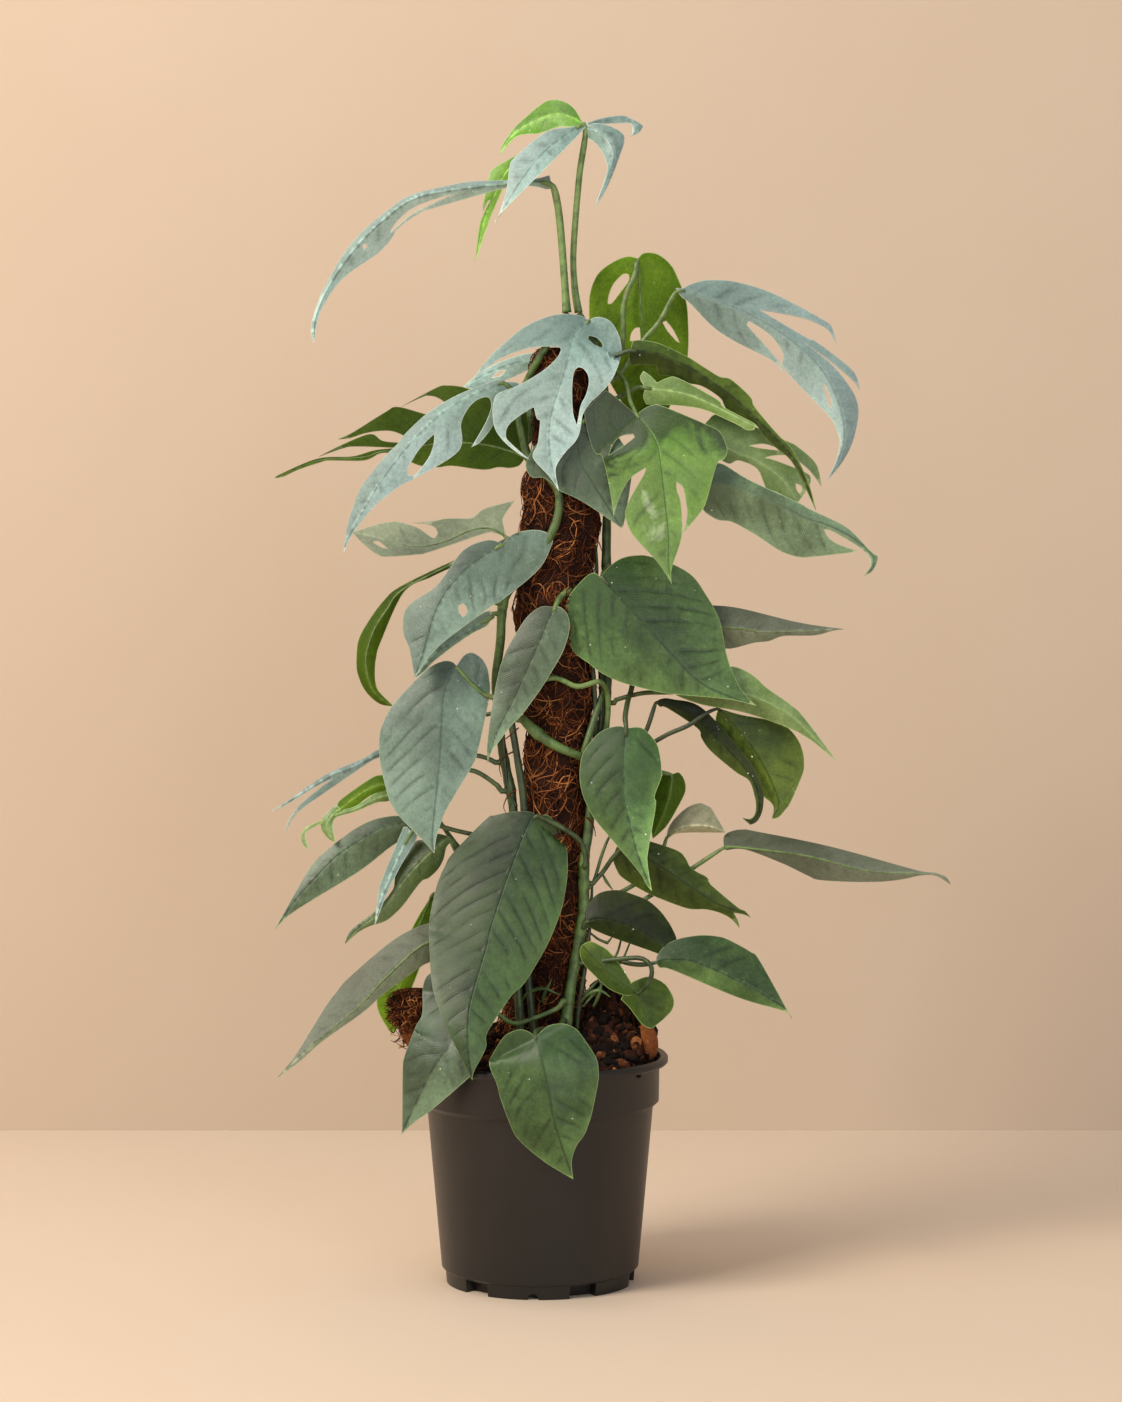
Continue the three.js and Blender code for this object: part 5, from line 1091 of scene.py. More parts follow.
# Leaves in the order of the CAD nodes, drawn in millimetres; each leaf's tones paint light and shade on its
# two halves
LEAVES: tuple[LeafPlan, ...] = (
    LeafPlan(
        "leaf_crown", Skin.SILVER, None, 0, tones=(0.18, 0.55), girth=3.1, stem=0.7,
        stalk=((41.2, 1079.5, -3), (41.8, 1067, -1), (36.4, 1030.7, 2), (31, 960, 5), (32.5, 927, 5.5),
        (35.9, 906, 5)),
        panels=(
        Panel(rib=((41, 1081, -3), (11, 1060, -16), (-4, 1045, -22), (-17, 1028, -28), (-29, 1009, -32),
        (-41.3, 988, -35)), one=((29.3, 1077), (11.4, 1074.5), (-1, 1068), (-22.5, 1049.5), (-28, 1041),
        (-29.6, 1027), (-33, 1011)), two=((39, 1073), (-33.2, 1000.4)), slope=(0.5, -0.2)),
        Panel(rib=((41.2, 1078, -3), (33, 1084, 0), (17, 1089, 6), (0, 1084.5, 12), (-16, 1076.5, 16),
        (-28, 1066.4, 18), (-37, 1051.8, 20)), one=((33, 1092.3), (25.7, 1098.6), (16.8, 1101.8),
        (8, 1101.3), (-1, 1096), (-20.7, 1079), (-29.6, 1068.2), (-35, 1059.3)), two=((29.3, 1077),
        (16.8, 1076.8), (-1, 1071), (-11.8, 1070.4), (-22.5, 1067.3)), slope=(0.7, -0.3),
        skin=Skin.VIVID),
        Panel(rib=((41.4, 1076.6, -3), (53, 1074, -8), (65, 1064, -14), (69.5, 1050, -20),
        (65, 1036, -25), (59.5, 1021, -29), (50.7, 1003, -32)), one=((50.7, 1080.4), (61.4, 1079),
        (70.4, 1075.4), (76.6, 1071), (78.4, 1066.4), (76.6, 1057.5), (66.6, 1031), (59.4, 1015.6)),
        two=((42, 1069), (50.7, 1062.9), (57.9, 1054), (61.4, 1045), (61.8, 1034.3)), slope=(0.4, 0.3)),
        Panel(rib=((41, 1079.6, -3), (70, 1083.6, 7), (82, 1082.4, 10), (89, 1078.5, 11),
        (89, 1072, 10), (83.5, 1068.2, 8)), one=((56, 1084.8), (68.6, 1087), (79.3, 1087),
        (93.6, 1079.8), (95.6, 1077.4), (92, 1072)), two=((48, 1079.4), (81, 1080.6), (85.3, 1078),
        (85.6, 1072)), slope=(0.5, 0.3)),
        Panel(rib=((41.3, 1075.4, -2), (-12, 1052, 5), (-30, 1038, 6), (-42, 1015, 5), (-52, 990, 3),
        (-60, 952, 0)), one=((10, 1066), (-12, 1056), (-42, 1039.6), (-46.6, 1032.5), (-49, 1024),
        (-52.5, 1006), (-52.6, 999), (-48, 1009), (-45.6, 1010), (-51.4, 998.6), (-56.4, 984.3)),
        two=((12, 1059), (-10, 1046), (-27, 1033), (-44, 998)), slope=(0.2, 0.1), skin=Skin.VIVID),
        ),
    ),
    LeafPlan(
        "leaf_long_left", Skin.SILVER, None, 0, tones=(0.08, 0.77), girth=3.6, stem=0.65,
        stalk=((12.3, 1022, -7), (18.5, 990, -6), (25, 906.1, -8)),
        panels=(
        Panel(rib=((10, 1027, -8), (-25, 1025, -12), (-88, 1017.6, -22), (-119, 1009.8, -26),
        (-144, 992, -30), (-165, 972, -33), (-185, 947, -36), (-200, 922, -39), (-208.5, 900, -41),
        (-210, 878, -42)), one=((9, 1032.5), (-10, 1028.6), (-60, 1027), (-85, 1023), (-120, 1014),
        (-140, 1001), (-160, 985), (-180, 963), (-195, 938), (-205, 918), (-212.5, 893)),
        two=((12, 1021), (6, 1020), (-6, 1022.5), (-30, 1021.6), (-100, 1002), (-110, 998.5),
        (-125, 989), (-133, 982), (-138, 974), (-150, 961), (-180, 940), (-195, 922), (-205, 903)),
        slope=(1.4, 1.2), holes=(((-77, 1016.6), (-94, 1011.8), (-112, 1005.5), (-125, 997.6),
        (-136, 986), (-138.5, 979.5), (-130, 987.5), (-117, 998), (-97, 1007.5)), ((-160, 966.4),
        (-164, 964.4), (-164.4, 968.4), (-161.4, 969.8)))),
        ),
    ),
    LeafPlan(
        "leaf_back_crown", Skin.OLIVE, "right", 856, tones=(0.51, 0.53), girth=2.5,
        stalk=((90, 953, 11), (88.2, 941.4, 10), (81, 925.4, 9), (77, 908, 8.5), (77.5, 890, 8.5),
        (75, 868, 9)),
        panels=(
        Panel(rib=((91, 956, 13), (94.5, 905, 19), (103, 835, 31), (106, 800, 38)), one=((82.9, 958),
        (74, 955.7), (65, 951), (56, 944), (50.7, 936), (47, 925.4), (45.7, 913), (47, 890), (56, 860),
        (75, 825), (92, 806)), two=((94.5, 960), (100.7, 961.4), (109.6, 959.6), (118.6, 953),
        (125.7, 943), (134.6, 920), (137.3, 902), (137.3, 866.4), (130, 838), (118, 815)),
        slope=(0.25, 0.3), holes=(((82.5, 941), (77.5, 941.4), (68.6, 932.5), (64, 921.8),
        (63.2, 914.6), (66.8, 914.6), (75.7, 926), (82.4, 935.5)), ((83.8, 880), (84.6, 886),
        (88.6, 891.6), (92.6, 892), (93.4, 884), (93.2, 879)), ((114, 897), (117, 898.4), (124, 889.6),
        (129.6, 878.4), (127.5, 879), (118.4, 889)))),
        ),
    ),
    LeafPlan(
        "leaf_right_blue", Skin.SILVER, "right", 843, tones=(0.02, 0.13),
        stalk=((126, 925, -1), (111.4, 898.6, 0), (97, 881.6, 2), (75, 850, 3)),
        panels=(
        Panel(rib=((126, 928.5, -2), (160, 918, -10), (190, 906.5, -17), (220, 890, -24),
        (248, 868, -30), (268, 844, -35), (280, 815, -40), (283, 788, -44), (275, 763, -47),
        (266, 749, -49)), one=((133, 928.6), (140, 932), (152, 935.4), (165, 936), (180, 934.5),
        (200, 929.5), (225, 919.6), (265, 898), (272, 889.6), (276, 876), (268.6, 888.6), (260, 894.6),
        (240, 902), (204, 908.4), (247, 883), (257, 878.6), (286, 856.6), (294.4, 846), (297, 834),
        (291, 843), (269, 861.6), (246, 877.6), (270, 858.8), (283, 844), (293, 828), (296, 812),
        (291, 787), (281, 767)), two=((131, 921), (140, 914), (160, 893.5), (180, 880), (215, 862),
        (227, 850.6), (222, 861), (192, 894.6), (194, 898), (206, 891), (217, 882), (226, 868),
        (228.6, 852), (268, 811), (276, 797), (279, 785), (276, 771), (272, 760)), slope=(0.5, 0.35),
        holes=(((263, 840), (265.4, 839), (270.6, 826), (271.4, 818), (268.6, 820.6)),)),
        ),
    ),
    LeafPlan(
        "leaf_centre_blue", Skin.SILVER, "right", 886, tones=(0.16, 0.54),
        stalk=((45.4, 897.6, -13), (46.5, 893, -8)),
        panels=(
        Panel(rib=((45.4, 898.4, -14), (33, 886.8, -27), (27.5, 869, -39), (23, 851, -43),
        (11.4, 815, -45.5), (8.8, 799, -46.5), (8.8, 781, -48.5), (11.4, 763.6, -51),
        (17.7, 740.4, -56)), one=((40, 902), (33, 904), (22, 904.6), (11.4, 903.2), (-1, 899.3),
        (-13.6, 893), (-24.3, 885), (-45.7, 866), (-66, 841), (-46, 857), (-31.4, 866), (-15.4, 871.6),
        (-1, 874.3), (16.8, 874.3), (19.6, 871.6), (16.8, 865.4), (6, 854.6), (-11.8, 843),
        (-24.3, 836.8), (-38.6, 831.4), (-43, 824), (-44, 812), (-42, 799.3), (-36.8, 790.4),
        (-28, 781.4), (-17, 773.4), (-9.4, 769.6), (-27, 785), (-31.6, 792), (-28, 803), (-10, 816.3),
        (-5.5, 818), (-2.9, 808), (0.4, 806), (-2, 785), (-6.4, 771.6), (9.6, 753)), two=((48, 900.4),
        (54.3, 902), (63.2, 899.3), (68.6, 894), (74, 883), (75.7, 870.7), (73, 858), (66.8, 844),
        (58, 833), (47, 822.5), (40, 811.8), (37, 795.7), (33, 786.8), (24, 777), (16.8, 767),
        (14.4, 758)), slope=(0.05, 0.12), holes=(((40, 854.3), (35.5, 855.5), (31.6, 851), (30, 838.6),
        (30, 824.3), (31, 811.8), (34.3, 801.5), (35.6, 808.2), (38.2, 820.7), (42.7, 829.6),
        (45.4, 840.4), (44.5, 848.4)), ((45.4, 884.6), (44.6, 881.4), (50.7, 876), (57, 873.4),
        (58.6, 875), (57, 878.8), (51.6, 883.2)))),
        ),
    ),
    LeafPlan(
        "leaf_upper_left", Skin.SILVER, "left", 829, tones=(0.1, 0.61),
        stalk=((-34, 841, -22), (-22, 831, -20)),
        panels=(
        Panel(rib=((-34, 841.5, -23), (-54.6, 833.4, -25), (-72, 825, -29), (-86, 816.6, -34),
        (-101, 804.6, -40), (-124.3, 780.5, -51), (-146, 752.5, -62), (-157, 735, -67),
        (-178, 698, -73), (-182.7, 683.2, -74)), one=((-40, 843.6), (-74.3, 830.6), (-103, 813.8),
        (-124.3, 794.4), (-133.2, 783.4), (-144, 772.6), (-165.4, 745.7), (-172.5, 729.6),
        (-178, 713.6), (-181.6, 695.7)), two=((-28, 842), (-20, 841), (-20, 836), (-30, 829),
        (-43, 812), (-43, 803), (-54.6, 787), (-63.6, 781.4), (-51, 803), (-45.6, 817), (-46, 825),
        (-50, 828), (-60, 824.3), (-68, 815.4), (-73.4, 803), (-76, 777.6), (-117, 752),
        (-129.6, 745.7), (-149.3, 730.6), (-160, 719.6), (-168.9, 708.5), (-176.4, 697.6)),
        slope=(1.1, 0.3), holes=(((-98.4, 793.6), (-106.4, 786), (-113.6, 777.5), (-119, 769),
        (-123, 761.8), (-123, 755.6), (-117, 755.4), (-111.8, 760.4), (-103, 772.5), (-98.8, 784)),)),
        ),
    ),
    LeafPlan(
        "leaf_behind_pole", Skin.SILVER, "back", 862, tones=(0.58, 1.5),
        stalk=((10, 862, 38), (14, 862, 38)),
        panels=(
        Panel(rib=((8, 862, 38), (-10, 862, 37), (-30, 857, 35), (-50, 849, 32), (-71, 837.7, 28)),
        one=((5, 867.5), (-5, 868.6), (-17, 867), (-31, 862.6), (-46, 856), (-60, 847)),
        two=((5, 856.5), (-6.4, 854.6), (-33, 843), (-62, 836)), slope=(0.4, 0.3), holes=(((-44.8, 846),
        (-38, 851.6), (-31.4, 853), (-36.8, 847.5)),)),
        ),
    ),
    LeafPlan(
        "leaf_split_left", Skin.OLIVE, "left", 771, tones=(-0.21, -0.11),
        stalk=((-14, 772, 2), (-13, 771.6, -4)),
        panels=(
        Panel(rib=((-14, 771.5, 4), (-26, 777, 5), (-54.6, 784, 6), (-90, 785, 6), (-134, 778.3, 3),
        (-149, 777.2, 1), (-163.6, 772.2, -1), (-204, 769.4, -6), (-226, 761.6, -10),
        (-247, 752.5, -14)), one=((-11, 785), (-11, 805), (-16, 822), (-30, 832), (-50, 836),
        (-63.6, 835), (-74, 837.4), (-85, 838.4), (-95.7, 836.6), (-129, 818.8), (-109, 828),
        (-103, 829), (-95.7, 827.5), (-87.7, 822), (-84, 815), (-95, 812), (-106.4, 812),
        (-132.3, 818.6), (-144, 813.6), (-174.3, 794.8), (-187.7, 788.6), (-176, 790), (-163.6, 794),
        (-153, 796), (-142, 796.6), (-133.2, 795), (-118, 788), (-126, 785.6), (-145.7, 787),
        (-158.2, 793.4), (-185, 783), (-206, 772.4), (-184, 780), (-170.7, 782), (-131, 780.6),
        (-153, 778.6), (-174.3, 772.8), (-206.4, 770.8), (-240, 757)), two=((-19, 764.5), (-28, 762),
        (-38.6, 762.7), (-53, 760.4), (-81.4, 764), (-94, 762.7), (-108.2, 763.6), (-119, 767),
        (-133, 775), (-140.4, 776), (-149.3, 775.4), (-163.6, 769), (-195.7, 769), (-205, 767),
        (-224.3, 760.6), (-238, 754.4)), slope=(0.25, -0.3)),
        ),
    ),
    LeafPlan(
        "leaf_under_centre", Skin.SAGE, "right", 812, tones=(0.24, 0.23),
        stalk=((33, 801, -29), (42, 806, -30), (53, 811, -20)),
        panels=(
        Panel(rib=((31, 800, -29.6), (38, 768, -36), (47, 752, -39), (75.7, 706.4, -45)),
        one=((20, 800), (8, 793), (-5, 782), (-11.8, 770), (-13.2, 763.6), (-11, 757.3), (-6.4, 753),
        (2.5, 753), (11.4, 747.5), (17, 741.5), (40, 730.5)), two=((42, 808), (54, 806), (68, 796),
        (80, 780), (86, 764), (79, 714)), slope=(-0.16, 0.05)),
        ),
    ),
    LeafPlan(
        "leaf_bright_split", Skin.BLOTCHED, "right", 852, tones=(0.06, 0.18),
        stalk=((89, 813, -22), (84, 824, -20), (80, 840, -15), (73, 850, -9)),
        panels=(
        Panel(rib=((90, 811, -23), (100.7, 799, -32), (108.8, 785, -40), (112.3, 767, -46),
        (118.6, 713.6, -57), (120, 695.7, -60), (120, 672.5, -63), (123, 653.8, -65)), one=((65, 832),
        (58, 831.4), (47, 820.7), (41.4, 812.7), (47, 785), (52.5, 774.8), (58, 772), (65, 742),
        (68.6, 716.3), (70.6, 725), (75.7, 738.6), (83, 751), (91.8, 758.2), (98.4, 762), (97, 756.4),
        (84.6, 735), (80.2, 724.3), (79.4, 717), (83, 706.4), (90, 695.7), (109.6, 674.3)),
        two=((95.4, 816), (104.3, 820), (115, 819), (158, 801), (167, 795.7), (172, 786.8),
        (174.3, 778), (171.3, 770), (166.8, 768.6), (163.2, 761.8), (156, 735), (150.7, 722.5),
        (134, 702), (137, 718), (135.5, 733.2), (133, 744), (127, 749.3), (127.6, 740.4), (131, 729.6),
        (132, 699.3), (122.6, 668)), slope=(-0.3, 0.15), holes=(((86.4, 793.4), (75.7, 791.6),
        (68.6, 784.6), (64, 773.8), (75.7, 781), (83, 786.4), (88, 790.4)),)),
        ),
    ),
    LeafPlan(
        "leaf_right_dark", Skin.DEEP, "right", 867, tones=(1.07, 0.21),
        stalk=((84, 871, -9), (69, 866, -6)),
        panels=(
        Panel(rib=((84, 871, -9), (110, 868, -10), (140, 854.5, -12), (165, 838, -14), (185, 823, -17),
        (222, 787, -25), (241.5, 762, -29), (257, 722.5, -33)), one=((86, 879.6), (91.8, 880.5),
        (100.7, 879.6), (111.4, 877), (136.4, 865.4), (165, 847.6), (177.5, 844), (195.4, 828),
        (200, 818), (220.4, 794), (229.3, 785.6), (237.3, 774.8), (245.4, 759), (252, 742)),
        two=((83, 864), (84.6, 857), (93.6, 858.2), (108, 857), (110, 848.5), (127.5, 845.7),
        (136.4, 841), (149, 838.6), (159.6, 833), (168.6, 826), (172, 819), (179.3, 811.5),
        (199, 803.6), (208, 792), (218.6, 781.6), (231, 771.6), (240, 758)), slope=(0.5, 0.4)),
        ),
    ),
    LeafPlan(
        "leaf_pale_right", Skin.LIME, "right", 825, tones=(0.13, 0.35),
        stalk=((99, 836, -12), (91, 837, -7), (72, 827, -3)),
        panels=(
        Panel(rib=((98, 836, -12.5), (120, 834, -14), (148, 826.4, -18), (200.6, 800.5, -28)),
        one=((93, 845), (96, 852), (102, 848), (109, 841), (118.6, 845.4), (129.3, 845), (165, 825.4),
        (171, 818.4), (198, 804)), two=((96, 828), (99, 821), (118.6, 820.7), (136.4, 819),
        (154.3, 815.4), (183, 802.6), (192, 797.5), (199, 797.4)), slope=(0.3, 0.2)),
        ),
    ),
    LeafPlan(
        "leaf_lit_right", Skin.LIME, "right", 801, tones=(0.04, 0.06),
        stalk=((150, 793, -8), (130, 797, -8), (82, 802, -4)),
        panels=(
        Panel(rib=((150, 793, -8), (184, 776, -8), (199, 770.4, -9), (225, 752, -11),
        (240, 729.6, -13)), one=((156, 806), (172, 811), (227.5, 787.7), (240, 781.4), (257, 765.4),
        (262, 744.8), (253.6, 756.4), (245, 765), (234.6, 772), (227.5, 774), (217, 773.5),
        (209.4, 771.4), (220, 768.6), (247, 757.8), (252, 752), (249.8, 744)), two=((158, 780),
        (168, 770), (176.6, 766), (183, 769), (190, 767.6), (199, 763.6), (204.3, 758), (211.4, 742),
        (218.6, 740.4)), slope=(0.2, 0.1), holes=(((194.5, 782.6), (208, 784.4), (218.6, 781.4),
        (229, 777.4), (218.6, 778.6), (208, 779.8)), ((238, 747.6), (243, 745.6), (244, 741.4),
        (241.8, 737.6), (238.8, 742)))),
        ),
    ),
    LeafPlan(
        "leaf_drooping_right", Skin.SAGE, "right", 779, tones=(0.45, 0.59),
        stalk=((152, 749, -18), (130, 754, -15), (82, 774, -5)),
        panels=(
        Panel(rib=((150, 750, -18), (176, 747, -20), (194, 741, -22), (211, 734, -24), (247, 716, -28),
        (265, 710, -29), (283, 702, -31), (298, 692.4, -33), (308, 683, -34), (311.4, 676, -35),
        (308.6, 668, -36), (301.6, 661.4, -37)), one=((156, 762), (168.6, 766), (193.6, 751.4),
        (240, 730), (250.7, 723.8), (279.3, 710.4), (291.8, 701.4), (308, 684.6), (314.6, 680),
        (314, 675), (309.4, 666)), two=((150, 735), (151.3, 724.3), (158, 718), (166.8, 713.6),
        (179.3, 711.8), (200.7, 700), (222, 686), (233, 681.4), (243.6, 679), (254.3, 679.6),
        (288.2, 683.2), (295, 685.4), (277.5, 691.3), (268.6, 697.5), (264.5, 705), (272, 703.4),
        (293.6, 691), (302, 684.6), (307, 679), (308, 672), (305, 665.6)), slope=(0.6, 0.35)),
        ),
    ),
    LeafPlan(
        "leaf_left_grey", Skin.ASH, "left", 668, tones=(0.47, 0.27), stem=0.2,
        stalk=((-30, 696.6, -5), (-26, 687, -8), (-18, 676, -13)),
        panels=(
        Panel(rib=((-31, 697.4, -5), (-42, 704.6, -5), (-55, 706, -6), (-68, 702.6, -8),
        (-85, 694.6, -11), (-99.3, 690.4, -13), (-112, 688.6, -15), (-126, 690, -17), (-139, 693, -18),
        (-153, 698, -20), (-174.6, 702.3, -22)), one=((-34.6, 712), (-32.3, 719), (-23.6, 731.6),
        (-45.7, 726), (-54.6, 722.5), (-61.8, 716.3), (-69, 715), (-86.8, 715), (-99.3, 712.7),
        (-119, 711), (-106, 710), (-98.4, 707), (-95.4, 702), (-97.4, 697.8), (-101, 697.5),
        (-114.5, 706.6), (-131.4, 711.8), (-138.6, 711.8), (-149.3, 710)), two=((-42, 701.6),
        (-53, 700.7), (-103, 683.8), (-117, 681.4), (-144, 679.6), (-151, 681.4), (-158.2, 686),
        (-167, 693.6)), slope=(0.4, -0.5), holes=(((-155.4, 693.6), (-150, 693.8), (-141.6, 687),
        (-146, 687.8), (-153, 691.2)),)),
        ),
    ),
    LeafPlan(
        "leaf_broad_left", Skin.TEAL, "left", 654, tones=(-0.02, 0.43),
        stalk=((-35, 690, -38), (-31, 670, -23), (-28, 660, -18)),
        panels=(
        Panel(rib=((-35, 691, -38.5), (-63.6, 672, -44), (-76, 660, -47), (-88.6, 644.6, -50),
        (-99.3, 623, -53), (-110, 585.7, -57), (-117, 566.5, -59)), one=((-40.4, 693.8), (-47.5, 695),
        (-58.2, 692.5), (-67, 688.4), (-76, 680.4), (-90.4, 659.8), (-99.3, 650), (-117, 638.4),
        (-124.3, 631.3), (-127.5, 621.4), (-127, 607), (-121.6, 593)), two=((-31, 696), (-22, 701.6),
        (-8, 704.4), (4, 703), (11.4, 697), (10, 688), (-2, 667), (-35, 639.5), (-45.7, 633),
        (-85, 604), (-99.3, 591), (-108.2, 580.4)), slope=(0.3, -0.03), holes=(((-72, 635.6),
        (-76, 634), (-75.6, 628), (-72, 623.4), (-68.4, 627), (-69, 633)),)),
        ),
    ),
    LeafPlan(
        "leaf_curl_left", Skin.OLIVE, "left", 636, tones=(-0.18, -0.0), stem=0.6,
        stalk=((-72, 677.4, -21), (-56, 674, -19), (-45, 662, -14), (-42, 645, -11)),
        panels=(
        Panel(rib=((-72, 677.4, -21), (-127, 649.5, -21), (-143, 630, -22), (-155, 610.7, -23),
        (-162, 589, -24), (-161.4, 571, -25), (-156, 555.5, -26), (-147.6, 546.2, -26),
        (-136.8, 540.2, -26)), one=((-80, 676), (-129.6, 652), (-145.7, 638.4), (-160, 619),
        (-169, 602), (-171, 584), (-170.2, 571.4), (-164.5, 557), (-156.4, 547.3), (-147.5, 541.6)),
        two=((-80, 671), (-101, 661), (-127, 646.5), (-148.4, 601), (-153, 585.7), (-154.3, 571.4),
        (-153, 559), (-148.4, 551.4)), slope=(0.6, 0.8)),
        ),
    ),
    LeafPlan(
        "leaf_shaded_left", Skin.TEAL, "left", 626, tones=(0.36, 1.39),
        stalk=((-46, 622.5, -12), (-44, 624, -10)),
        panels=(
        Panel(rib=((-46, 622.5, -13), (-81, 600.8, -20), (-99, 588, -25), (-117, 566, -31)),
        one=((-46, 629.2), (-54.6, 626.2), (-85, 606.4), (-99, 594.6), (-109, 583)),
        two=((-49.3, 615.6), (-63.6, 608), (-81.4, 596), (-99.3, 582), (-108.2, 573)),
        slope=(0.9, 1.1)),
        ),
    ),
    LeafPlan(
        "leaf_left_big", Skin.TEAL, "right", 516, tones=(0.14, 0.39), girth=2.5, stem=0.55,
        stalk=((-77.5, 576.5, -32), (-66, 563, -30), (-50, 550, -27), (-34, 548.5, -29), (-18, 553, -34),
        (11, 566.5, -36), (35, 558.5, -36), (55, 563, -30), (62, 553, -21), (63.5, 538, -14),
        (62, 522, -11)),
        panels=(
        Panel(rib=((-78, 577.7, -32), (-83, 568, -35), (-88.6, 552, -39), (-91, 535.7, -43),
        (-93.5, 490, -50), (-100.6, 421, -57), (-99, 402, -59)), one=((-81, 581), (-88.6, 582.4),
        (-99.3, 578.6), (-110, 570.5), (-131.4, 548.2), (-140.4, 536.6), (-146.6, 524), (-150, 510.7),
        (-149, 485.7), (-142, 456), (-137, 444.6), (-128, 433), (-106.4, 411)), two=((-71.6, 586.6),
        (-67, 589.6), (-61.8, 589.6), (-54.6, 584.8), (-49.6, 576.8), (-47.5, 566), (-47.5, 548.2),
        (-58.2, 498.2), (-63.6, 484), (-86, 446.3), (-92, 433), (-97, 417)), slope=(0.14, 0.16)),
        ),
    ),
    LeafPlan(
        "leaf_centre_left", Skin.SAGE, "right", 644, tones=(-0.01, 0.58), girth=2.7,
        stalk=((14, 631, -38), (17, 639, -33), (24, 647, -27.5), (32, 650, -24), (46, 651, -18),
        (55, 647, -9)),
        panels=(
        Panel(rib=((14, 632, -38.5), (8, 619.6, -42), (0.7, 602, -45), (-24.3, 546, -51),
        (-40.4, 515, -54), (-48.9, 486.6, -56)), one=((7.9, 633.4), (-1, 632), (-13.6, 621.4),
        (-28, 598.2), (-34, 585.7), (-38.6, 571.4), (-44.8, 539.3), (-49.3, 503)), two=((17, 633.2),
        (22, 630.4), (25.7, 625), (27.5, 618), (27, 609), (24, 598.2), (18.6, 585.7), (2.5, 559),
        (-6.4, 546.4), (-17, 532), (-28, 520.6), (-44.6, 498)), slope=(0.2, 0.05)),
        ),
    ),
    LeafPlan(
        "leaf_right_big", Skin.GREEN, "right", 672, tones=(0.31, 0.61),
        stalk=((58, 661, -31), (61, 667, -24), (63, 671, -14)),
        panels=(
        Panel(rib=((57, 660.5, -33), (88, 627, -41), (129, 582, -47), (143, 567.6, -48),
        (158, 557, -49), (180, 548, -51), (202, 540.5, -53)), one=((62, 668), (72, 675.9), (81, 679.5),
        (91.8, 680.7), (101.6, 679.8), (124, 672.3), (141.8, 661.6), (154.3, 644.6), (167, 621.4),
        (173.4, 591), (178.4, 575), (186.4, 558), (193.6, 548.6)), two=((50, 664.6), (41.8, 660),
        (29.3, 646.4), (25.7, 639), (24, 629), (29.5, 594.6), (45.4, 580.4), (54.3, 573.2), (65, 567),
        (75.7, 562.5), (91.8, 558), (109.6, 553.6), (127.5, 551), (175.7, 546.6)), slope=(0.3, 0.04)),
        ),
    ),
    LeafPlan(
        "leaf_right_grey", Skin.ASH, "right", 606, tones=(-0.17, 0.09), stem=0.2,
        stalk=((130, 617, -14), (104, 612, -10), (82, 608, -4)),
        panels=(
        Panel(rib=((128, 617, -14), (188, 612.5, -20), (204, 609.6, -21), (222, 609.4, -22),
        (283.4, 612, -27)), one=((138, 628), (150, 632.6), (162.3, 634), (188.2, 631), (242, 618)),
        two=((138, 604), (155, 596), (174, 594), (183, 595), (200.7, 599.6), (213.2, 601),
        (227.5, 605.7), (256, 606.4), (274, 610.8)), slope=(0.7, 0.6)),
        ),
    ),
    LeafPlan(
        "leaf_light_right", Skin.LIME, "right", 544, tones=(0.15, 0.15), stem=0.1,
        stalk=((128, 553, -28), (112, 553, -22), (94, 552, -12), (71, 546, -4)),
        panels=(
        Panel(rib=((126, 553, -28), (150, 551.4, -29), (172, 553.6, -30), (191.8, 551.8, -32),
        (211, 544.6, -34), (225.7, 537, -36), (240, 527, -38), (277.5, 488.4, -43)), one=((158, 570),
        (177.5, 577), (191.8, 573), (202.5, 566), (211.4, 557.4), (234.6, 541), (247, 528.8)),
        two=((127.5, 550.4), (136.4, 546.4), (154.3, 541), (184.6, 535.7), (211.4, 527.7),
        (234.6, 518.6), (245.4, 513.2), (257, 505.4)), slope=(0.35, 0.3)),
        ),
    ),
    LeafPlan(
        "leaf_hook_right", Skin.DEEP, "right", 487, tones=(-0.18, 0.2), stem=0.25,
        stalk=((108, 543, -11), (98.5, 516, -11), (86, 502, -11), (74, 495, -10)),
        panels=(
        Panel(rib=((108, 544, -11), (120, 543, -11), (136, 535.4, -12), (150, 525, -13),
        (185, 489.5, -24), (199.5, 470, -28), (205, 452, -31), (204, 439.4, -31), (198, 431.8, -31),
        (189, 435.7, -30)), one=((113.2, 547), (124, 546.6), (152.5, 537.4), (193.6, 491), (203, 474),
        (208.4, 460), (209, 452), (207.5, 441), (203, 432.4), (196.6, 429)), two=((112, 539.6),
        (118.6, 538.6), (147, 519.6), (150.7, 510.7), (159.6, 498.2), (183, 478.6), (195.4, 470.5),
        (200.6, 456), (202, 446), (200.4, 438), (195.8, 434.4)), slope=(0.1, 0.3)),
        ),
    ),
    LeafPlan(
        "leaf_round_right", Skin.DEEP, "right", 474, tones=(1.12, 1.5), stem=0.1,
        stalk=((165, 537.6, -23), (154.3, 533, -25), (138.2, 522, -23.5), (118.6, 513.4, -20),
        (100, 502, -17), (70, 478, -13)),
        panels=(
        Panel(rib=((167, 538.4, -21), (175.7, 528.6, -18), (188, 514, -17), (200.7, 498, -17),
        (211.4, 480, -18), (218.6, 464, -19), (223.4, 448, -21), (216.8, 434.5, -23)),
        one=((186.4, 532.4), (211.4, 527.7), (225.7, 523.2), (234.6, 517), (241.8, 507), (245.6, 496.4),
        (246.6, 487.5), (245.4, 476.8), (234.6, 451), (228, 441.5), (222.6, 436)), two=((164, 528),
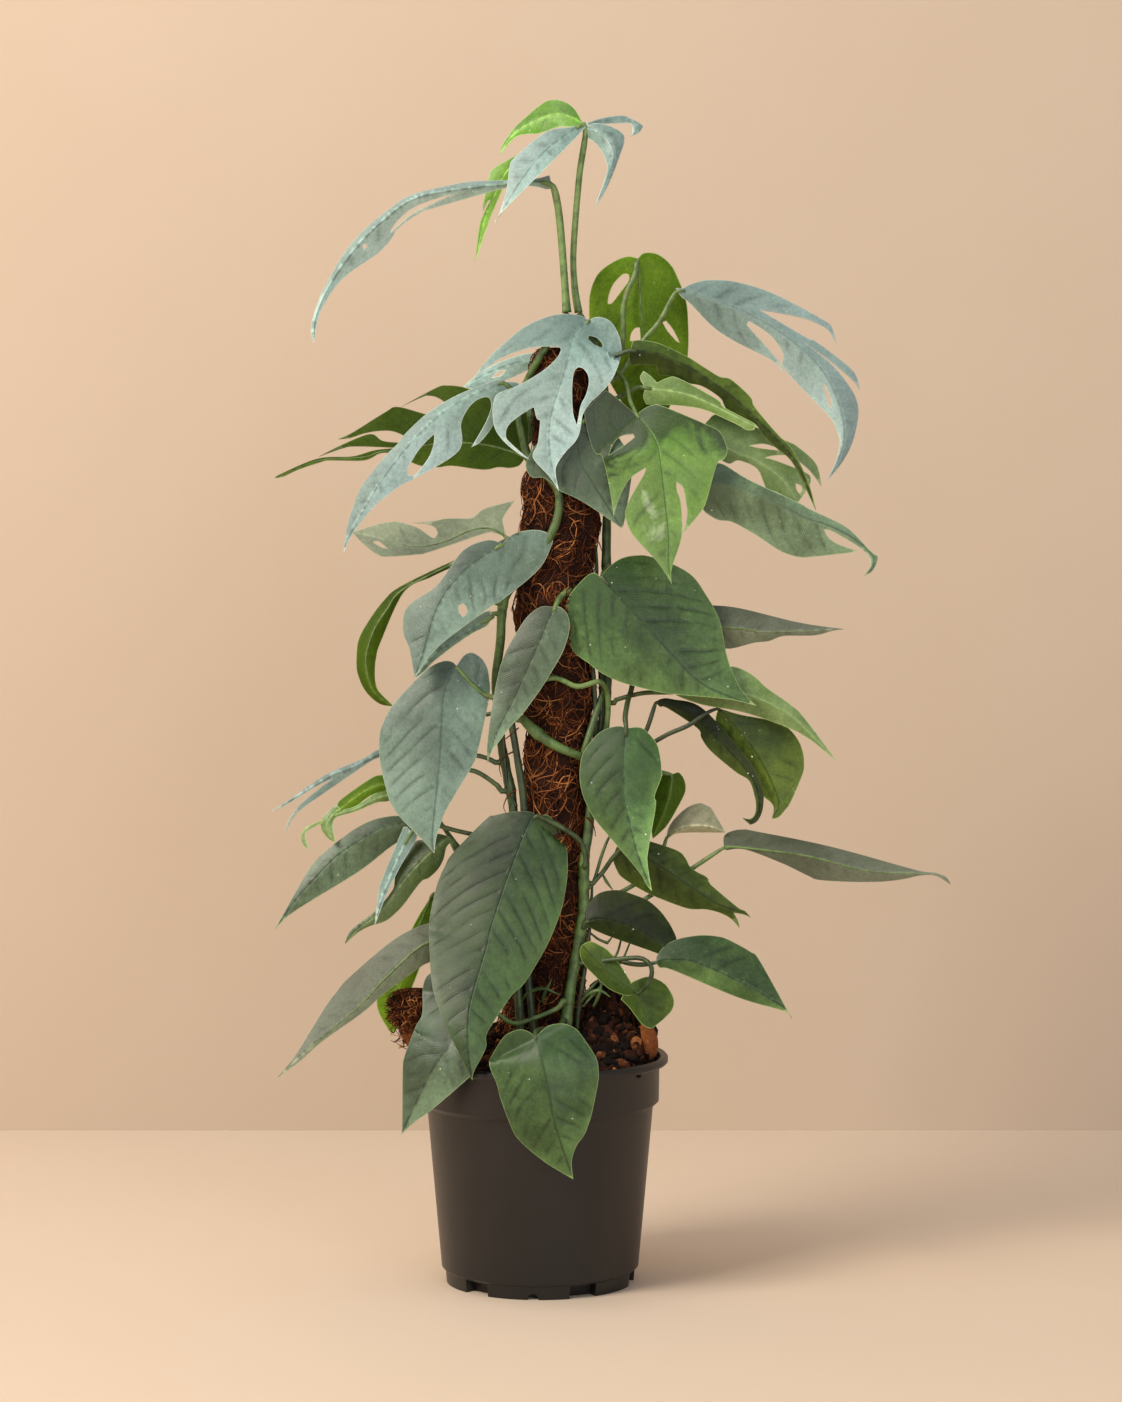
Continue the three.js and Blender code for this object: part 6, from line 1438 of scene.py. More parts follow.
        (168, 512), (180, 494), (205, 461), (211, 454), (216, 450), (218.6, 444.5)),
        slope=(0.15, 0.75)),
        ),
    ),
    LeafPlan(
        "leaf_centre_right", Skin.GREEN, "right", 586, tones=(0.27, 1.15), girth=2.5,
        stalk=((80.4, 521, -36), (79.5, 530, -29), (82, 545, -17), (86, 561, -8), (81, 577, -4),
        (74, 583, -2)),
        panels=(
        Panel(rib=((80.3, 519.6, -36), (78.4, 489, -43), (79.3, 453.6, -47), (88, 413, -51),
        (93.6, 395, -53), (104.6, 366.8, -55)), one=((75.7, 521.4), (66.8, 520.5), (58, 517),
        (50.7, 510.7), (43.6, 501.8), (39, 493), (37.3, 482), (37.3, 469.6), (40, 457), (45.4, 444.6),
        (54.3, 430.4), (91, 387), (99, 373.6)), two=((91.8, 520.5), (99, 517), (108.8, 505.4),
        (112.3, 493), (113.6, 482), (113.2, 473.2), (107, 456), (108.2, 447), (101.6, 408),
        (100.4, 393.6)), slope=(0.12, 0.3)),
        ),
    ),
    LeafPlan(
        "leaf_small_right", Skin.OLIVE, "right", 461, tones=(0.02, 0.02),
        stalk=((123, 476, -13), (106, 478, -11), (88, 472, -9), (68, 464, -10)),
        panels=(
        Panel(rib=((124, 476.4, -13), (121, 455, -14), (114, 435, -16), (105.4, 416, -18)),
        one=((128, 478.2), (131, 477), (134.6, 471.4), (136, 464.3), (133.8, 455.4), (120.4, 431),
        (112, 421.6)), two=((118.6, 477), (113, 474), (108, 462), (105, 444), (104, 428)),
        slope=(0.3, 0.4)),
        ),
    ),
    LeafPlan(
        "leaf_pale_small", Skin.PALE, "right", 356, tones=(0.3, 0.9),
        stalk=((118.5, 417, -8), (112, 398, -7), (98, 380, -5), (76, 366, -6), (58, 359, -12)),
        panels=(
        Panel(rib=((118.5, 418, -8), (133, 426, -11), (145.4, 428.4, -12), (161, 427, -12),
        (173.6, 421.6, -12)), one=((119, 422), (122, 429.3), (129.3, 438.2), (138.2, 445.4),
        (149, 449.3), (156, 447), (161.4, 442.7)), two=((122, 418), (128, 421), (145.4, 422)),
        slope=(0.6, 1.4)),
        ),
    ),
    LeafPlan(
        "leaf_right_long", Skin.ASH, "right", 342, tones=(-0.19, -0.05),
        stalk=((171, 407, -16), (96, 358, -8), (70, 348, -9), (54, 344, -14)),
        panels=(
        Panel(rib=((172, 408.4, -16), (190, 407.6, -19), (250.7, 399.5, -25), (301, 386.5, -28),
        (328, 384, -30), (371, 382.4, -32), (379, 378.4, -33), (384.3, 373, -33)), one=((172, 418),
        (179.3, 423), (190, 424.5), (200.7, 423), (270.4, 408.8), (345.4, 388.2), (359.6, 384.8),
        (370.4, 383.6), (380, 379.6)), two=((174, 405.4), (191.8, 406), (225.7, 393.4), (250.7, 381.4),
        (261.4, 377.5), (292, 375.6), (318.6, 375.8), (340, 378.2), (356, 381.6), (370.4, 381.2)),
        slope=(0.9, 0.6)),
        ),
    ),
    LeafPlan(
        "leaf_two_tips", Skin.DEEP, "right", 374, tones=(0.35, 0.37),
        stalk=((77, 407, -27), (68, 398, -24), (59, 385, -21), (52, 377, -22)),
        panels=(
        Panel(rib=((76, 408.4, -28), (100.7, 397.6, -30), (156, 361, -34), (170, 353.2, -35),
        (190, 346.8, -36), (197.5, 341.8, -36)), one=((84, 413), (95, 415), (109.6, 411.4),
        (129.3, 404.3), (136.4, 397), (140, 390), (147, 384.6), (154.3, 381), (158, 377.5),
        (159.6, 373), (184.6, 351.8), (191.8, 348.2)), two=((72, 409), (69.5, 402.5), (68.6, 395.4),
        (72, 386.4), (77.5, 379.3), (100.7, 365), (129.3, 353.4), (141.8, 350), (154.3, 349.8),
        (165, 347.6), (174, 344), (181, 339), (186.8, 332), (185.5, 338.2), (181.4, 346.4),
        (191, 344.8)), slope=(0.4, 0.3)),
        ),
    ),
    LeafPlan(
        "leaf_low_dark", Skin.DEEP, "right", 333, tones=(-0.21, 0.13),
        stalk=((44, 337.6, -34), (42, 337, -33)),
        panels=(
        Panel(rib=((43.4, 338, -35), (56, 341, -37), (72, 338, -39), (88, 333, -41), (101, 325.7, -42),
        (115, 316, -43), (126, 305, -44)), one=((43.6, 350), (49, 359.6), (56, 365), (65, 367.3),
        (75.7, 367.3), (88.2, 363.2), (100.7, 358), (111.4, 349), (118.6, 340), (124, 331), (128, 320)),
        two=((44, 334.4), (61.4, 325.7), (109.6, 308.4), (118, 304)), slope=(0.35, 0.25)),
        ),
    ),
    LeafPlan(
        "leaf_low_right", Skin.GREEN, "right", 318, tones=(0.01, 0.62),
        stalk=((108, 299.4, -50), (95, 297.6, -46), (80, 299.6, -38), (64, 306, -32), (50, 314, -29)),
        panels=(
        Panel(rib=((109, 300, -50), (119, 302, -51), (140, 301.6, -53), (154, 297, -54),
        (170, 290, -56), (202.5, 273.4, -58), (218.6, 263.6, -59), (229.6, 256.6, -60),
        (236.4, 245.7, -60)), one=((109, 304.3), (113.2, 311.4), (120.4, 317.7), (129.3, 321.6),
        (140, 324), (152.5, 325.2), (165, 324.3), (175.7, 321.3), (197, 309.6), (206, 300.7)),
        two=((112, 295), (124, 292.7), (174, 271.3), (199, 262.3), (230, 253.4)), slope=(0.5, 0.4)),
        ),
    ),
    LeafPlan(
        "leaf_pair_low", Skin.DEEP, "right", 300, tones=(1.47, 1.5),
        stalk=((92, 270.4, -50), (99, 277, -55), (104.4, 287, -58), (103, 298, -57), (92, 304, -52),
        (54, 300.6, -38)),
        panels=(
        Panel(rib=((91.5, 270, -48), (77, 279.6, -45), (61, 293, -43), (39, 316, -40)),
        one=((77.5, 293.6), (65, 309.6), (56, 315.9), (47, 319.5)), two=((81, 268.6), (70.4, 272),
        (61.4, 277.5), (43.6, 295), (38.2, 304.3), (37.3, 311.4)), slope=(0.3, 0.2)),
        Panel(rib=((90, 283, -46), (91.5, 270, -48), (97, 256, -51), (101.6, 238, -54)),
        one=((100.7, 286.4), (111.4, 283), (118.6, 277.5), (124, 268.6), (125.4, 261.4), (122, 252.5),
        (106, 238.2)), two=((84, 279), (75.7, 265), (83, 258), (95.4, 241.8)), slope=(0.35, 0.3)),
        ),
    ),
    LeafPlan(
        "leaf_front_long", Skin.GREEN, "right", 391, tones=(-0.19, 0.17), girth=2.6,
        stalk=((-3, 437.6, -38), (17, 428.4, -39), (29.3, 420.6, -38), (38.6, 412, -35), (43, 398, -33)),
        panels=(
        Panel(rib=((-4.6, 437, -38), (-11.8, 427.5, -43), (-33, 372, -65), (-45.7, 333, -78),
        (-51, 311, -85), (-61.8, 275, -99), (-66.3, 256, -107), (-68, 233, -115), (-67, 209.6, -120),
        (-63.6, 188.2, -122)), one=((-8.2, 441), (-24.3, 441.4), (-42, 438), (-51, 433.8),
        (-81.4, 402.5), (-88.6, 391), (-94, 379.3), (-98.4, 365), (-103.8, 336.4), (-103, 300.7),
        (-102, 286.4), (-99.3, 270.4), (-88.6, 240)), two=((6, 438.4), (11.4, 434.6), (16.8, 427.5),
        (24, 409.6), (25.7, 395.4), (25.4, 381), (23, 363.2), (18.6, 345.4), (7.9, 318.6), (-8.2, 290),
        (-17, 277.5), (-28, 266.8), (-49.3, 234), (-51, 219), (-62, 197)), slope=(0.22, 0.2)),
        ),
    ),
    LeafPlan(
        "leaf_left_low", Skin.ASH, "left", 313, tones=(-0.09, 0.4),
        stalk=((-81, 326, -36), (-62, 321, -33), (-33, 314, -25)),
        panels=(
        Panel(rib=((-80, 326.6, -36), (-103.8, 318.6, -40), (-117, 311, -43), (-145.7, 284.6, -49),
        (-172, 256.6, -54), (-228, 209, -62), (-247.5, 190, -64)), one=((-90, 334), (-104.6, 336.4),
        (-128, 326.6), (-149.3, 311.4), (-181.4, 283), (-190.4, 272), (-201, 258), (-226, 217.4),
        (-235, 204.6)), two=((-90, 305), (-103.8, 299.8), (-113.6, 294.5), (-145.7, 271),
        (-165.4, 253.4), (-204.6, 225), (-224.3, 207.4)), slope=(0.45, 0.35)),
        ),
    ),
    LeafPlan(
        "leaf_left_under", Skin.OLIVE, "left", 360, tones=(0.43, 1.5),
        stalk=((-100, 364, -4), (-80, 366, -5), (-52, 365, -9), (-38, 362, -14)),
        panels=(
        Panel(rib=((-100, 365, -4), (-111, 338, 0), (-124, 302, 4), (-136, 265, 7), (-138.6, 234, 8)),
        one=((-115.4, 340), (-136, 300), (-153, 263.2), (-142, 236)), two=((-95, 350), (-100, 322),
        (-113, 294.5), (-135.4, 236)), slope=(0.3, 0.3)),
        ),
    ),
    LeafPlan(
        "leaf_over_rim", Skin.SAGE, "right", 263, tones=(-0.08, 0.32), girth=2.2, stem=0.35,
        stalk=((-77, 268, -66), (-39, 251, -66), (-30, 244, -64), (-19, 242.7, -60), (8, 252.5, -48),
        (18, 258, -44)),
        panels=(
        Panel(rib=((-78, 268.6, -66), (-81, 245, -82), (-85, 222, -96), (-94, 209, -97),
        (-104.6, 192, -95), (-130.5, 137.3, -82)), one=((-88, 285), (-98, 292), (-103.6, 289),
        (-107.3, 284.6), (-110, 274), (-110.6, 251), (-117, 238.2), (-127, 211.4), (-128.8, 197),
        (-129.4, 146)), two=((-74, 262), (-66, 240), (-60, 215), (-63, 196), (-66.3, 191.6), (-78, 181),
        (-103, 159.6), (-117, 149.6)), slope=(0.35, -0.5)),
        ),
    ),
    LeafPlan(
        "leaf_front_heart", Skin.GREEN, "right", 245, tones=(0.34, 0.45), girth=2.5,
        stalk=((-4.4, 231, -118), (-3, 235, -106), (2, 236.6, -88), (18, 240, -52)),
        panels=(
        Panel(rib=((-4.6, 228.4, -121), (-1, 220.4, -128), (2.5, 204.3, -135), (8.8, 175.7, -138),
        (14, 147, -137), (31, 95, -127)), one=((-8.2, 233), (-14.5, 236), (-20.7, 236.4), (-28, 233.8),
        (-35, 228.4), (-45.7, 211.4), (-47.7, 205), (-45.7, 197), (-40.4, 184.6), (-36.8, 170.4),
        (-26, 141.8), (-17, 129.3), (4.3, 111.4)), two=((1.6, 235.5), (8, 240), (15, 241.8),
        (24, 241.4), (33, 237.3), (40, 229.3), (52.5, 209.6), (54.8, 197), (54.3, 186.4), (49, 159.6),
        (45.4, 147), (41, 136.4), (34.6, 127.5), (31, 118.6), (29.5, 109.6)), slope=(0.16, 0.16)),
        ),
    ),
    LeafPlan(
        "leaf_left_dark", Skin.SAGE, "left", 413, tones=(0.01, 0.61), stem=0.05,
        stalk=((-113, 434, -27), (-80, 424, -27), (-38, 415, -18)),
        panels=(
        Panel(rib=((-112, 434, -27), (-140, 428, -31), (-153, 423.4, -33), (-181.4, 406, -37),
        (-194, 395.8, -39), (-219, 369.4, -43), (-233, 352.5, -45), (-248.4, 330.2, -47)),
        one=((-120, 437), (-128, 437.4), (-137, 437.3), (-149.3, 435.5), (-160, 432), (-170.7, 426.6),
        (-181.4, 419.5), (-204.6, 400.7), (-215.4, 388.2), (-226, 371)), two=((-126, 417.5),
        (-140.4, 408), (-170.7, 384.6), (-229.6, 348)), slope=(0.4, 0.35)),
        ),
    ),
    LeafPlan(
        "leaf_twin_left", Skin.SILVER, "left", 489, tones=(-0.13, 0.31), stem=0.0,
        stalk=((-129, 502.6, -19), (-64, 495, -17), (-48, 491, -13)),
        panels=(
        Panel(rib=((-128, 503, -19), (-150, 495.6, -20), (-180, 480.6, -24), (-193, 476.4, -26),
        (-225, 456.5, -30), (-251.4, 442, -34)), one=((-140, 501.6), (-153, 498.6), (-163.6, 491.8),
        (-192, 479.8), (-208.2, 471), (-237, 450.8)), two=((-136, 497), (-150.2, 492.4), (-163.6, 485),
        (-216.6, 448.6), (-228.6, 438), (-235.4, 427.5), (-237.8, 420), (-236.6, 429), (-231.8, 438.4),
        (-222, 450.5), (-194, 472.6), (-212, 463.4), (-239, 446.6)), slope=(0.8, 0.6)),
        ),
    ),
    LeafPlan(
        "leaf_bright_curl", Skin.LIME, "left", 462, tones=(0.07, 0.32), stem=0.1,
        stalk=((-136, 464, -25), (-100, 474, -24), (-65.4, 480.4, -22), (-40, 466, -16)),
        panels=(
        Panel(rib=((-135, 464.6, -25), (-148, 467, -27), (-162, 462, -29), (-176, 453, -32),
        (-193.5, 438.6, -37)), one=((-141, 475), (-147.5, 475.7), (-158.2, 472.4), (-185, 453.6),
        (-189.6, 447.4)), two=((-139, 459.6), (-146, 460.4), (-160, 455.4), (-174, 444.8),
        (-184, 440.4)), slope=(0.5, 0.2), skin=Skin.OLIVE),
        Panel(rib=((-135, 459, -25), (-153, 454.2, -29), (-172.5, 444, -33), (-190.4, 438.8, -36.4),
        (-216.5, 426.4, -39), (-221.6, 419, -40), (-219.6, 411, -41), (-215.4, 405, -41)),
        one=((-145, 461), (-153, 459), (-172.5, 446.6), (-190.4, 441.4), (-204, 433.4), (-217.6, 427.6),
        (-223.4, 419), (-221.6, 410.6)), two=((-141.3, 451.6), (-153, 449.8), (-172.5, 441.6),
        (-190.4, 436.2), (-215, 425), (-219.8, 418.6)), slope=(0.5, 0.4)),
        Panel(rib=((-187, 444.4, -35.4), (-195, 438, -37.4), (-199.6, 430, -39), (-197.6, 421, -40),
        (-191.3, 412.3, -40)), one=((-190.4, 448), (-197.5, 441.8), (-203, 435.5), (-205, 428.4),
        (-203, 422), (-197.5, 415.9)), two=((-188, 439), (-192.6, 434), (-194, 427.5)),
        slope=(0.5, 0.3)),
        ),
    ),
    LeafPlan(
        "leaf_narrow_blue", Skin.SILVER, "left", 382, tones=(0.12, 0.87),
        stalk=((-120, 422, -40), (-113, 431, -38), (-104, 437, -34), (-95, 433, -21), (-84, 418, -13),
        (-72, 404, -12), (-52, 390, -12), (-38, 384, -14)),
        panels=(
        Panel(rib=((-121, 423, -40), (-142, 375, -40), (-148.4, 358, -41), (-155, 333.8, -41)),
        one=((-124, 427), (-127.6, 427), (-145.7, 383), (-151, 366.8)), two=((-118, 423), (-115.4, 417),
        (-131.4, 389), (-144.8, 361)), slope=(0.8, 0.9)),
        ),
    ),
    LeafPlan(
        "leaf_wavy_left", Skin.LIME, "left", 370, tones=(-0.28, -0.06),
        stalk=((-84.6, 416, -28), (-74, 396, -21), (-60, 381, -19), (-44, 373, -18)),
        panels=(
        Panel(rib=((-85, 418, -29), (-99, 407, -31), (-117, 389, -33), (-131.4, 372, -34),
        (-143, 355, -35), (-158, 340.5, -36), (-171, 330.6, -37), (-183, 316.8, -38)), one=((-92, 420),
        (-98.4, 420.4), (-107, 415), (-113.6, 414.6), (-119, 411.4), (-124.3, 401), (-135, 384.6),
        (-136, 375.7), (-138.6, 366.8), (-153, 349.4), (-172.5, 334), (-179.6, 326.4)),
        two=((-83.2, 413), (-87.7, 408), (-90.4, 397), (-95.7, 387.3), (-104.6, 379), (-111.8, 375.4),
        (-128, 354), (-136.8, 345), (-145.7, 338.4), (-160, 333.6), (-171, 327.6)), slope=(0.4, 0.35)),
        ),
    ),
    LeafPlan(
        "leaf_rear_top", Skin.GREEN, "back", 838,
        stalk=((38, 838, 50), (34, 838, 46)),
        panels=(
        Panel(rib=((39, 838, 51), (47, 815, 62), (53, 785, 74), (57, 750, 82)), one=((44, 843),
        (56, 840), (66, 826), (72, 805), (71, 780), (64, 760)), two=((34, 844), (26, 832), (28, 808),
        (36, 780), (47, 758)), slope=(0.3, 0.3)),
        ),
    ),
    LeafPlan(
        "leaf_rear_upper_left", Skin.GREEN, "back", 812,
        stalk=((2, 812, 49), (8, 812, 45)),
        panels=(
        Panel(rib=((0, 812, 50), (-22, 802, 62), (-48, 788, 74), (-78, 776, 82)), one=((-4, 820),
        (-20, 824), (-42, 817), (-62, 801)), two=((2, 804), (-10, 784), (-32, 771), (-60, 769)),
        slope=(0.3, 0.3)),
        ),
    ),
    LeafPlan(
        "leaf_rear_left", Skin.TEAL, "back", 690,
        stalk=((4, 690, 46), (10, 690, 44)),
        panels=(
        Panel(rib=((0, 690, 48), (-24, 677, 64), (-48, 659, 78), (-74, 641, 88)), one=((-6, 697),
        (-28, 698), (-48, 686), (-64, 664)), two=((2, 681), (-10, 661), (-30, 645), (-56, 638)),
        slope=(0.3, 0.3)),
        ),
    ),
    LeafPlan(
        "leaf_rear_right", Skin.GREEN, "back", 636,
        stalk=((38, 636, 44), (30, 636, 42)),
        panels=(
        Panel(rib=((42, 636, 46), (66, 624, 64), (92, 606, 80), (124, 584, 92)), one=((48, 646),
        (72, 648), (98, 634), (116, 606)), two=((42, 626), (56, 602), (80, 584), (106, 578)),
        slope=(0.3, 0.3)),
        ),
    ),
    LeafPlan(
        "leaf_rear_low_left", Skin.GREEN, "back", 548,
        stalk=((-10, 540, 50), (2, 544, 46)),
        panels=(
        Panel(rib=((-52, 536, 58), (-72, 516, 72), (-84, 490, 84), (-96, 462, 92)), one=((-62, 548),
        (-84, 542), (-100, 514), (-104, 484)), two=((-52, 528), (-60, 504), (-70, 482), (-84, 466)),
        slope=(0.3, 0.3)),
        ),
    ),
    LeafPlan(
        "leaf_rear_low_right", Skin.GREEN, "back", 492,
        stalk=((50, 488, 52), (36, 490, 46)),
        panels=(
        Panel(rib=((58, 487, 54), (70, 462, 68), (80, 434, 80), (90, 405, 88)), one=((66, 496),
        (86, 490), (98, 462), (98, 430)), two=((54, 480), (54, 458), (64, 434), (78, 412)),
        slope=(0.3, 0.3)),
        ),
    ),
    LeafPlan(
        "leaf_rear_base", Skin.GREEN, "back", 420,
        stalk=((-6, 412, 48), (4, 416, 44)),
        panels=(
        Panel(rib=((-16, 408, 50), (-34, 378, 66), (-50, 344, 82), (-60, 306, 94)), one=((-24, 418),
        (-52, 410), (-72, 376), (-74, 338)), two=((-12, 398), (-12, 370), (-26, 338), (-46, 314)),
        slope=(0.3, 0.3)),
        ),
    ),
)

# Where the vines climb: x, z, depth and radius in millimetres
VINES: dict[str, Chain] = {
    "right": (
        (22, 150, -37, 4.8), (22, 214, -36, 4.8), (24, 240, -34.5, 4.8), (28.5, 275, -32, 4.8),
        (33, 301, -29, 4.7), (38, 330, -26, 4.6), (41, 348, -24.5, 4.6), (41, 383, -24, 4.5),
        (42, 400, -23.5, 4.5), (45, 420, -20, 4.4), (48, 450, -16, 4.4), (54, 490, -8, 4.3),
        (59, 530, -2, 4.3), (62, 552, 0, 4.2), (64, 600, 2, 4.2), (62, 650, 1, 4.1), (62, 700, -1, 4.1),
        (63, 750, -3, 4), (62, 800, -2, 3.9), (58, 850, 0, 3.8), (54, 872, 1, 3.7), (45, 889, 3, 3.6),
        (36, 905, 5, 3.4),
    ),
    "left": (
        (-16, 150, -30, 4.4), (-17, 214, -28, 4.4), (-22, 300, -22, 4.4), (-24, 380, -17, 4.3),
        (-25, 443, -14, 4.3), (-36, 505, -8, 4.2), (-41, 560, -6, 4.2), (-37, 600, -7, 4.2),
        (-33, 641, -9, 4.1), (-14, 665, -19, 4), (4, 688, -30.5, 4), (16, 715, -33, 4),
        (17, 740, -32.5, 3.9), (5, 757, -30, 3.9), (-10, 771, -18, 3.8), (-17, 795, -14, 3.8),
        (-19, 815, -13, 3.7), (-12, 842, -19, 3.6), (4, 872, -27, 3.5), (18, 894, -17, 3.4),
        (25, 904, -8, 3.3),
    ),
    "middle": (
        (-4, 150, -38, 3.6), (-5, 214, -36, 3.6), (-14, 330, -27.5, 3.6), (-15, 443, -26, 3.5),
        (-21, 490, -22, 3.4), (-27, 530, -17, 3.3), (-28, 575, -15, 3.2),
    ),
    "back": (
        (10, 150, 37, 4.4), (12, 214, 36, 4.4), (18, 350, 33, 4.3), (12, 470, 33, 4.2), (22, 560, 34, 4.1),
        (12, 650, 34, 4), (26, 740, 34, 3.9), (22, 830, 34, 3.7), (24, 868, 34, 3.5),
    ),
}


@dataclass
class Vine:
    """A climbing stem, with a swelling and a ring wherever a stalk leaves it."""

    name: str
    path: Chain
    joints: Sequence[float]
    # How light the vine is at each drawn height: painted light and shade.
    tones: Chain = ((0, 0.5),)
    sides: int = 14

    def __post_init__(self) -> None:
        """Round the path and place it."""
        drawn = DRAWING.smooth(self.path, 4.0)
        self.heights = drawn[:, 1]
        self.girths = drawn[:, 3]
        self.line = DRAWING.place(drawn[:, :3])

    def at(self, height: float) -> tuple[np.ndarray, np.ndarray, float]:
        """Return the centre, the direction and the radius in metres at a drawn height.

        Args:
            height: The height in millimetres.

        Returns:
            The place, the direction and the radius there.
        """
        i = int(np.argmax(self.heights > height))
        t = (height - self.heights[i - 1]) / (self.heights[i] - self.heights[i - 1])
        ahead = self.line[i] - self.line[i - 1]
        centre = self.line[i - 1] + ahead * t
        return centre, ahead / np.linalg.norm(ahead), float(self.girths[i]) * MM

    def reach(self, height: float, start: np.ndarray, sunk: float = 0.6) -> list[np.ndarray]:
        """Return the last two points of a stalk that ends square to the vine.

        Args:
            height: The drawn height of the joint.
            start: Where the stalk comes from.
            sunk: How deep it ends, as a share of the vine's radius.

        Returns:
            A point just off the vine and one in it.
        """
        centre, ahead, radius = self.at(height)
        out = start - centre
        out = out - ahead * (out @ ahead)
        out /= np.linalg.norm(out)
        return [centre + out * (radius + 0.0045), centre + out * radius * sunk]

    def build(self, wardrobe: "Wardrobe") -> bpy.types.Object:
        """Make the vine's piece.

        Args:
            wardrobe: The materials of the plant.

        Returns:
            The finished vine.
        """
        girths = self.girths.copy()
        for joint in self.joints:
            gap = self.heights - joint
            girths *= 1 + 0.22 * np.exp(-(gap / 5.0) ** 2) + 0.12 * np.exp(-((gap - 9.0) / 2.2) ** 2)
        girths *= 1 + 0.035 * np.sin(self.heights / 7.3) + 0.03 * np.sin(self.heights / 17.9 + 1.0)
        # Painted light and shade along the vine, from its tones.
        tones = np.interp(self.heights, *np.array(self.tones, dtype=float).T)
        solid = tube(self.line, girths * MM, self.sides, tones)
        piece = solid.raise_object(f"vine_{self.name}_grown", [wardrobe.vine(self.name)])
        return Bench.settle(piece, Slot.STEM, f"vine_{self.name}")


@dataclass
class CrossShoot:
    """The shoot with a swollen node that crosses the front of the pole between two vines."""

    start: tuple[str, float] = ("middle", 528)
    end: tuple[str, float] = ("right", 484)
    path: Chain = ((-16, 528, -31, 4), (-6, 518, -34, 4.8), (8, 507, -34.5, 4.4), (21, 500, -34, 4.2),
                   (36, 494, -29, 3.9))

    def build(self, vines: dict[str, Vine], wardrobe: "Wardrobe") -> bpy.types.Object:
        """Make the shoot's piece.

        Args:
            vines: The vines by name.
            wardrobe: The materials of the plant.

        Returns:
            The finished shoot.
        """
        drawn = DRAWING.smooth(self.path, 3.0)
        line = DRAWING.place(drawn[:, :3])
        head = vines[self.start[0]].reach(self.start[1], line[0])[::-1]
        tail = vines[self.end[0]].reach(self.end[1], line[-1])
        points = np.array([*head, *line, *tail])
        share = np.linspace(0, 1, len(points))
        girths = np.interp(share, (0, 0.12, 0.3, 0.36, 0.42, 1), (3.4, 4.2, 5.4, 6.1, 4.9, 3.5))
        finish = wardrobe.vine("cross")
        piece = tube(points, girths * MM, 14, 0.6).raise_object("vine_cross_grown", [finish])
        return Bench.settle(piece, Slot.STEM, "vine_cross")


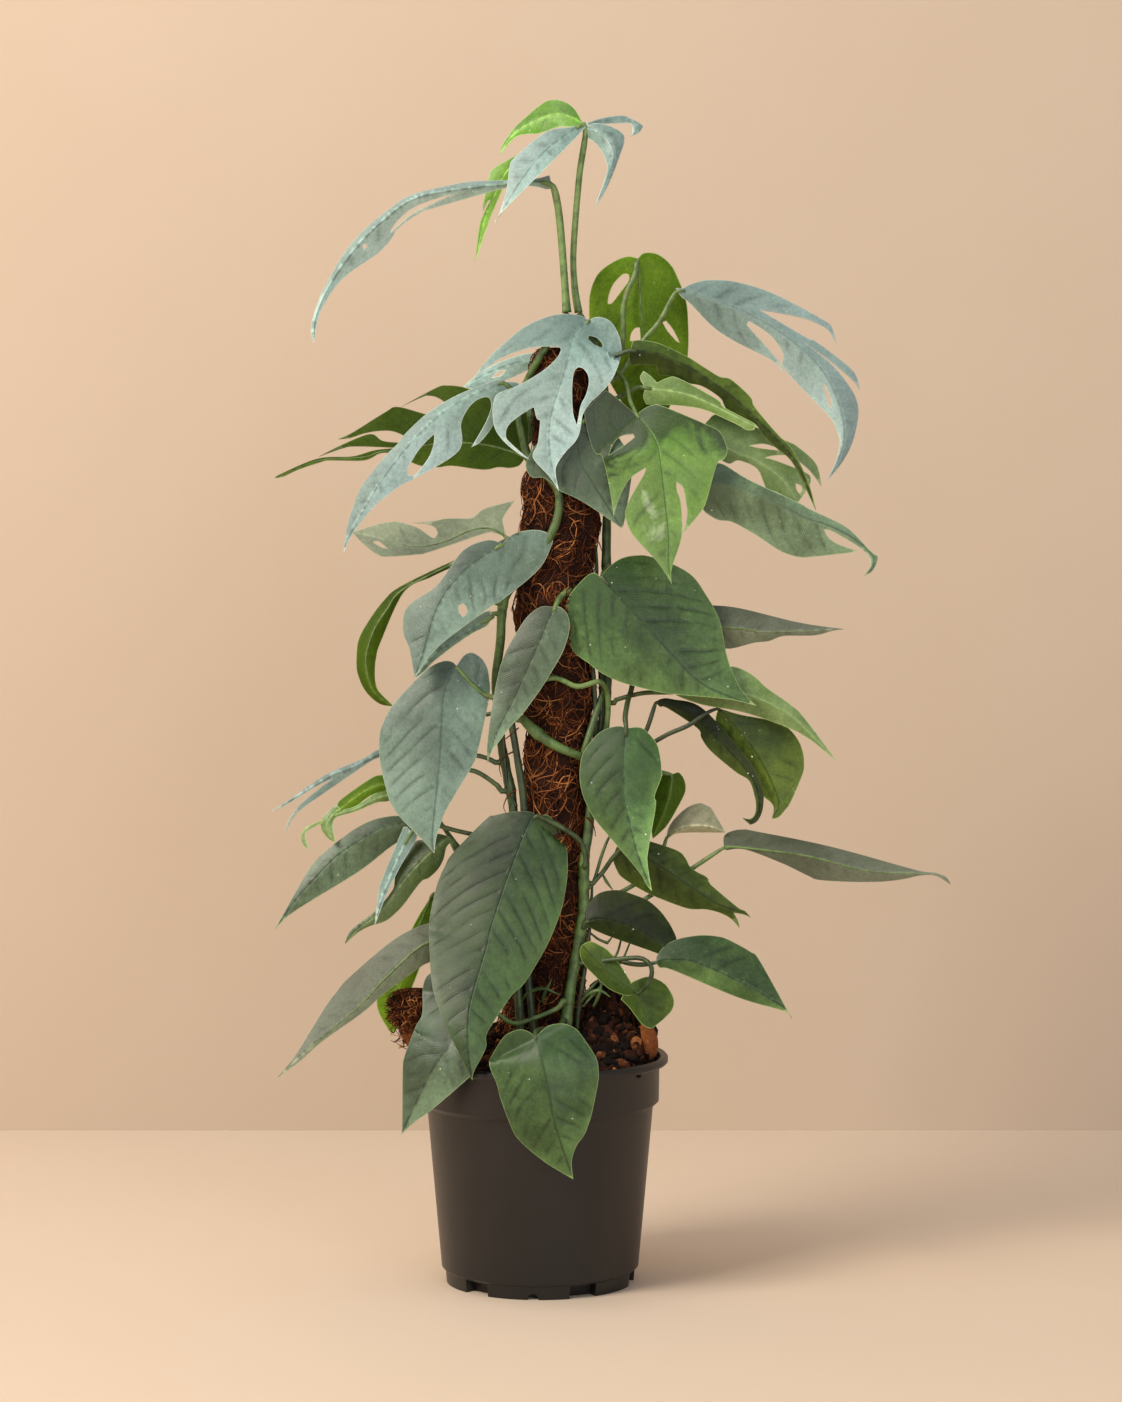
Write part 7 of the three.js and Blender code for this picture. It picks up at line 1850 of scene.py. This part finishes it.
@dataclass
class Undergrowth:
    """Old stems, small shoots and aerial rootlets, drawn as x, z, depth and radius in millimetres."""

    stems: Sequence[Chain] = (
        ((47, 492, -18, 2.0), (56, 520, -11, 2.3), (57, 560, -11, 2.2), (54, 600, -13, 2.0),
         (52, 640, -13, 1.9),
         (53, 668, -12, 1.6), (52, 690, -8, 1.2)),
        ((43, 470, -22, 1.8), (51, 510, -18, 2.2), (51, 556, -19, 2.0), (47, 600, -20, 1.7),
         (45, 622, -18, 1.0)),
        ((-22, 446, -17, 1.6), (-31, 470, -15, 1.9), (-35, 520, -13, 1.9), (-36, 560, -10, 1.5)),
        ((34, 232, -30, 2.0), (37, 262, -32, 2.1), (43, 300, -29, 1.9), (47, 340, -24, 1.6),
         (49, 376, -21, 1.2)),
    )
    shoots: Sequence[Chain] = (
        ((60, 556, -10, 2.2), (57, 548, -15, 2.8), (50, 526, -22, 3.2), (43, 504, -26, 3.2),
         (39, 492, -25, 2.4)),
        ((-18, 262, -26, 1.0), (-10, 272, -33, 1.9), (4, 275, -36, 1.6), (14, 271, -37, 0.9),
         (20, 269, -37, 0.3)),
        ((2, 262, -31, 0.8), (4, 270, -35, 1.7), (9, 280, -37, 0.9), (11, 285, -38, 0.3)),
        ((38, 262, -34, 1.2), (46, 270, -39, 1.9), (56, 273, -42, 1.8), (66, 267, -43, 0.4)),
        ((50, 258, -38, 1.0), (54, 266, -41, 1.6), (57, 276, -43, 1.1), (56, 283, -44, 0.3)),
        ((66, 420, -12, 1.0), (62, 412, -14, 1.4), (57, 398, -17, 1.6), (51, 378, -20, 1.6),
         (45, 368, -23, 1.2)),
        ((76, 322, -14, 0.9), (72, 308, -17, 1.2), (62, 292, -22, 1.3), (48, 276, -28, 1.3),
         (36, 266, -31, 1.0)),
        ((84, 318, -12, 0.8), (78, 304, -15, 1.1), (68, 290, -19, 1.3), (54, 274, -26, 1.3),
         (40, 258, -31, 1.0)),
        ((58, 384, -17, 0.5), (62, 376, -19, 1.5), (68, 368, -20, 0.4)),
        ((44, 330, -24, 1.0), (54, 322, -24, 1.2), (63, 318, -23, 1.5), (68, 324, -23, 0.4)),
    )
    rootlets: Sequence[Chain] = (
        ((-24, 498, -22, 0.9), (-33, 493, -22, 0.7), (-38, 484, -22, 0.5), (-36, 474, -22, 0.25)),
        ((-22, 462, -22, 0.8), (-30, 456, -22, 0.7), (-34, 446, -21, 0.4), (-31, 439, -20, 0.25)),
        ((-20, 520, -20, 0.8), (-29, 512, -22, 0.6), (-37, 506, -21, 0.25)),
        ((46, 700, -18, 0.9), (54, 694, -20, 0.7), (58, 684, -20, 0.3)),
        ((44, 436, -23, 0.9), (50, 428, -25, 0.6), (52, 418, -26, 0.3)),
        ((-14, 560, -24, 0.8), (-22, 552, -27, 0.6), (-24, 542, -28, 0.3)),
    )

    def build(self, wardrobe: "Wardrobe") -> None:
        """Make one piece of each kind.

        Args:
            wardrobe: The materials of the plant.
        """
        kinds = (("old_stems", self.stems, wardrobe.dark_stalk, 0.05),
                 ("small_shoots", self.shoots, wardrobe.stem, 0.35),
                 ("aerial_rootlets", self.rootlets, wardrobe.coir_fibre, 0.35))
        for name, paths, finish, tone in kinds:
            tubes = []
            for path in paths:
                drawn = DRAWING.smooth(path, 2.0)
                tubes.append(tube(DRAWING.place(drawn[:, :3]), drawn[:, 3] * MM, 10, tone))
            Bench.settle(Solid.joined(tubes).raise_object(name, [finish]), Slot.STEM)


@dataclass
class CoirRoll:
    """Matted coir: a lumpy core under a coat of loose fibres."""

    node: str
    line: Chain
    fibres: int
    seed: int
    lumps: float = 1.6
    fold: Chain = ()
    fibre_length: tuple[float, float] = (22.0, 60.0)
    stray: float = 0.12
    stray_lift: float = 6.0
    sides: int = 48
    knots: int = 8
    bare: float = 0.0  # below this height few fibres start
    shell: bool = False  # the core is husk shell, not matted coir
    added: bool = False  # the roll stands for no CAD node

    def __post_init__(self) -> None:
        """Read the centre line and draw the waves that make the lumps."""
        self.x, self.y, self.z, self.r = np.array(self.line, dtype=float).T
        self.draw = np.random.default_rng(self.seed)
        draw = self.draw
        self.waves = [(int(draw.integers(1, 9)), draw.uniform(0.02, 0.2), draw.uniform(0, 6.28),
                       draw.uniform(0.3, 1.0)) for _ in range(14)]

    def surface(self, turn: np.ndarray, z: np.ndarray, lift: np.ndarray | float = 0.0) -> np.ndarray:
        """Return points on the roll.

        Args:
            turn: The angle round the roll.
            z: The height in millimetres.
            lift: How far off the surface.

        Returns:
            Points in millimetres.
        """
        wave = sum(size * np.sin(k * turn + m * z + phase) for k, m, phase, size in self.waves)
        radius = np.interp(z, self.z, self.r) + self.lumps * wave * 0.36
        for angle, low, high, raised in self.fold:
            gap = np.angle(np.exp(1j * (turn - angle)))
            swell = np.clip((z - low) / 25, 0, 1) * np.clip((high - z) / 25, 0, 1)
            radius = radius + raised * np.exp(-(gap / 0.6) ** 2) * swell
        radius = radius + lift
        centre_x, centre_y = np.interp(z, self.z, self.x), np.interp(z, self.z, self.y)
        return np.stack((centre_x + radius * np.cos(turn), centre_y + radius * np.sin(turn), z), axis=-1)

    def core(self) -> Solid:
        """Return the closed core.

        Returns:
            The core as rings of points with both ends closed.
        """
        rows = np.linspace(self.z[0], self.z[-1], max(8, int((self.z[-1] - self.z[0]) / 3.5)))
        turns = 2 * np.pi * np.arange(self.sides) / self.sides
        grid = self.surface(np.tile(turns, len(rows)), np.repeat(rows, self.sides))
        faces: list[Sequence[int]] = []
        for i in range(0, (len(rows) - 1) * self.sides, self.sides):
            for k in range(self.sides):
                following = (k + 1) % self.sides
                faces.append((i + k, i + following, i + self.sides + following, i + self.sides + k))
        last = (len(rows) - 1) * self.sides
        faces.append(tuple(range(self.sides - 1, -1, -1)))
        faces.append(tuple(range(last, last + self.sides)))
        return Solid(grid * MM, faces, {"tone": np.full(len(grid), 0.3)}, [0] * len(faces))

    def coat(self) -> Solid:
        """Return the loose fibres that lie on the core, some of them standing off it.

        Returns:
            The fibres as thin tubes.
        """
        count, knots, draw = self.fibres, self.knots, self.draw
        length = draw.uniform(*self.fibre_length, count)
        heading = draw.uniform(0, 2 * np.pi, count)
        bend = draw.normal(0, 0.52, count)
        turn = draw.uniform(0, 2 * np.pi, count)
        z = draw.uniform(self.z[0], self.z[-1], count)
        moved = (z < self.bare) & (draw.random(count) < 0.8)
        z = np.where(moved, draw.uniform(self.bare, self.z[-1], count), z)
        height = draw.uniform(0.2, 3.2, count)
        strays = draw.random(count) < self.stray
        tip_lift = np.where(strays, draw.uniform(0.3, 1.0, count) * self.stray_lift, 0.0)
        paths = []
        for k in range(knots):
            share = k / (knots - 1)
            lift = 0.2 + height * math.sin(math.pi * share) + tip_lift * share ** 2
            paths.append(self.surface(turn, np.clip(z, self.z[0] + 1, self.z[-1]), lift))
            heading = heading + bend + draw.normal(0, 0.2, count)
            stride = length / (knots - 1)
            z = z + np.cos(heading) * stride
            turn = turn + np.sin(heading) * stride / np.interp(z, self.z, self.r + 6)
        line = np.stack(paths, axis=1) * MM
        return strands(line, draw.uniform(0.28, 0.66, count) * MM, draw.beta(1.0, 1.25, count))

    def build(self, wardrobe: "Wardrobe") -> list[bpy.types.Object]:
        """Make the core, which stands for the node, and its coat.

        Args:
            wardrobe: The materials of the plant.

        Returns:
            The core and the coat.
        """
        skin = wardrobe.husk_shell if self.shell else wardrobe.coir_mat
        core = self.core().raise_object(f"{self.node}_core", [skin])
        coat = self.coat().raise_object(f"{self.node}_fibres", [wardrobe.coir_fibre])
        nodes = () if self.added else (self.node,)
        return [Bench.settle(core, Slot.COIR, *nodes), Bench.settle(coat, Slot.COIR)]


@dataclass
class HuskPiece:
    """A curved piece of husk shell standing in the soil, sized in metres."""

    place: tuple[float, float, float] = (0.098, -0.020, 0.229)
    size: tuple[float, float, float] = (0.012, 0.011, 0.019)
    lean: float = 12.0

    def build(self, wardrobe: "Wardrobe") -> bpy.types.Object:
        """Cut the piece from a ball and give it its thickness.

        Args:
            wardrobe: The materials of the plant.

        Returns:
            The finished piece.
        """
        bpy.ops.object.select_all(action="DESELECT")
        bpy.ops.mesh.primitive_uv_sphere_add(segments=40, ring_count=24, radius=1.0)
        piece = bpy.context.active_object
        piece.name = "husk_piece"
        bpy.ops.object.mode_set(mode="EDIT")
        bpy.ops.mesh.bisect(plane_co=(0.1, 0, 0), plane_no=(1, -0.35, 0), clear_inner=True)
        bpy.ops.mesh.select_all(action="SELECT")
        bpy.ops.transform.vertex_random(offset=0.025, seed=3)
        bpy.ops.object.mode_set(mode="OBJECT")
        piece.scale, piece.location = self.size, self.place
        piece.rotation_euler = (0.0, math.radians(-self.lean), 0.0)
        bpy.ops.object.transform_apply(location=True, rotation=True, scale=True)
        Bench.modify(piece, "SOLIDIFY", thickness=0.0022, offset=-1.0)
        bpy.ops.object.shade_smooth()
        layer = piece.data.attributes.new("tone", "FLOAT", "POINT")
        layer.data.foreach_set("value", [0.5] * len(piece.data.vertices))
        piece.data.materials.append(wardrobe.husk_shell)
        return Bench.settle(piece, Slot.COIR)


def strands(lines: np.ndarray, radii: np.ndarray, tones: np.ndarray) -> Solid:
    """Make many thin three-sided fibres at once.

    Args:
        lines: A table of fibres by points by x, y and z, in metres.
        radii: The radius of each fibre.
        tones: The tone of each fibre.

    Returns:
        All fibres, each closed.
    """
    count, knots, _ = lines.shape
    ahead = np.gradient(lines, axis=1)
    ahead /= np.linalg.norm(ahead, axis=2, keepdims=True) + 1e-12
    across = np.cross(ahead, np.array((0.23, 0.31, 0.92)))
    across /= np.linalg.norm(across, axis=2, keepdims=True) + 1e-12
    other = np.cross(ahead, across)
    taper = np.interp(np.linspace(0, 1, knots), (0, 0.15, 0.8, 1), (0.5, 1, 0.9, 0.35))
    thin = radii[:, None] * taper[None, :]
    corners = [lines + thin[:, :, None] * (across * math.cos(a) + other * math.sin(a))
               for a in (0.0, 2 * math.pi / 3, 4 * math.pi / 3)]
    points = np.stack(corners, axis=2).reshape(-1, 3)
    first = (np.arange(count) * knots * 3)[:, None, None] + (np.arange(knots - 1) * 3)[None, :, None]
    k = np.arange(3)[None, None, :]
    following = (k + 1) % 3
    corners = (first + k, first + following, first + 3 + following, first + 3 + k)
    quads = np.stack(corners, axis=-1).reshape(-1, 4)
    start = (np.arange(count) * knots * 3)[:, None]
    heads = start + np.array((2, 1, 0))
    tails = start + (knots - 1) * 3 + np.array((0, 1, 2))
    faces = [*quads.tolist(), *heads.tolist(), *tails.tolist()]
    return Solid(points, faces, {"tone": np.repeat(tones, knots * 3)})


@dataclass
class Soil:
    """Dark potting mix heaped round the pole, under bark chips and shreds of coir."""

    level: float = 203.0
    heaps: Chain = ((62, 10, 64, 34), (-18, 6, 32, 40))
    profile: Chain = ((108.6, 199), (108.4, 173), (102, 163), (89.2, 18.4), (71.6, 15.4), (71.6, 3.0))
    reach: float = 108.8
    chips: int = 1500
    shreds: int = 900
    seed: int = 7

    def height(self, x: np.ndarray, y: np.ndarray) -> np.ndarray:
        """Return the height of the soil in millimetres at places in millimetres.

        Args:
            x: How far right the places are.
            y: How far back the places are.

        Returns:
            The height at each place.
        """
        heaps = [tall * np.exp(-((x - hx) ** 2 + (y - hy) ** 2) / (2 * wide ** 2))
                 for hx, hy, tall, wide in self.heaps]
        rough = sum(s * np.sin(a * x + b * y + c) for a, b, c, s in (
            (0.21, 0.13, 0.4, 1.2), (-0.16, 0.27, 1.9, 1.1), (0.37, -0.31, 3.1, 0.7),
            (0.52, 0.45, 5.0, 0.5)))
        rim = np.clip((self.reach - np.hypot(x, y)) / 10, 0, 1)
        return self.level + (np.max(heaps, axis=0) + rough) * rim

    def bed(self) -> Solid:
        """Return the closed body of soil.

        Returns:
            The body with its heaped top.
        """
        turns = 2 * np.pi * np.arange(96) / 96
        rings = [np.stack((r * np.cos(turns), r * np.sin(turns)), axis=1)
                 for r in np.linspace(2.4, self.reach, 44)]
        tops = [np.column_stack((ring, self.height(ring[:, 0], ring[:, 1]))) for ring in rings]
        sides = [np.stack((r * np.cos(turns), r * np.sin(turns), np.full(96, z)), axis=1)
                 for r, z in self.profile]
        rows = tops + sides
        faces: list[Sequence[int]] = [tuple(range(96))]
        for i in range(0, (len(rows) - 1) * 96, 96):
            for k in range(96):
                following = (k + 1) % 96
                faces.append((i + k, i + 96 + k, i + 96 + following, i + following))
        last = (len(rows) - 1) * 96
        faces.append(tuple(range(last + 95, last - 1, -1)))
        points = np.concatenate(rows) * MM
        return Solid(points, faces, {"tone": np.full(len(points), 0.25)})

    def _chip(self) -> tuple[np.ndarray, list[list[int]]]:
        """Model one rough bark chip with operators and return its points and faces.

        Returns:
            The points of a chip about 1 long and its faces.
        """
        bpy.ops.object.select_all(action="DESELECT")
        bpy.ops.mesh.primitive_cube_add(size=1.0)
        chip = bpy.context.active_object
        bpy.ops.object.mode_set(mode="EDIT")
        bpy.ops.mesh.subdivide(number_cuts=1, smoothness=0.6)
        bpy.ops.transform.vertex_random(offset=0.09, seed=self.seed)
        bpy.ops.object.mode_set(mode="OBJECT")
        points = np.array([v.co[:] for v in chip.data.vertices])
        faces = [list(p.vertices) for p in chip.data.polygons]
        bpy.ops.object.delete()
        return points, faces

    def litter(self) -> Solid:
        """Return the bark chips strewn over the soil.

        Returns:
            The chips, each with a tone of its own.
        """
        draw = np.random.default_rng(self.seed)
        chip, chip_faces = self._chip()
        placed: list[Solid] = []
        while len(placed) < self.chips:
            if draw.random() < 0.35:
                x, y = draw.normal((62, 4), (26, 30))
            else:
                turn, away = draw.uniform(0, 2 * np.pi), (self.reach - 3) * math.sqrt(draw.random())
                x, y = away * math.cos(turn), away * math.sin(turn)
            if math.hypot(x, y) > self.reach - 4 or math.hypot(x - 14, y) < 24:
                continue
            size = np.array((draw.uniform(5, 15), draw.uniform(4, 10), draw.uniform(2, 6)))
            size *= draw.uniform(0.5, 1.3)
            axes, _ = np.linalg.qr(draw.normal(size=(3, 3)))
            if np.linalg.det(axes) < 0:
                axes[:, 0] *= -1
            rise = float(self.height(np.array([x]), np.array([y]))[0]) + draw.uniform(-1.0, 4.5)
            points = (chip * size) @ axes.T + np.array((x, y, rise))
            tone = float(draw.beta(1.2, 2.2))
            placed.append(Solid(points * MM, chip_faces, {"tone": np.full(len(points), tone)}))
        return Solid.joined(placed)

    def shred(self) -> Solid:
        """Return the shreds of coir lying among the chips.

        Returns:
            The shreds as thin tubes.
        """
        draw = np.random.default_rng(self.seed + 1)
        turn = draw.uniform(0, 2 * np.pi, self.shreds)
        away = (self.reach - 8) * np.sqrt(draw.random(self.shreds))
        x, y = away * np.cos(turn), away * np.sin(turn)
        heading, bend = draw.uniform(0, 2 * np.pi, self.shreds), draw.normal(0, 0.5, self.shreds)
        lift = draw.uniform(0.5, 5.0, self.shreds)
        paths = []
        for k in range(6):
            inside = np.minimum(1, (self.reach - 2) / np.maximum(np.hypot(x, y), 1))
            x, y = x * inside, y * inside
            rise = self.height(x, y) + 1.0 + lift * math.sin(math.pi * k / 5)
            paths.append(np.stack((x, y, rise), axis=1))
            heading = heading + bend
            x, y = x + np.cos(heading) * 4.2, y + np.sin(heading) * 4.2
        return strands(np.stack(paths, axis=1) * MM, draw.uniform(0.2, 0.4, self.shreds) * MM,
                       draw.beta(2, 3, self.shreds))

    def build(self, wardrobe: "Wardrobe") -> list[bpy.types.Object]:
        """Make the soil, its chips and its shreds.

        Args:
            wardrobe: The materials of the plant.

        Returns:
            The bed, the chips and the shreds.
        """
        bed = self.bed().raise_object("soil_bed", [wardrobe.bark])
        chips = self.litter().raise_object("soil_chips", [wardrobe.bark])
        chips.data.polygons.foreach_set("use_smooth", [False] * len(chips.data.polygons))
        shreds = self.shred().raise_object("soil_shreds", [wardrobe.coir_fibre])
        return [Bench.settle(bed, Slot.BARK, "soil"), Bench.settle(chips, Slot.BARK),
                Bench.settle(shreds, Slot.COIR)]


@dataclass
class Pot:
    """The nursery pot: a turned wall with a step, a rolled rim and notches between its feet."""

    profile: Chain = (
        (88, 0), (89, 12), (92.5, 15), (106, 166), (111.5, 171), (112, 205.4), (118.5, 206), (120, 207.6),
        (120, 211.6), (117.8, 214), (113, 212.6), (109.4, 206), (108.9, 172), (103.4, 164), (89.9, 18),
        (72, 15), (72, 2.6),
    )
    sides: int = 128
    feet: int = 3
    foot_turn: float = -97.25
    foot_half: float = 34.25
    foot_gap: float = 27.0
    foot_height: float = 12.0
    drain_turn: float = 3.25
    drain_radius: float = 5.0
    foot_ring: float = 88.0
    cut: float = 24.0

    def _wall(self) -> bpy.types.Object:
        """Extrude a disc up the outside and down the inside of the wall.

        Returns:
            The turned wall.
        """
        radius, height = self.profile[0]
        bpy.ops.object.select_all(action="DESELECT")
        bpy.ops.mesh.primitive_circle_add(vertices=self.sides, radius=radius * MM, fill_type="NGON",
                                          location=(0, 0, height * MM))
        pot = bpy.context.active_object
        pot.name = pot.data.name = "pot_moulded"
        bpy.ops.object.mode_set(mode="EDIT")
        for wide, high in self.profile[1:]:
            rise = (high - height) * MM
            bpy.ops.mesh.extrude_region_move(TRANSFORM_OT_translate={"value": (0, 0, rise)})
            share = wide / radius
            bpy.ops.transform.resize(value=(share, share, 1), center_override=(0, 0, high * MM))
            radius, height = wide, high
        bpy.ops.mesh.select_all(action="SELECT")
        bpy.ops.mesh.normals_make_consistent(inside=False)
        bpy.ops.object.mode_set(mode="OBJECT")
        return pot

    def _notches(self) -> bpy.types.Object:
        """Make the cutter for the gaps between the feet and the drain notch in each wide foot.

        Returns:
            One piece that holds all the cutters.
        """
        cutters = []
        ring = self.foot_ring * MM
        for k in range(self.feet):
            middle = self.foot_turn + 360 / self.feet * k
            for turn in (middle - self.foot_half, middle + self.foot_half):
                angle = math.radians(turn)
                bpy.ops.object.select_all(action="DESELECT")
                place = (ring * math.cos(angle), ring * math.sin(angle), 0)
                bpy.ops.mesh.primitive_cube_add(size=1, rotation=(0, 0, angle), location=place)
                gap = bpy.context.active_object
                gap.scale = (self.cut * MM, self.foot_gap * MM, self.foot_height * 2 * MM)
                cutters.append(gap)
            angle = math.radians(middle + self.drain_turn)
            bpy.ops.object.select_all(action="DESELECT")
            bpy.ops.mesh.primitive_cylinder_add(
                vertices=24, radius=self.drain_radius * MM, depth=self.cut * MM,
                rotation=(math.pi / 2, 0, angle + math.pi / 2),
                location=(ring * math.cos(angle), ring * math.sin(angle), MM))
            cutters.append(bpy.context.active_object)
        for cutter in cutters:
            Bench.pick(cutter)
            bpy.ops.object.transform_apply(location=True, rotation=True, scale=True)
        return Bench.join(*cutters)

    def build(self, wardrobe: "Wardrobe") -> bpy.types.Object:
        """Make the pot's piece.

        Args:
            wardrobe: The materials of the plant.

        Returns:
            The finished pot.
        """
        pot = self._wall()
        cutter = self._notches()
        Bench.modify(pot, "BOOLEAN", operation="DIFFERENCE", object=cutter, solver="EXACT")
        bpy.data.objects.remove(cutter)
        Bench.modify(pot, "BEVEL", width=0.0007, segments=2, limit_method="ANGLE",
                     angle_limit=math.radians(28))
        Bench.pick(pot)
        bpy.ops.object.shade_smooth_by_angle(angle=math.radians(32))
        pot.data.materials.append(wardrobe.plastic)
        return Bench.settle(pot, Slot.PLASTIC, "pot")


class Wardrobe:
    """Every finish on the plant, each made once."""

    def __init__(self) -> None:
        """Make the finishes that are always used."""
        self.leaves: dict[Skin, bpy.types.Material] = {}
        self.stem = STEM_GREEN.material()
        self.green_stalk = STALK_GREEN.material()
        self.dark_stalk = STALK_DARK.material()
        self.coir_mat = COIR_MAT.material()
        self.coir_fibre = COIR_FIBRE.material()
        self.husk_shell = HUSK_SHELL.material()
        self.bark = BARK.material()
        self.plastic = POT_PLASTIC.material()
        self.wood = STAKE_WOOD.material()

    def leaf(self, skin: Skin) -> bpy.types.Material:
        """Return the material of a leaf face.

        Args:
            skin: The face to dress.

        Returns:
            The material of that face.
        """
        if skin not in self.leaves:
            self.leaves[skin] = FRONT[skin].material()
        return self.leaves[skin]

    def stalk(self, skin: Skin) -> bpy.types.Material:
        """Return the material of a stalk and midrib."""
        return self.dark_stalk if skin in (Skin.DEEP, Skin.GREEN) else self.green_stalk

    def vine(self, name: str) -> bpy.types.Material:
        """Return the material of a vine."""
        return self.dark_stalk if name in ("middle", "back") else self.stem


@dataclass
class Studio:
    """A plain pale floor and wall, soft light and the camera of the photograph."""

    wall: float = 0.80
    face: str = "#c2ad95"
    ground: str = "#d3bfa8"

    def _aim(self, piece: bpy.types.Object, target: Sequence[float]) -> None:
        """Point a light at a place."""
        piece.rotation_euler = (Vector(target) - piece.location).to_track_quat("-Z", "Y").to_euler()

    def _light(self, name: str, place: Sequence[float], size: float, power: float, colour: str) -> None:
        """Add one soft square light aimed at the plant.

        Args:
            name: The name of the light.
            place: Where it hangs.
            size: The length of its sides.
            power: Its power in watts.
            colour: The paint code of its light.
        """
        lamp = bpy.data.lights.new(name, "AREA")
        lamp.size, lamp.energy, lamp.color = size, power, paint(colour)[:3]
        piece = bpy.data.objects.new(name, lamp)
        bpy.context.scene.collection.objects.link(piece)
        piece.location = place
        self._aim(piece, (0.0, 0.0, 0.55))

    def build(self) -> None:
        """Make the stage, the lights and the camera."""
        scene = bpy.context.scene
        plaster = StageFinish("pale_plaster", self.face).material()
        boards = StageFinish("pale_floor", self.ground).material()
        bpy.ops.object.select_all(action="DESELECT")
        bpy.ops.mesh.primitive_plane_add(size=1.0, location=(0, -2.6, 0))
        floor = bpy.context.active_object
        floor.scale = (14, 2 * (self.wall + 2.6), 1)
        floor.name = "studio_floor"
        upright = (math.pi / 2, 0, 0)
        bpy.ops.mesh.primitive_plane_add(size=1.0, location=(0, self.wall, 3.0), rotation=upright)
        wall = bpy.context.active_object
        wall.scale = (14, 6, 1)
        wall.name = "studio_wall"
        for piece, finish in ((floor, boards), (wall, plaster)):
            piece.data.materials.append(finish)
            Bench.pick(piece)
            bpy.ops.object.transform_apply(location=True, rotation=True, scale=True)
        world = bpy.data.worlds.new("studio_air")
        world.use_nodes = True
        world.node_tree.nodes["Background"].inputs["Color"].default_value = paint("#eef3fb")
        world.node_tree.nodes["Background"].inputs["Strength"].default_value = 0.45
        scene.world = world
        self._light("key", (-2.4, -2.1, 2.9), 1.6, 152.0, "#fff3e4")
        self._light("fill", (1.3, -3.8, 1.2), 2.8, 54.0, "#f6f6ff")
        self._light("top", (-0.6, -0.4, 3.4), 1.2, 18.0, "#ffffff")
        camera = bpy.data.objects.new("camera", bpy.data.cameras.new("camera"))
        camera.data.lens = 87.30
        camera.data.sensor_width = 36.0
        camera.location = DRAWING.eye
        camera.rotation_euler = (math.radians(87.2), 0, 0)
        scene.collection.objects.link(camera)
        scene.camera = camera
        scene.view_settings.view_transform = "Standard"


POLE_LINE: Chain = (
    (13, 0, 214, 27), (14, 0, 300, 27.5), (14, 0, 400, 27.5), (14, 0, 470, 28), (20, 0, 545, 29),
    (15, 0, 640, 29),
    (23, 0, 700, 30), (25, 0, 760, 29.5), (23, 0, 820, 28), (21, 0, 866, 27), (21, 0, 872, 22),
)
TUFT_LINE: Chain = (
    (-16, -4, 206, 33), (-14, -5, 228, 27), (-13, -5, 252, 20), (-14, -6, 272, 13), (-15, -6, 286, 5),
)
HUSK_LINE: Chain = (
    (-96, -22, 204, 6), (-101, -21, 214, 8), (-106, -20, 220, 12.5), (-110, -20, 228, 16),
    (-113, -19, 238, 18),
    (-115, -19, 250, 18), (-117, -19, 262, 17), (-118, -19, 270, 15), (-118, -19, 275, 9),
    (-118, -19, 277, 2),
)
# How light each vine is by drawn height: painted shade where a vine runs in shade, painted light where it
# is lit.
VINE_TONES: dict[str, Chain] = {
    "right": ((0, 0.7), (380, 0.6), (420, 0.25), (660, 0.15), (900, 0.5)),
    "left": ((0, 0.1), (520, 0.1), (570, 0.75), (650, 0.75), (700, 0.3), (900, 0.6)),
    "middle": ((0, 0.15),),
    "back": ((0, 0.2),),
}


def main() -> None:
    """Build the plant from its pot upwards, then the studio."""
    wardrobe = Wardrobe()
    Pot().build(wardrobe)
    Soil().build(wardrobe)
    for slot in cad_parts["pole_stake"].material_slots:
        slot.material = wardrobe.wood
    CoirRoll("pole_sleeve", POLE_LINE, 3600, 11, fold=((math.pi, 520, 775, 9.0),)).build(wardrobe)
    CoirRoll("husk_left", HUSK_LINE, 1500, 5, lumps=1.0, fibre_length=(7.0, 17.0), stray=0.75,
             stray_lift=12.0, bare=246.0, shell=True).build(wardrobe)
    CoirRoll("coir_tuft", TUFT_LINE, 1300, 21, lumps=1.3, fibre_length=(8.0, 22.0), stray=0.3,
             added=True).build(wardrobe)
    HuskPiece().build(wardrobe)
    joints = {name: [plan.height for plan in LEAVES if plan.vine == name] for name in VINES}
    vines = {name: Vine(name, path, joints[name], VINE_TONES[name]) for name, path in VINES.items()}
    for vine in vines.values():
        vine.build(wardrobe)
    CrossShoot().build(vines, wardrobe)
    Undergrowth().build(wardrobe)
    for plan in LEAVES:
        Leaf(plan, vines).build(wardrobe)
    Studio().build()


if __name__ == "__main__":
    logging.basicConfig(level=logging.INFO, format="%(message)s")
    main()
